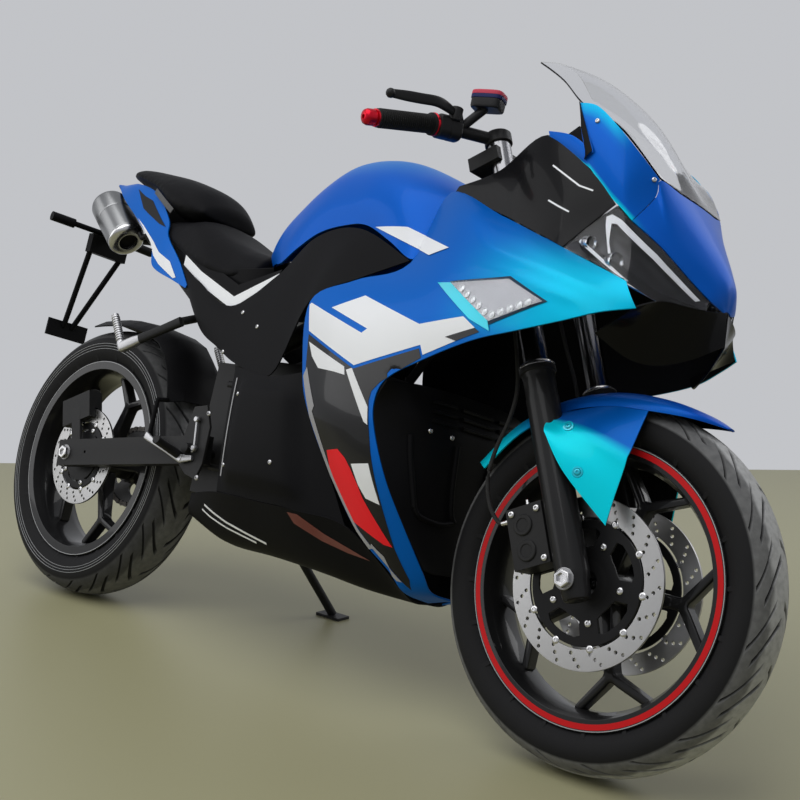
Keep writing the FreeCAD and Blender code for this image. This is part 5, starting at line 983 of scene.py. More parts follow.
def scuffed_and_lit_rubber(label):
    """Rubber from black over shoulder grey to a pale tread: real scuffing, made paler by a painted
    highlight.
    """
    material = finish(label, (0.012, 0.012, 0.013), (0.05, 0.05, 0.052), 0.6, drift=0.2, wear=0.1,
        spread=0.2, grain=1300, depth=0.3)
    tree = material.node_tree
    tone = tree.nodes.new("ShaderNodeAttribute")
    tone.attribute_name = "tone"
    place = tree.nodes.new("ShaderNodeTexCoord")
    scuffs = tree.nodes.new("ShaderNodeTexNoise")
    scuffs.inputs["Scale"].default_value = 85
    scuffs.inputs["Detail"].default_value = 7
    tree.links.new(place.outputs["Object"], scuffs.inputs["Vector"])
    patchy = sums(tree, "MULTIPLY_ADD", scuffs.outputs["Fac"], 0.9, 0.5)
    amount = sums(tree, "MULTIPLY", tone.outputs["Fac"], patchy)
    amount.node.use_clamp = True
    # The pale tread colour is partly scuffing and partly a painted highlight where the tread faces the
    # light.
    shade = mixed(tree, amount, (0.009, 0.009, 0.01), (0.5, 0.505, 0.51))
    surface = [node for node in tree.nodes if node.type == "GROUP"][0]
    tree.links.new(shade, surface.inputs["Colour"])
    return material


RUBBER = scuffed_and_lit_rubber("tyre_rubber")
TYRE_LINE = finish("tyre_line", (0.42, 0.43, 0.45), (0.25, 0.26, 0.27), 0.55, drift=0.4, wear=0.2)


def tyre_profile(half, radius, rim_half):
    """The outer half section, from the middle of the tread down to the bead."""
    high = radius - 0.216
    ends = [(0, radius), (half * 0.17, radius - high * 0.004), (half * 0.34, 0.216 + high * 0.972),
        (half * 0.66, 0.216 + high * 0.88), (half * 0.9, 0.216 + high * 0.72),
        (half, 0.216 + high * 0.52), (half * 0.95, 0.216 + high * 0.3), (rim_half, 0.2253)]
    rows = smooth_rows([[Vector((0, y, r))] for y, r in ends], 4)
    return [(row[0].y, row[0].z) for row in rows]


def tyre_piece(label, axle, half, radius, rim_half, repeats, slant, body, node, scuff_and_light, shoulder):
    """A tyre whose grid runs along its grooves, so that each groove has clean walls."""
    profile = tyre_profile(half, radius, rim_half)
    columns = [(0, 0), (0.04, 0), (0.06, 1), (0.17, 1), (0.19, 0), (0.32, 0), (0.5, 0),
        (0.56, 0), (0.58, 2), (0.66, 2), (0.68, 0), (0.84, 0)]
    pitch = 2 * math.pi / repeats
    points = []
    faces = []
    tones = []
    inner = [(rim_half, 0.2163), (rim_half - 0.009, 0.2163), 
        (half - 0.009, 0.216 + (radius - 0.216) * 0.5), (half * 0.5, radius - 0.0144),
        (0, radius - 0.0144)]
    section = profile + inner
    width = len(section)
    for side in (RIGHT, LEFT):
        base = len(points)
        total = repeats * len(columns)
        for index in range(total):
            repeat, column = divmod(index, len(columns))
            share, groove = columns[column]
            for place, (y, r) in enumerate(section):
                across = min(1, y / (half * 0.9))
                tread = place < len(profile)
                turn = slant * (across ** 1.5 if tread else 1.0)
                shear = turn if place <= 16 else slant
                angle = (repeat + share + (0.25 if side == LEFT else 0)) * pitch + shear
                sunk = 0.0
                if tread and groove == 1.0:
                    sunk = rise(0.06, 0.12, across) * (1 - rise(0.7, 0.82, across))
                if tread and groove == 2.0:
                    sunk = rise(0.4, 0.46, across) * (1 - rise(0.93, 0.99, across))
                reach = r - GROOVE_DEPTH * sunk
                points.append(axle + Vector((math.cos(angle) * reach, side * y, math.sin(angle) * reach)))
                wavy = 0.02 * math.sin(angle * 23)
                worn = scuff_and_light * (1 - rise(0.52 + wavy, 0.58 + wavy,
                    across)) + shoulder * rise(0.52 + wavy, 0.58 + wavy, across)
                tones.append(worn * (1 - 0.97 * min(1, sunk * 1.6)) if place <= 16 else 0.0)
        for index in range(total):
            follow = (index + 1) % total
            for place in range(width - 1):
                faces.append((base + index * width + place, base + index * width + place + 1,
                    base + follow * width + place + 1, base + follow * width + place))
    piece = fitted(label, points, faces, RUBBER, body, "tyre", tone=tones, edge=0, sharp=30)
    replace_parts(piece, node)


tyre_piece("front_tyre_tread", FRONT_AXLE, 0.055, 0.292, 0.0417, 20, -0.34, "front_wheel",
    "front_tyre", 1, 0.34)
tyre_piece("rear_tyre_tread", REAR_AXLE, 0.066, 0.306, 0.0517, 20, 0.34, "rear_wheel",
    "rear_tyre", 0.3, 0.12)
lines = []
for side in (RIGHT, LEFT):
    for out, reach in ((0.0666, 0.264), (0.0664, 0.258), (0.0656, 0.252)):
        lines.append(spun([(-0.0012, reach - 0.0006), (-0.0012, reach + 0.0006),
            (0.0002, reach + 0.0004), (0.0002, reach - 0.0004)],
            REAR_AXLE + Vector((0, side * out, 0)), (0, side, 0), 96, closed=True))
fitted("rear_tyre_lines", *merged(lines), TYRE_LINE, "rear_wheel", "tyre", edge=0)

# Wheels
# Cast rims in black lacquer: a barrel with a well, a hub, and five slender spokes that fork towards
# the rim. A thin grey line runs round each flange, and a red ring round those of the front rim.
FRONT_RIM_HALF = 0.042
REAR_RIM_HALF = 0.052
SPOKE_HALF = [(0.028, 0.015), (0.08, 0.0118), (0.124, 0.0098), (0.134, 0.0102), (0.1405, 0.0144),
    (0.181, 0.0679), (0.1916, 0.0603), (0.1565, 0.0103), (0.151, 0.004)]
SPOKE = SPOKE_HALF + [(0.1495, 0)] + [(u, -v) for u, v in reversed(SPOKE_HALF)]
RIM_BLACK = finish("rim_lacquer", (0.008, 0.008, 0.009), (0.03, 0.03, 0.03), 0.26, coat=0.35,
    wear=0.25, depth=0.05)
RING_RED = finish("rim_ring_red", (0.66, 0.012, 0.016), (0.45, 0.01, 0.01), 0.35, drift=0.2, wear=0.1)
RING_GREY = finish("rim_ring_grey", (0.45, 0.46, 0.48), (0.3, 0.3, 0.32), 0.4, drift=0.2, wear=0.1)
POLISHED = finish("polished_steel", (0.6, 0.6, 0.61), (0.4, 0.39, 0.38), 0.18, metallic=1.0, drift=0.4,
    grain=500, depth=0.05)


def slab(loops, place, low, high):
    """A flat plate with holes: the first loop is its outline, and place sets it in space."""
    spots = []
    rings = []
    for loop in loops:
        rings.append(list(range(len(spots), len(spots) + len(loop))))
        spots += [Vector(point) for point in loop]
    spots, _, found, *_ = delaunay_2d_cdt(spots, [], rings, 1, 1e-7)
    kept = []
    for face in found:
        u = sum(spots[i].x for i in face) / len(face)
        v = sum(spots[i].y for i in face) / len(face)
        if not any(inside(u, v, loop) for loop in loops[1:]):
            kept.append(tuple(face))
    sides = {(a, b) for face in kept for a, b in zip(face, face[1:] + face[:1])}
    count = len(spots)
    points = [place(spot.x, spot.y, level) for level in (low, high) for spot in spots]
    faces = [tuple(reversed(face)) for face in kept]
    faces += [tuple(i + count for i in face) for face in kept]
    faces += [(a, b, b + count, a + count) for a, b in sides if (b, a) not in sides]
    return points, faces


def circle(radius, count, centre=(0, 0)):
    """A loop of points round a centre."""
    return [(centre[0] + radius * math.cos(2 * math.pi * i / count),
        centre[1] + radius * math.sin(2 * math.pi * i / count)) for i in range(count)]


def button(spot, axis, radius, height, count=14):
    """A rounded bolt head with a socket in it."""
    return spun([(0, radius), (height * 0.45, radius), (height * 0.8, radius * 0.86),
        (height, radius * 0.6), (height, radius * 0.42), (height * 0.4, radius * 0.4),
        (height * 0.4, 0)], spot, axis, count)


def wheel(name, axle, half, hub_half, bore, body):
    """A cast rim with its painted ring."""
    barrel = [(half, 0.2248), (half + 0.005, 0.2248), (half + 0.006, 0.2238), (half + 0.006, 0.205),
        (half * 0.86, 0.201), (half * 0.5, 0.1938)]
    barrel += [(-y, r) for y, r in reversed(barrel)]
    barrel += [(-half, 0.2159), (-half * 0.62, 0.2159), (-half * 0.42, 0.1995), (half * 0.42, 0.1995),
        (half * 0.62, 0.2159), (half, 0.2159)]
    hub = [(hub_half, bore), (hub_half, 0.026), (hub_half - 0.002, 0.028), (hub_half - 0.004, 0.034),
        (0.018, 0.034), (0.012, 0.0325)]
    hub += [(-y, r) for y, r in reversed(hub)]
    forms = [spun(barrel, axle, (0, 1, 0), 128, closed=True), spun(hub, axle, (0, 1, 0), 48, closed=True)]
    spokes = []
    for index in range(5):
        angle = 2 * math.pi * index / 5
        along = Vector((math.cos(angle), 0, math.sin(angle)))
        across = Vector((-math.sin(angle), 0, math.cos(angle)))

        def place(u, v, w, along=along, across=across):
            return axle + along * u + across * v + Vector((0, w * (1.1 - (u - 0.028) * 1.6), 0))

        spokes.append(slab([SPOKE], place, -0.015, 0.015))
    rim = fitted(name + "_barrel", *merged(forms), RIM_BLACK, body, "rim_black", edge=0.0008)
    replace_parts(rim, name)
    fitted(name + "_spokes", *merged(spokes), RIM_BLACK, body, "rim_black", edge=0.0042, sharp=60)
    red = []
    grey = []
    for side in (RIGHT, LEFT):
        spot = axle + Vector((0, side * (half + 0.006), 0))
        red.append(spun([(-0.0008, 0.2118), (-0.0008, 0.2212), (0.0003, 0.221), (0.0003, 0.212)], spot,
            (0, side, 0), 128, closed=True))
        grey.append(spun([(-0.0008, 0.2222), (-0.0008, 0.2237), (0.0003, 0.2236), (0.0003, 0.2223)], spot,
            (0, side, 0), 128, closed=True))
    if name == "front_rim":
        fitted(name + "_red_ring", *merged(red), RING_RED, body, "rim_black", edge=0)
    fitted(name + "_grey_ring", *merged(grey), RING_GREY, body, "rim_black", edge=0)


wheel("front_rim", FRONT_AXLE, FRONT_RIM_HALF, 0.048, 0.0087, "front_wheel")
wheel("rear_rim", REAR_AXLE, REAR_RIM_HALF, 0.06, 0.0102, "rear_wheel")

# Brake discs
# Drilled steel rings on black carriers with kidney-shaped windows, held by bright buttons and bolts.
STEEL = finish("ground_steel", (0.42, 0.42, 0.42), (0.26, 0.25, 0.24), 0.28, metallic=1.0, drift=0.5,
    grain=700, depth=0.1)
CARRIER_BLACK = finish("carrier_black", (0.01, 0.01, 0.011), (0.03, 0.03, 0.03), 0.34, metallic=0.3)


def brake_disc(name, axle, offset, radius, inner, body):
    """A drilled ring with its carrier, buttons and bolts, on one side of a wheel."""
    holes = []
    for group in range(20):
        for step in range(3):
            reach = inner + (radius - inner) * (0.22 + 0.28 * step)
            angle = 2 * math.pi * group / 20 + 0.07 * step
            holes.append(circle(0.003, 10, (reach * math.cos(angle), reach * math.sin(angle))))
    windows = []
    low = 0.056
    high = inner - 0.017
    for index in range(5):
        middle = 2 * math.pi * (index + 0.5) / 5
        loop = []
        for reach, turns in ((high, (-0.42, -0.3, -0.15, 0, 0.15, 0.3, 0.42)),
                (low, (0.36, 0.18, 0, -0.18, -0.36))):
            for turn in turns:
                dip = 0.004 if abs(turn) > 0.35 else 0.0
                real = reach - dip if reach == high else reach + dip
                loop.append((real * math.cos(middle + turn), real * math.sin(middle + turn)))
        windows.append(loop)

    def place(u, v, w):
        return axle + Vector((u, offset + w, v))

    half = 0.0025
    ring = fitted(name + "_ring", *slab([circle(radius, 120), circle(inner, 90)] + holes, place,
        -half, half), STEEL, body, "disc_steel", edge=0.0004)
    carrier = slab([circle(inner - 0.004, 80), circle(0.0365, 36)] + windows, place, -0.002, 0.002)
    collar_end = 0.048 if body == "front_wheel" else 0.06
    away = 1 if offset > 0 else -1
    collar = spun([(0, 0.0205), (0, 0.0395), (abs(offset) - collar_end, 0.0395),
        (abs(offset) - collar_end + 0.002, 0.0375), (abs(offset) - collar_end + 0.0025, 0.0205)],
        axle + Vector((0, away * collar_end, 0)), (0, away, 0), 48, closed=True)
    fitted(name + "_carrier", *merged([carrier, collar]), CARRIER_BLACK, body, "disc_steel", edge=0.0006)
    heads = []
    for index in range(10):
        angle = 2 * math.pi * index / 10
        spot = axle + Vector(((inner - 0.0005) * math.cos(angle), offset + away * 0.0022,
            (inner - 0.0005) * math.sin(angle)))
        heads.append(button(spot, (0, away, 0), 0.0062, 0.002))
    for index in range(5):
        angle = 2 * math.pi * index / 5
        spot = axle + Vector((0.0625 * math.cos(angle), offset + away * 0.0018, 0.0625 * math.sin(angle)))
        heads.append(button(spot, (0, away, 0), 0.0062, 0.0034))
    fitted(name + "_bolts", *merged(heads), POLISHED, body, "disc_steel", edge=0)
    return ring


for name, side in SIDES.items():
    ring = brake_disc("front_disc_" + name, FRONT_AXLE, side * 0.0626, 0.135, 0.102, "front_wheel")
    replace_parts(ring, "front_discs")
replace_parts(brake_disc("rear_disc", REAR_AXLE, -0.068, 0.11, 0.078, "rear_wheel"), "rear_disc")

# Chain and sprocket
# A roller chain with inner and outer plates, round a toothed rear sprocket.
CHAIN_STEEL = finish("chain_steel", (0.2, 0.19, 0.18), (0.06, 0.055, 0.05), 0.38, metallic=1.0, drift=0.6,
    wear=0.4, grain=500, depth=0.2)
SPROCKET_DARK = finish("sprocket_dark", (0.05, 0.05, 0.052), (0.2, 0.2, 0.2), 0.36, metallic=0.9,
    wear=0.5, grain=700, depth=0.1)
MOTOR_AXIS = Vector((0.575, 0, 0.388))
CHAIN_LINE = 0.078
TEETH = 36
PITCH_RADIUS = 0.0905
MOTOR_PITCH_RADIUS = 0.0365
teeth = []
for index in range(TEETH):
    for share, reach in ((0, 0.09), (0.16, 0.09), (0.34, 0.085), (0.5, 0.0838), (0.66, 0.0838),
            (0.84, 0.085)):
        angle = 2 * math.pi * (index + share) / TEETH
        teeth.append((reach * math.cos(angle), reach * math.sin(angle)))
windows = [circle(0.0143, 24, centre) for centre in circle(0.0554, 5)]
plate = slab([teeth, circle(0.0163, 32)] + windows,
    lambda u, v, w: REAR_AXLE + Vector((u, CHAIN_LINE + w, v)), -0.003, 0.003)
collar = spun([(0, 0.0163), (0, 0.0395), (0.0125, 0.0395), (0.015, 0.037), (0.015, 0.0163)],
    REAR_AXLE + Vector((0, 0.06, 0)), (0, 1, 0), 48, closed=True)
sprocket = fitted("toothed_sprocket", *merged([plate, collar]), SPROCKET_DARK, "rear_wheel",
    "chain_steel", edge=0.0005)
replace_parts(sprocket, "rear_sprocket")


def chain_route(count):
    """Evenly spaced places and directions along the chain's closed loop."""
    start = Vector((REAR_AXLE.x, CHAIN_LINE, REAR_AXLE.z))
    end = Vector((MOTOR_AXIS.x, CHAIN_LINE, MOTOR_AXIS.z))
    along = end - start
    base = math.atan2(along.z, along.x)
    swing = math.acos((PITCH_RADIUS - MOTOR_PITCH_RADIUS) / along.length)

    def on_rim(centre, radius, angle):
        return centre + Vector((math.cos(angle), 0, math.sin(angle))) * radius

    fine = [on_rim(start, PITCH_RADIUS, base + swing + (2 * math.pi - 2 * swing) * i / 120)
        for i in range(121)]
    fine += [on_rim(end, MOTOR_PITCH_RADIUS, base - swing + 2 * swing * i / 60) for i in range(61)]
    fine.append(fine[0])
    lengths = [0]
    for a, b in zip(fine, fine[1:]):
        lengths.append(lengths[-1] + (b - a).length)
    spots = []
    piece = 0
    for i in range(count):
        target = lengths[-1] * i / count
        while lengths[piece + 1] < target:
            piece += 1
        share = (target - lengths[piece]) / (lengths[piece + 1] - lengths[piece])
        spots.append(fine[piece].lerp(fine[piece + 1], share))
    return spots


LINKS = 98
pins = chain_route(LINKS)
links = []
for i in range(LINKS):
    a = pins[i]
    b = pins[(i + 1) % LINKS]
    along = (b - a).normalized()
    across = Vector((-along.z, 0, along.x))
    reach = (b - a).length
    outline = []
    for k in range(7):
        angle = math.pi / 2 + math.pi * k / 6
        outline.append((0.0058 * math.cos(angle), 0.0058 * math.sin(angle)))
    outline.append((reach / 2, -0.0044))
    for k in range(7):
        angle = -math.pi / 2 + math.pi * k / 6
        outline.append((reach + 0.0058 * math.cos(angle), 0.0058 * math.sin(angle)))
    outline.append((reach / 2, 0.0044))

    def place(u, v, w, a=a, along=along, across=across):
        return a + along * u + across * v + Vector((0, w, 0))

    out = 0.0062 if i % 2 else 0.0046
    links.append(slab([outline], place, out - 0.0014, out))
    links.append(slab([outline], place, -out, 0.0014 - out))
    links.append(spun([(-0.0033, 0), (-0.0033, 0.0048), (0.0033, 0.0048), (0.0033, 0)], a, (0, 1, 0), 10))
    links.append(spun([(-0.0068, 0), (-0.0068, 0.002), (0.0068, 0.002), (0.0068, 0)], a, (0, 1, 0), 8))
chain = fitted("roller_chain", *merged(links), CHAIN_STEEL, "chassis", "chain_steel", edge=0)
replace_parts(chain, "drive_chain")

# Front mudguard
# A blue hood close over the tyre, with a folded wing down to each fork leg: deep blue above the fold,
# with a painted cyan highlight below it and on the rear edges of the hood, held by two recessed bolts.
HOOD = [(148, 1.055, 0.62, 0.1), (130, 1.055, 0.63, 0.1), (112, 1.055, 0.635, 0.1),
    (95, 1.058, 0.635, 0.1), (80, 1.065, 0.6, 0.09), (68, 1.08, 0.42, 0.05), (60, 1.09, 0.1, 0.01)]
MUDGUARD_WING_LOW = [(1.272, 0.131, 0.508), (1.318, 0.126, 0.452), (1.396, 0.1, 0.383)]
MUDGUARD_WING_BULGE = [0.0154, 0.0132, 0.0066]
RAKE = math.radians(25)
FORK_UP = Vector((-math.sin(RAKE), 0, math.cos(RAKE)))
FORK_FORWARD = Vector((math.cos(RAKE), 0, math.sin(RAKE)))
FORK_HALF_SPAN = 0.098


def on_fork(up, forward, sideways):
    """A place in the fork's own frame, from the front axle's middle."""
    return FRONT_AXLE + FORK_UP * up + FORK_FORWARD * forward + Vector((0, sideways, 0))


hood_rows = []
for angle, radius_share, width_share, drop_share in HOOD:
    out = Vector((math.cos(math.radians(angle)), 0, math.sin(math.radians(angle))))
    reach = 0.292 * radius_share
    half = [FRONT_AXLE + out * reach]
    for across_share, fall_share in ((0.55, 0.08), (0.92, 0.45), (1, 1)):
        half.append(FRONT_AXLE + out * reach * (1 - drop_share * fall_share)
            + Vector((0, 0.11 * width_share * across_share, 0)))
    hood_rows.append(half)


# Painted highlight: cyan on the rear part of the hood's edges.
def hood_highlight(point):
    angle = math.degrees(math.atan2(point.z - FRONT_AXLE.z, point.x - FRONT_AXLE.x))
    edge = rise(0.04, 0.058, abs(point.y))
    return 0.02 + 0.85 * rise(118, 140, angle) * edge + 0.04 * edge


hood = net_piece("mudguard_hood", smooth_net(mirrored(hood_rows), 6, 4), PAINT, "steering",
    "plastic_blue", wall=PANEL_WALL, tone=hood_highlight, core=FRONT_AXLE)
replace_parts(hood, "front_mudguard")
lined("hood_lining", smooth_net(mirrored(hood_rows), 6, 4), FRONT_AXLE, "steering")
guard_wings = {}
for name, side in SIDES.items():
    rows = []
    for half, low, bulge in zip(hood_rows[2:5], MUDGUARD_WING_LOW, MUDGUARD_WING_BULGE):
        top = half[-1]
        row = []
        for i in range(13):
            v = i / 12
            point = top.lerp(Vector(low), v)
            fold = 0.0035 * math.exp(-((v - 0.42) / 0.07) ** 2)
            point.y += bulge * 4 * v * (1 - v) + fold
            row.append(on_side(point, side))
        rows.append(row)
    net = smooth_rows(rows, 10)
    # Painted highlight: cyan below the fold of each wing.
    tones = [min(1, 0.08 + 0.92 * rise(0.36, 0.44, j / 12)) for _ in net for j in range(13)]
    guard_wings[side] = net_piece("mudguard_wing_" + name, net, PAINT, "steering", "plastic_blue",
        wall=PANEL_WALL, tone=tones, core=FRONT_AXLE)
    lined("wing_underside_" + name, net, FRONT_AXLE, "steering")

# Fork
# Satin black sliders with a bright seal edge, and dark chromed tubes above them.
FORK_SATIN = finish("fork_satin", (0.01, 0.01, 0.011), (0.035, 0.035, 0.036), 0.34, coat=0.15,
    wear=0.2, grain=1600, depth=0.06)
CHROME_TUBE = finish("fork_tube", (0.24, 0.24, 0.25), (0.16, 0.16, 0.17), 0.12, metallic=1.0,
    wear=0.1, grain=400, depth=0.03)
SLIDER_PROFILE = [
    (-0.032, 0), (-0.032, 0.017), (-0.03, 0.0205), (-0.022, 0.0228), (-0.004, 0.0236), (0.003, 0.0262),
    (0.012, 0.027), (0.3, 0.027), (0.303, 0.0263), (0.334, 0.0263), (0.337, 0.0272), (0.3425, 0.0275),
    (0.3435, 0.03), (0.352, 0.03), (0.3522, 0.02)]
SEAL_PROFILE = [(0.3522, 0.0206), (0.3522, 0.0301), (0.356, 0.0301), (0.358, 0.0288), (0.3585, 0.0206)]
for name, side in SIDES.items():
    foot = on_fork(0, 0, side * FORK_HALF_SPAN)
    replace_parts(fitted("fork_slider_" + name, *spun(SLIDER_PROFILE, foot, FORK_UP, 48), FORK_SATIN,
        "steering", "fork_black", edge=0.0004), "fork_" + name)
    fitted("fork_seal_" + name, *spun(SEAL_PROFILE, foot, FORK_UP, 48, closed=True), POLISHED, "steering",
        "fork_black", edge=0.0004)
    fitted("fork_tube_" + name, *spun([(0.35, 0), (0.35, 0.0205), (0.777, 0.0205), (0.778, 0.019),
        (0.778, 0)], foot, FORK_UP, 48), CHROME_TUBE, "steering", "fork_black", edge=0)

# Axles and their nuts
# Steel spindles with hexagon nuts, and a grey washer under each nut.
WASHER_GREY = finish("washer_grey", (0.3, 0.3, 0.31), (0.16, 0.16, 0.16), 0.36, metallic=0.9,
    drift=0.4, grain=600, depth=0.1)


def nut(spot, axis, across, height):
    """A hexagon nut with a bored end."""
    return spun([(0, across), (height * 0.86, across), (height, across * 0.88), (height,
        across * 0.58), (height * 0.45, across * 0.54), (height * 0.45, 0)], spot, axis, 6)


for label, axle, half, bore, body in (("front_axle", FRONT_AXLE, 0.1253, 0.0085, "steering"),
        ("rear_axle", REAR_AXLE, 0.115, 0.01, "chassis")):
    spindle = [spun([(-half - 0.002, 0), (-half - 0.002, bore), (half + 0.002, bore), (half + 0.002, 0)],
        axle, (0, 1, 0), 32)]
    washers = []
    for side in (RIGHT, LEFT):
        spot = axle + Vector((0, side * half, 0))
        washers.append(spun([(0, 0), (0, 0.0172), (0.0018, 0.0172), (0.0024, 0.016), (0.0024, 0)],
            spot, (0, side, 0), 32))
        spindle.append(nut(spot + Vector((0, side * 0.0022, 0)), (0, side, 0), 0.0146, 0.0086))
    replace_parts(fitted(label + "_spindle", *merged(spindle), POLISHED, body, "alloy", edge=0.0004,
        sharp=28), label)
    fitted(label + "_washers", *merged(washers), WASHER_GREY, body, "alloy", edge=0)

# Bars and grips
# Clip-on bars with ribbed rubber grips between red anodised rings, and a rounded red end on each bar.
FORK_TOP = 0.7783
BAR_INNER = (0.972, 0.215, 0.995)
BAR_OUTER = (0.945, 0.345, 0.958)
GRIP_LENGTH = 0.118
GRIP = finish("grip_rubber", (0.01, 0.01, 0.01), (0.03, 0.03, 0.03), 0.62, drift=0.4,
    grain=1000, depth=0.4)
ANODISED_RED = finish("anodised_red", (0.62, 0.012, 0.03), (0.45, 0.01, 0.02), 0.26, metallic=0.75,
    wear=0.2, depth=0.04)
CONTROL_BLACK = finish("control_black", (0.01, 0.01, 0.011), (0.04, 0.04, 0.042), 0.3, drift=0.35,
    wear=0.25, grain=1300)


def swept(route, halves, up=(0, 0, 1), count=18, power=1.0):
    """A closed bar along a route, with a half height and half width at each place; a low power
    makes its section boxy."""
    up = Vector(up)
    last = len(route) - 1
    points = []
    faces = []
    for i, spot in enumerate(route):
        ahead = (route[min(i + 1, last)] - route[max(i - 1, 0)]).normalized()
        side = ahead.cross(up).normalized()
        raised = side.cross(ahead)
        high, wide = halves[i]
        for k in range(count):
            c = math.cos(2 * math.pi * k / count)
            s = math.sin(2 * math.pi * k / count)
            points.append(spot + raised * high * math.copysign(abs(s) ** power, s)
                + side * wide * math.copysign(abs(c) ** power, c))
    for i in range(last):
        for k in range(count):
            m = (k + 1) % count
            faces.append((i * count + k, i * count + m, (i + 1) * count + m, (i + 1) * count + k))
    faces.append(tuple(range(count)))
    faces.append(tuple(range(last * count, (last + 1) * count)))
    return points, faces


def tube(route, radius, steps=6, count=12):
    """A round tube along a curve through the given places."""
    fine = [row[0] for row in smooth_rows([[Vector(point)] for point in route], steps)]
    return swept(fine, [(radius, radius)] * len(fine), count=count)


grip_profile = [(0, 0.0115), (0, 0.0195), (0.0035, 0.0195), (0.0045, 0.017)]
for rib in range(26):
    start = 0.006 + rib * 0.0041
    grip_profile += [(start, 0.015), (start + 0.001, 0.0165), (start + 0.003, 0.0165),
        (start + 0.004, 0.015)]
grip_profile += [(GRIP_LENGTH - 0.002, 0.016), (GRIP_LENGTH, 0.015), (GRIP_LENGTH, 0.0115)]
for name, side in SIDES.items():
    root = on_fork(FORK_TOP, 0, side * FORK_HALF_SPAN)
    inner = on_side(BAR_INNER, side)
    outer = on_side(BAR_OUTER, side)
    along = (outer - inner).normalized()
    start = root + FORK_UP * 0.011
    bar_line = (inner - start).normalized()
    metal = [spun([(0, 0), (0, 0.0205), (0, 0.0232), (0.0015, 0.0245), (0.02, 0.0245),
        (0.022, 0.0228), (0.022, 0.012), (0.026, 0.011), (0.026, 0)], root, FORK_UP, 40),
        spun([(0, 0), (0, 0.011), ((inner - start).length, 0.011), ((inner - start).length, 0)],
        start, bar_line, 28),
        spun([(-0.004, 0), (-0.004, 0.0112), (0.004, 0.0112), (0.004, 0)], inner, along, 28)]
    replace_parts(fitted("clip_on_bar_" + name, *merged(metal), CONTROL_BLACK, "steering", "control_black",
        edge=0.0005), "handlebar_" + name)
    fitted("grip_" + name, *spun(grip_profile, inner, along, 32, closed=True), GRIP, "steering",
        "grip_rubber", edge=0)
    end = inner + along * GRIP_LENGTH
    red = [spun([(0, 0), (0, 0.015), (0.003, 0.015), (0.0036, 0.0118), (0.006, 0.0118),
        (0.0066, 0.014), (0.018, 0.014), (0.0225, 0.0122), (0.025, 0.0085), (0.0258, 0.004),
        (0.0225, 0.0038), (0.0225, 0)], end, along, 32),
        spun([(-0.0052, 0.0112), (-0.0052, 0.019), (-0.004, 0.02), (-0.0012, 0.02),
        (0, 0.019), (0, 0.0112)], inner, along, 32, closed=True)]
    fitted("bar_end_" + name, *merged(red), ANODISED_RED, "steering", "control_black", edge=0)

# Controls
# Switch housings with their buttons, broad flat levers with a ball end, and on the right the fluid
# reservoir: black below, with a navy band and a red band round its lid.
LEVER = [(0.998, 0.19, 1.022), (1, 0.24, 1.022), (0.968, 0.325, 1.006)]
RESERVOIR = Vector((1.03, -0.15, 1.058))
LID_RED = finish("lid_red", (0.55, 0.06, 0.1), (0.4, 0.04, 0.07), 0.4, wear=0.1)
LID_NAVY = finish("lid_navy", (0.012, 0.018, 0.09), (0.02, 0.03, 0.1), 0.4, wear=0.1)
boxes = []
levers = []
switches = []
for name, side in SIDES.items():
    low = on_fork(FORK_TOP, 0, side * FORK_HALF_SPAN) + FORK_UP * 0.011
    high = on_side(BAR_INNER, side)
    along = (high - low).normalized()
    inner = low + (high - low) * 0.6
    outer = high - along * 0.008
    steps = [(0, 0.84), (0.04, 0.97), (0.1, 1), (0.46, 1), (0.48, 0.95), (0.52, 0.95), (0.54, 1),
        (0.9, 1), (0.96, 0.97), (1, 0.84)]
    boxes.append(swept([inner.lerp(outer, share) for share, _ in steps],
        [(0.0205 * grow, 0.0195 * grow) for _, grow in steps], count=28, power=0.62))
    lever = [on_side(point, side) for point in LEVER]
    boxes.append(swept([inner, inner.lerp(lever[0], 0.5), lever[0]], [(0.011, 0.01)] * 3, count=18,
        power=0.7))
    boxes.append(spun([(-0.013, 0), (-0.013, 0.01), (-0.0115, 0.0115), (0.0095, 0.0115), (0.011, 0.01),
        (0.011, 0)], lever[0], (0, 0, 1), 24))
    blade = [row[0] for row in smooth_rows([[lever[0]], [lever[1] + Vector((0.002, 0, 0))],
        [lever[1].lerp(lever[2], 0.45) + Vector((0.004, 0, 0))],
        [lever[2]]], 7)]
    count = len(blade)
    halves = []
    for i in range(count):
        share = i / (count - 1)
        halves.append((0.0065 + 0.0028 * rise(0, 0.3, share) - 0.002 * rise(0.75, 1, share),
            0.0046 - 0.0012 * rise(0.1, 0.5, share)))
    levers.append(swept(blade, halves, count=20, power=0.75))
    levers.append(spun([(-0.0082, 0), (-0.0074, 0.0042), (-0.004, 0.0074), (0, 0.0083), (0.004, 0.0074),
        (0.0074, 0.0042), (0.0082, 0)], lever[2], (0, 0, 1), 18))
    face = inner.lerp(outer, 0.62)
    outward = (Vector((-0.45, 0, 0.89)) - along * along.dot(Vector((-0.45, 0, 0.89)))).normalized()
    for share, reach in ((0.3, 0.0066), (0.62, 0.0052), (0.84, 0.0044)):
        spot = inner.lerp(outer, share) + outward * 0.0175
        switches.append(swept([spot, spot + outward * 0.004, spot + outward * 0.0046], [(reach, reach),
            (reach, reach), (reach * 0.8, reach * 0.8)], up=along, count=16, power=0.6))
stalk_foot = on_fork(FORK_TOP, 0, -FORK_HALF_SPAN) + FORK_UP * 0.011
stalk_foot = stalk_foot + (on_side(BAR_INNER, RIGHT) - stalk_foot) * 0.62
boxes.append(swept([stalk_foot, RESERVOIR - Vector((0.004, 0, 0.012))], [(0.008, 0.008)] * 2, count=16))
turn = Vector((math.cos(math.radians(15)), math.sin(math.radians(15)), 0))


def cup_band(rows):
    """A slice of the reservoir, from (height, share of its width) pairs."""
    return swept([RESERVOIR + Vector((0, 0, height)) for height, _ in rows],
        [(0.0292 * share, 0.0208 * share) for _, share in rows], up=turn, count=36, power=0.45)


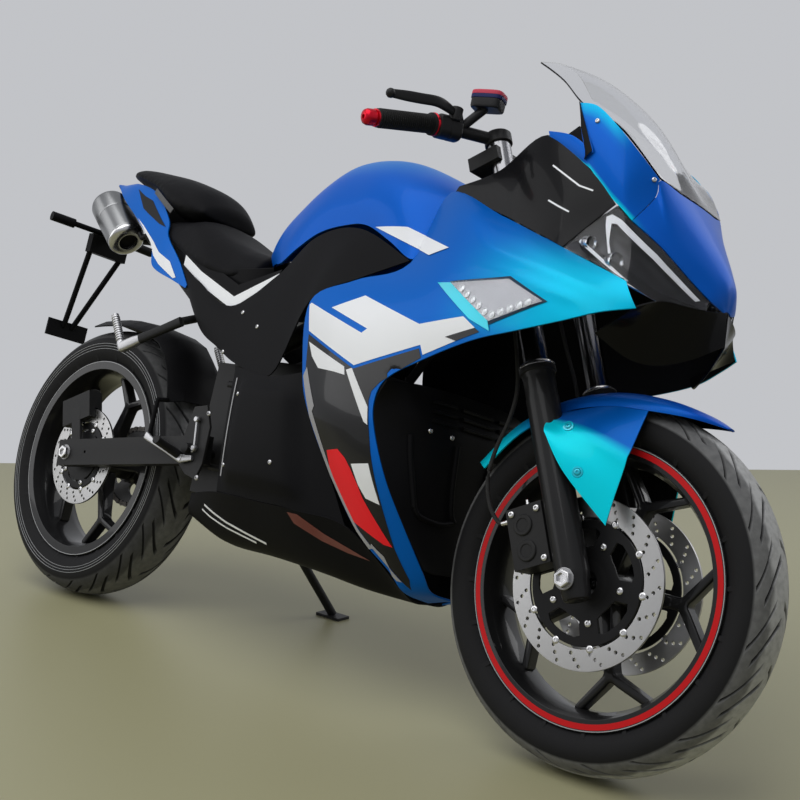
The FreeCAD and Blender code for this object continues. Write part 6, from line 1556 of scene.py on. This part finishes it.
boxes.append(cup_band([(-0.0155, 0.8), (-0.015, 0.9), (-0.012, 0.95), (0.001, 0.96)]))
controls = fitted("control_housings", *merged(boxes), CONTROL_BLACK, "steering", "control_black",
    edge=0.0006, sharp=50)
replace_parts(controls, "controls")
fitted("reservoir_navy", *cup_band([(0.001, 0.985), (0.0015, 1), (0.0072, 1), (0.0077, 0.985)]),
    LID_NAVY, "steering", "control_black", edge=0, sharp=50)
fitted("reservoir_lid", *cup_band([(0.0077, 0.985), (0.008, 1), (0.0128, 1), (0.0148, 0.97),
    (0.0156, 0.9)]), LID_RED, "steering", "control_black", edge=0, sharp=50)
lid_screws = [button(RESERVOIR + turn * (0.021 * a) + Vector((-turn.y, turn.x, 0)) * (0.0125 * b)
    + Vector((0, 0, 0.0152)), (0, 0, 1), 0.003, 0.0014, 10) for a in (-1, 1) for b in (-1, 1)]
fitted("reservoir_screws", *merged(lid_screws), POLISHED, "steering", "control_black", edge=0)
fitted("bar_levers", *merged(levers), CONTROL_BLACK, "steering", "control_black", edge=0, sharp=60)
fitted("bar_switches", *merged(switches), ANODISED_RED, "steering", "control_black", edge=0.0004)

# Brake hoses
# A braided black hose from each front caliper up behind the leg to the lower bridge, with a bright
# fitting at each end.
HOSE_ROUTE = [
    (0.12, -0.0958, 0.096), (0.1205, -0.108, 0.0966), (0.127, -0.121, 0.098), (0.158, -0.13, 0.1),
    (0.203, -0.124, 0.102), (0.246, -0.099, 0.102), (0.284, -0.068, 0.1), (0.33, -0.046, 0.096),
    (0.386, -0.039, 0.091), (0.448, -0.039, 0.082), (0.508, -0.037, 0.073), (0.5597, -0.038, 0.068)]
HOSE_BLACK = finish("hose_braid", (0.012, 0.012, 0.013), (0.1, 0.1, 0.1), 0.45, drift=0.5, wear=0.2,
    grain=2400, depth=0.9)
hoses = []
fittings = []
for side in (RIGHT, LEFT):
    route = [on_fork(up, forward, side * sideways) for up, forward, sideways in HOSE_ROUTE]
    hoses.append(tube(route, 0.0035, 5, 12))
    for a, b in ((route[0], route[1]), (route[-1], route[-2])):
        fittings.append(spun([(0, 0), (0, 0.005), (0.009, 0.005), (0.01, 0.0043), (0.018, 0.0041),
            (0.018, 0)], a, b - a, 14))
hose_pair = fitted("hose_pair", *merged(hoses), HOSE_BLACK, "steering", "grip_rubber", edge=0, sharp=80)
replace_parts(hose_pair, "brake_hoses")
fitted("hose_fittings", *merged(fittings), POLISHED, "steering", "grip_rubber", edge=0)

# Parts that keep their own form
# Frame, arms, bridges, calipers, stand and brackets: their own solids, with rounded corners, in powder
# coat, cast alloy, plastic, motor grey or red lens.
FRAME_BLACK = finish("frame_powder_coat", (0.011, 0.011, 0.012), (0.05, 0.05, 0.05), 0.36, grain=1800,
    depth=0.15)
ALLOY = finish("cast_alloy", (0.4, 0.4, 0.41), (0.55, 0.55, 0.56), 0.34, metallic=1.0, drift=0.4,
    wear=0.4, depth=0.12)
BLOCK_GREY = finish("motor_grey", (0.022, 0.022, 0.024), (0.08, 0.08, 0.08), 0.42, drift=0.4, wear=0.4,
    grain=700, depth=0.2)
RED_LENS = finish("red_lens", (0.32, 0.004, 0.006), (0.42, 0.01, 0.01), 0.14, coat=1.0, wear=0.0,
    grain=260, depth=0.4)
EASED = [
    ("main_frame", FRAME_BLACK, 0.0022), ("swingarm", FRAME_BLACK, 0.0035), ("rear_shock", ALLOY, 0.0015),
    ("fork_clamps", FRAME_BLACK, 0.003), ("front_calipers", FRAME_BLACK, 0.0028),
    ("rear_caliper", FRAME_BLACK, 0.002), ("side_stand", FRAME_BLACK, 0.0015),
    ("plate_bracket", PLASTIC, 0.0012), ("footrests", FRAME_BLACK, 0.0016),
    ("dash", PLASTIC, 0.003), ("power_block", BLOCK_GREY, 0.006), ("tail_lamp", RED_LENS, 0.003),
    ("rear_hugger", PLASTIC, 0),
]


def eased(node, material, width):
    """A copy of a solid with its corners rounded over."""
    source = frame["nodes"][node]
    mesh = source.data.copy()
    slot = source.data.materials[0].name.split(".")[0]
    mesh.transform(source.matrix_world)
    form = bmesh.new()
    form.from_mesh(mesh)
    bmesh.ops.remove_doubles(form, verts=form.verts, dist=0.00003)
    bmesh.ops.dissolve_limit(form, angle_limit=math.radians(0.8), verts=form.verts, edges=form.edges)
    form.to_mesh(mesh)
    form.free()
    piece = bpy.data.objects.new(node + "_eased", mesh)
    bpy.context.scene.collection.objects.link(piece)
    if width:
        round_over = piece.modifiers.new("edge", "BEVEL")
        round_over.width = width
        round_over.segments = 3
        round_over.limit_method = "ANGLE"
        round_over.angle_limit = math.radians(40)
        settle(piece)
    dressed(piece, material, body_of(source)[0], slot, sharp=35)
    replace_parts(piece, node)


for node, material, width in EASED:
    eased(node, material, width)

# Bolts and films of the side
# Small bright bolts on the panels, white stripes on seat base, tail and belly, a grey strip painted as a
# highlight on the raised boss of the lower cover, and the strap below the passenger's pad.
STREAK_RED = finish("streak_red", (0.16, 0.03, 0.025), (0.26, 0.12, 0.1), 0.3, metallic=0.2, drift=0.9,
    wear=0.1, grain=300, depth=0.1)
STRAP_GREY = finish("strap_grey", (0.16, 0.16, 0.165), (0.09, 0.09, 0.09), 0.6, drift=0.6, wear=0.1,
    grain=2200, depth=0.8)
TAIL_DARK = finish("tail_black", (0.008, 0.008, 0.009), (0.02, 0.02, 0.02), 0.4, wear=0.1)
V_STRIPE = [((0.256, 0.1125, 0.748), 0.026), ((0.33, 0.1205, 0.712), 0.026), 
    ((0.459, 0.1265, 0.662), 0.026), ((0.575, 0.1245, 0.731), 0.01)]
PANEL_BOLTS = [(0.513, 0.654), (0.483, 0.571), (0.579, 0.626)]
COVER_BOLTS = [(0.584, 0.49), (0.57, 0.352), (0.728, 0.374)]
WING_BOLTS = [(1.272, 1.007), (1.366, 0.925)]
MUDGUARD_BOLTS = [(1.34, 0.455), (1.303, 0.524)]


def ribbon(route, width):
    """The outline of a narrow stripe along a route in length and height."""
    left = []
    right = []
    for i, (x, z) in enumerate(route):
        ax, az = route[max(i - 1, 0)]
        bx, bz = route[min(i + 1, len(route) - 1)]
        reach = math.hypot(bx - ax, bz - az)
        nx, nz = -(bz - az) / reach * width / 2, (bx - ax) / reach * width / 2
        left.append((x + nx, z + nz))
        right.append((x - nx, z - nz))
    return left + right[::-1]


for name, side in SIDES.items():
    bolts = []
    for bases, spots, radius in (([side_panels[side]], PANEL_BOLTS, 0.0046),
            ([covers[side]], COVER_BOLTS, 0.0046), ([wings[side]], WING_BOLTS, 0.0042)):
        for x, z in spots:
            spot, normal = surface_at(bases, x, z, side)
            bolts.append(button(spot, normal, radius, 0.0028))
    fitted("panel_bolts_" + name, *merged(bolts), POLISHED, "chassis", "plastic_black", edge=0)
    bolts = []
    for x, z in MUDGUARD_BOLTS:
        spot, normal = surface_at([guard_wings[side]], x, z, side)
        bolts.append(button(spot, normal, 0.0055, 0.003))
        bolts.append(spun([(0, 0.0056), (0, 0.009), (0.0012, 0.0084), (0.0014, 0.0058)], spot, normal, 20,
            closed=True))
    # The mudguard bolts take the cyan painted highlight of the wing round them.
    fitted("mudguard_bolts_" + name, *merged(bolts), CYAN_HIGHLIGHT, "steering", "plastic_blue", edge=0)
    for label, material, bottom, top, tuck in (("v_stripe_", FILM_WHITE, 0, 1, 0),
            ("v_closing_", PLASTIC, 0.98, 2, 0.005)):
        rows = []
        for (start, wide), (stop, next_wide) in zip(V_STRIPE, V_STRIPE[1:]):
            for i in range(7):
                share = i / 6
                low = Vector(start).lerp(Vector(stop), share)
                reach = wide + (next_wide - wide) * share
                row = []
                for v in (0, 1 / 3, 2 / 3, 1):
                    height = low.z + reach * (bottom + (top - bottom) * v)
                    row.append(on_side((low.x, low.y - tuck * v, height), side))
                rows.append(row)
        net_piece(label + name, rows, material, "chassis", "plastic_black", wall=0.0008, edge=0)
    film("tail_band_" + name, [tails[side]],
        [(0.023, 0.862), (0.059, 0.843), (0.124, 0.802), (0.158, 0.778), (0.21, 0.757), (0.246, 0.722),
        (0.236, 0.72), (0.17, 0.75), (0.14, 0.77), (0.1, 0.808), (0.06, 0.838)],
        FILM_WHITE, side, "plastic_blue", lift=0.0008, step=0.006)
    film("tail_notch_" + name, [tails[side]],
        [(-0.03, 0.938), (0.014, 0.918), (0.055, 0.905), (0.12, 0.858), (0.15, 0.838), (0.12, 0.846),
        (0.06, 0.872), (0.03, 0.886), (-0.01, 0.922)],
        TAIL_DARK, side, "plastic_blue", lift=0.0008, step=0.006)
    film("belly_line_a_" + name, [belly],
        ribbon([(0.5, 0.268), (0.53, 0.259), (0.577, 0.246), (0.64, 0.234), (0.691, 0.225)], 0.0038),
        FILM_WHITE, side, "plastic_black", lift=0.0006, step=0.005)
    film("belly_line_b_" + name, [belly],
        ribbon([(0.489, 0.258), (0.52, 0.248), (0.577, 0.235), (0.66, 0.222)], 0.0032),
        FILM_WHITE, side, "plastic_black", lift=0.0006, step=0.005)
    film("belly_streak_" + name, [belly],
        [(0.774, 0.293), (0.8, 0.293), (0.858, 0.27), (0.953, 0.243), (0.905, 0.247), (0.849, 0.257),
        (0.787, 0.276)], STREAK_RED, side, "plastic_black", lift=0.0006, step=0.006)
    # A painted highlight: a grey strip along the rear edge of the raised boss on the lower cover.
    film("cover_highlight_strip_" + name, [covers[side]],
        ribbon([(0.558, 0.522), (0.5615, 0.43), (0.5655, 0.33)], 0.0036), FILM_GREY, side,
        "plastic_black", lift=0.0006, step=0.005)
    for index, route in enumerate(([(1.206, 0.934), (1.265, 0.899), (1.29, 0.892)],
            [(1.214, 0.874), (1.236, 0.864), (1.258, 0.855)])):
        film("inner_line_%d_%s" % (index, name), [inner_panels[side]], ribbon(route, 0.0028), FILM_WHITE,
            side, "plastic_black", lift=0.0006, step=0.005)
    strap = [on_side(point, side) for point in ((0.066, 0.092, 0.926), (0.095, 0.0985, 0.911),
        (0.125, 0.1005, 0.893), (0.15, 0.098, 0.877))]
    fitted("grab_strap_" + name, *swept(strap, [(0.0065, 0.0012)] * 4, count=12, power=0.6), STRAP_GREY,
        "chassis", "seat_vinyl", edge=0)

# Duct ribs
# Inside the wall behind the front wheel: a framed hollow on each side, with slats and bolts above it.
duct_bits = []
duct_heads = []
duct_tree = surface_tree(duct, UPRIGHT)


def on_duct(y, z, proud=0.0):
    """A place on the duct wall's front, stood proud of it."""
    spot, normal, _, _ = duct_tree.ray_cast(Vector((1.4, y, z)), Vector((-1, 0, 0)))
    if spot is None:
        spot, normal, _, _ = duct_tree.find_nearest(Vector((1.05, y, z)))
    if normal.x < 0:
        normal = -normal
    return spot + normal * proud


for side in (RIGHT, LEFT):
    for route in (((0.148, 0.468), (0.142, 0.43), (0.134, 0.39), (0.124, 0.35)),
            ((0.052, 0.468), (0.048, 0.43), (0.042, 0.39), (0.032, 0.352), (0.02, 0.338))):
        line = [on_duct(side * y, z, 0.0016) for y, z in route]
        fine = [row[0] for row in smooth_rows([[point] for point in line], 5)]
        duct_bits.append(swept(fine, [(0.0052, 0.0052)] * len(fine), up=(1, 0, 0), count=12))
    line = [on_duct(side * y, z, 0.0016)
        for y, z in ((0.124, 0.35), (0.11, 0.336), (0.06, 0.33), (0.02, 0.338))]
    fine = [row[0] for row in smooth_rows([[point] for point in line], 5)]
    duct_bits.append(swept(fine, [(0.0045, 0.0045)] * len(fine), up=(1, 0, 0), count=12))
    for y, z in ((0.118, 0.482), (0.07, 0.48)):
        duct_heads.append(button(on_duct(side * y, z, 0), (1, 0, 0), 0.0052, 0.0034))
for row, z in enumerate((0.5, 0.516, 0.532)):
    for a, b in ((-0.118, -0.062), (-0.046, 0.046), (0.062, 0.118)):
        line = [on_duct(a + (b - a) * i / 6, z, 0.003) for i in range(7)]
        duct_bits.append(swept(line, [(0.0036, 0.0034)] * 7, up=(1, 0, 0), count=8, power=0.7))
fitted("duct_ribs", *merged(duct_bits), PLASTIC, "chassis", "plastic_black", edge=0, sharp=50)
fitted("duct_bolts", *merged(duct_heads), POLISHED, "chassis", "plastic_black", edge=0)

# Silencer
# A satin steel can below the tail, with a polished domed end round a dark outlet.
SATIN_STEEL = finish("silencer_satin", (0.2, 0.205, 0.21), (0.34, 0.34, 0.34), 0.24, metallic=1.0,
    drift=0.5, wear=0.2, grain=400, depth=0.04)
OUTLET = finish("outlet_dark", (0.006, 0.006, 0.006), (0.03, 0.028, 0.025), 0.6, drift=0.5, wear=0.1)
can_foot = Vector((-0.035, -0.062, 0.812))
can_head = Vector((-0.15, -0.062, 0.905))
can_line = (can_head - can_foot).normalized()
can = fitted("silencer_can", *spun([(0.016, 0), (0.016, 0.0418), (0.02, 0.044), (0.09, 0.044),
    (0.092, 0.0426), (0.095, 0.0426), (0.097, 0.044), (0.138, 0.044), (0.1455, 0.0415), (0.1479, 0.036),
    (0.1479, 0)], can_foot, can_line, 64), SATIN_STEEL, "chassis", "silencer_steel", edge=0)
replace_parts(can, "silencer")
fitted("silencer_dome", *spun([(0.018, 0), (0.018, 0.0424), (0.013, 0.0436), (0.008, 0.0418),
    (0.003, 0.0368), (0.0003, 0.03), (0, 0.0235), (0.0006, 0.0215), (0.004, 0.0205), (0.012, 0.02),
    (0.012, 0)], can_foot, can_line, 64), POLISHED, "chassis", "silencer_steel", edge=0)
fitted("silencer_outlet", *spun([(0.0119, 0), (0.0119, 0.0199), (0.006, 0.02), (0.006, 0.0192),
    (0.0112, 0.0188), (0.0112, 0)], can_foot, can_line, 40), OUTLET, "chassis",
    "silencer_steel", edge=0)

# Pegs, pedal and calipers
# Ribbed alloy passenger pegs on black stays, the rear brake pedal with its link on the right, and the
# bolts and piston covers of the front calipers.
peg_black = []
peg_bright = []
for side in (RIGHT, LEFT):
    stay = on_side((0.3, 0.117, 0.628), side)
    elbow = on_side((0.205, 0.14, 0.577), side)
    tip = on_side((0.162, 0.15, 0.553), side)
    top = on_side((0.11, 0.15, 0.622), side)
    peg_black.append(swept([stay, stay.lerp(elbow, 0.5), elbow], [(0.0105, 0.0085), (0.0095, 0.0075),
        (0.0105, 0.0085)], count=20, power=0.7))
    peg_bright.append(swept([elbow, elbow.lerp(tip, 0.3), tip.lerp(elbow, 0.1),
        tip + (tip - elbow) * 0.12], [(0.0092, 0.008), (0.0115, 0.01), (0.012, 0.0105), (0.0085, 0.007)],
        count=20, power=0.6))
    line = (top - tip).normalized()
    reach = (top - tip).length
    ribs = [(-0.004, 0), (-0.004, 0.0085), (0.01, 0.0098), (0.016, 0.008)]
    for index in range(11):
        start = 0.018 + index * 0.0058
        ribs += [(start, 0.0072), (start + 0.001, 0.0092), (start + 0.0036, 0.0092),
            (start + 0.0046, 0.0072)]
    ribs += [(reach - 0.001, 0.0085), (reach, 0.007), (reach, 0)]
    peg_bright.append(spun(ribs, tip, line, 20))
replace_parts(fitted("peg_stays", *merged(peg_black), FRAME_BLACK, "chassis", "alloy", edge=0.0004,
    sharp=50), "pillion_pegs")
fitted("pillion_peg_ribs", *merged(peg_bright), ALLOY, "chassis", "alloy", edge=0.0004, sharp=50)
pedal = [Vector((0.3, -0.137, 0.378)), Vector((0.33, -0.137, 0.368)), Vector((0.375, -0.135, 0.357)),
    Vector((0.421, -0.133, 0.346)), Vector((0.452, -0.13, 0.352))]
metal = [swept(pedal, [(0.0085, 0.004), (0.0055, 0.0034), (0.006, 0.0034), (0.009, 0.004),
    (0.005, 0.0034)], count=18, power=0.6)]
link = [Vector((0.441, -0.131, 0.43)), Vector((0.452, -0.131, 0.372))]
metal.append(swept(link, [(0.0026, 0.0026)] * 2, up=(1, 0, 0), count=12))
for spot in (link[0], link[1], pedal[3]):
    metal.append(spun([(-0.005, 0), (-0.005, 0.0048), (-0.002, 0.0066), (0.002, 0.0066), (0.005, 0.0048),
        (0.005, 0)], spot, (0, 1, 0), 16))
for x, z in ((0.414, 0.344), (0.43, 0.431), (0.441, 0.368), (0.473, 0.316), (0.465, 0.446)):
    metal.append(button(Vector((x, -0.1235, z)), (0, -1, 0), 0.0056, 0.004))
fitted("brake_pedal", *merged(metal), ALLOY, "chassis", "alloy", edge=0, sharp=50)
covers_black = []
caliper_bolts = []
for side in (RIGHT, LEFT):
    away = (0, side, 0)
    for up in (0.062, 0.104):
        spot = on_fork(up, -0.066, side * 0.1112)
        covers_black.append(spun([(0, 0.0175), (0.0022, 0.017), (0.0034, 0.0155), (0.0034, 0.011),
            (0.0022, 0.01), (0.0022, 0)], spot, away, 32))
    for up, forward in ((0.044, -0.0365), (0.124, -0.0365), (0.126, -0.084)):
        caliper_bolts.append(button(on_fork(up, forward, side * 0.1112), away, 0.0062, 0.0042))
    bleed = on_fork(0.134, -0.06, side * 0.096)
    caliper_bolts.append(spun([(0, 0.005), (0.004, 0.005), (0.004, 0.0032),
        (0.012, 0.0028), (0.014, 0)], bleed, FORK_UP, 12))
fitted("caliper_covers", *merged(covers_black), FRAME_BLACK, "steering", "caliper_black", edge=0)
fitted("caliper_bolts", *merged(caliper_bolts), POLISHED, "steering", "caliper_black", edge=0)

# Solids still light as they are
# Any solid that no piece above stands for takes the finish of its own material.
SLOT_FINISH = {
    "plastic_blue": PAINT, "plastic_black": PLASTIC, "control_black": CONTROL_BLACK,
    "chain_steel": CHAIN_STEEL, "alloy": ALLOY, "frame_black": FRAME_BLACK, "fork_black": FORK_SATIN,
    "caliper_black": FRAME_BLACK, "disc_steel": STEEL, "rim_black": RIM_BLACK, "tyre": RUBBER,
    "grip_rubber": GRIP, "lamp_glass": LENS, "lamp_red": RED_LENS, "screen_glass": SCREEN,
    "power_grey": BLOCK_GREY, "seat_vinyl": VINYL, "silencer_steel": POLISHED,
}
for solid in frame["nodes"].values():
    for index, material in enumerate(solid.data.materials):
        slot = material.name.split(".")[0] if material else "frame_black"
        solid.data.materials[index] = SLOT_FINISH.get(slot, material)

# Floor, light and camera
# A plain pale floor and backdrop, a broad soft lamp above and two fills, and the camera at the
# photograph's place.
CAMERA_PLACE = Vector((1.7126, -1.8264, 0.7732))
CAMERA_YAW = 2.3008
CAMERA_PITCH = -0.1065
CAMERA_ROLL = 0.0444
LENS_LENGTH = 55.64


def pale(label, light, dark):
    """A floor finish that drifts between two near tones."""
    material = bpy.data.materials.new(label)
    material.use_nodes = True
    tree = material.node_tree
    shader = tree.nodes["Principled BSDF"]
    cloud = tree.nodes.new("ShaderNodeTexNoise")
    cloud.inputs["Scale"].default_value = 3
    tree.links.new(mixed(tree, cloud.outputs["Fac"], light, dark), shader.inputs["Base Color"])
    shader.inputs["Roughness"].default_value = 0.42
    return material


floor_mesh = bpy.data.meshes.new("floor")
floor_mesh.from_pydata([(-5.83, -9, 0), (9, -9, 0), (9, 9.66, 0), (4.19, 9.66, 0), (-5.83, -4.35, 0)], [],
    [(0, 1, 2, 3, 4)])
floor = bpy.data.objects.new("floor", floor_mesh)
bpy.context.scene.collection.objects.link(floor)
floor_mesh.materials.append(pale("floor_pale", (0.4, 0.385, 0.235), (0.33, 0.315, 0.18)))


def soft_lamp(label, place, target, size, watts):
    lamp = bpy.data.lights.new(label, "AREA")
    lamp.size = size
    lamp.energy = watts
    holder = bpy.data.objects.new(label, lamp)
    bpy.context.scene.collection.objects.link(holder)
    holder.location = place
    holder.rotation_euler = (Vector(target) - Vector(place)).to_track_quat("-Z", "Y").to_euler()


soft_lamp("key_lamp", (0.2, -1.6, 3.6), (0, -0.1, 0.5), 3.6, 90)
soft_lamp("side_lamp", (-3, -3, 2), (0, 0, 0.5), 3, 40)
soft_lamp("back_lamp", (2.1, 3.5, 2.8), (0, 0, 0.6), 3, 50)

world = bpy.context.scene.world or bpy.data.worlds.new("studio")
bpy.context.scene.world = world
world.use_nodes = True
tree = world.node_tree
tree.nodes.clear()
light_path = tree.nodes.new("ShaderNodeLightPath")
rays = light_path.outputs
seen = sums(tree, "MAXIMUM", rays["Is Camera Ray"], rays["Is Transmission Ray"])
mirrored_too = sums(tree, "MAXIMUM", seen, rays["Is Glossy Ray"])
ambient = tree.nodes.new("ShaderNodeBackground")
ambient.inputs["Color"].default_value = (0.8, 0.82, 0.86, 1)
ambient.inputs["Strength"].default_value = 0.24
backdrop = tree.nodes.new("ShaderNodeBackground")
backdrop.inputs["Color"].default_value = (0.54, 0.55, 0.575, 1)
backdrop.inputs["Strength"].default_value = 1.0
mixer = tree.nodes.new("ShaderNodeMixShader")
output = tree.nodes.new("ShaderNodeOutputWorld")
tree.links.new(mirrored_too, mixer.inputs[0])
tree.links.new(ambient.outputs[0], mixer.inputs[1])
tree.links.new(backdrop.outputs[0], mixer.inputs[2])
tree.links.new(mixer.outputs[0], output.inputs["Surface"])

sight = Vector((math.cos(CAMERA_YAW) * math.cos(CAMERA_PITCH),
    math.sin(CAMERA_YAW) * math.cos(CAMERA_PITCH), math.sin(CAMERA_PITCH)))
camera_data = bpy.data.cameras.new("camera")
camera_data.lens = LENS_LENGTH
camera_data.sensor_width = 36
camera = bpy.data.objects.new("camera", camera_data)
bpy.context.scene.collection.objects.link(camera)
camera.matrix_world = (Matrix.Translation(CAMERA_PLACE)
    @ sight.to_track_quat("-Z", "Y").to_matrix().to_4x4()
    @ Matrix.Rotation(CAMERA_ROLL, 4, "Z"))
bpy.context.scene.camera = camera
bpy.context.scene.view_settings.view_transform = "Standard"
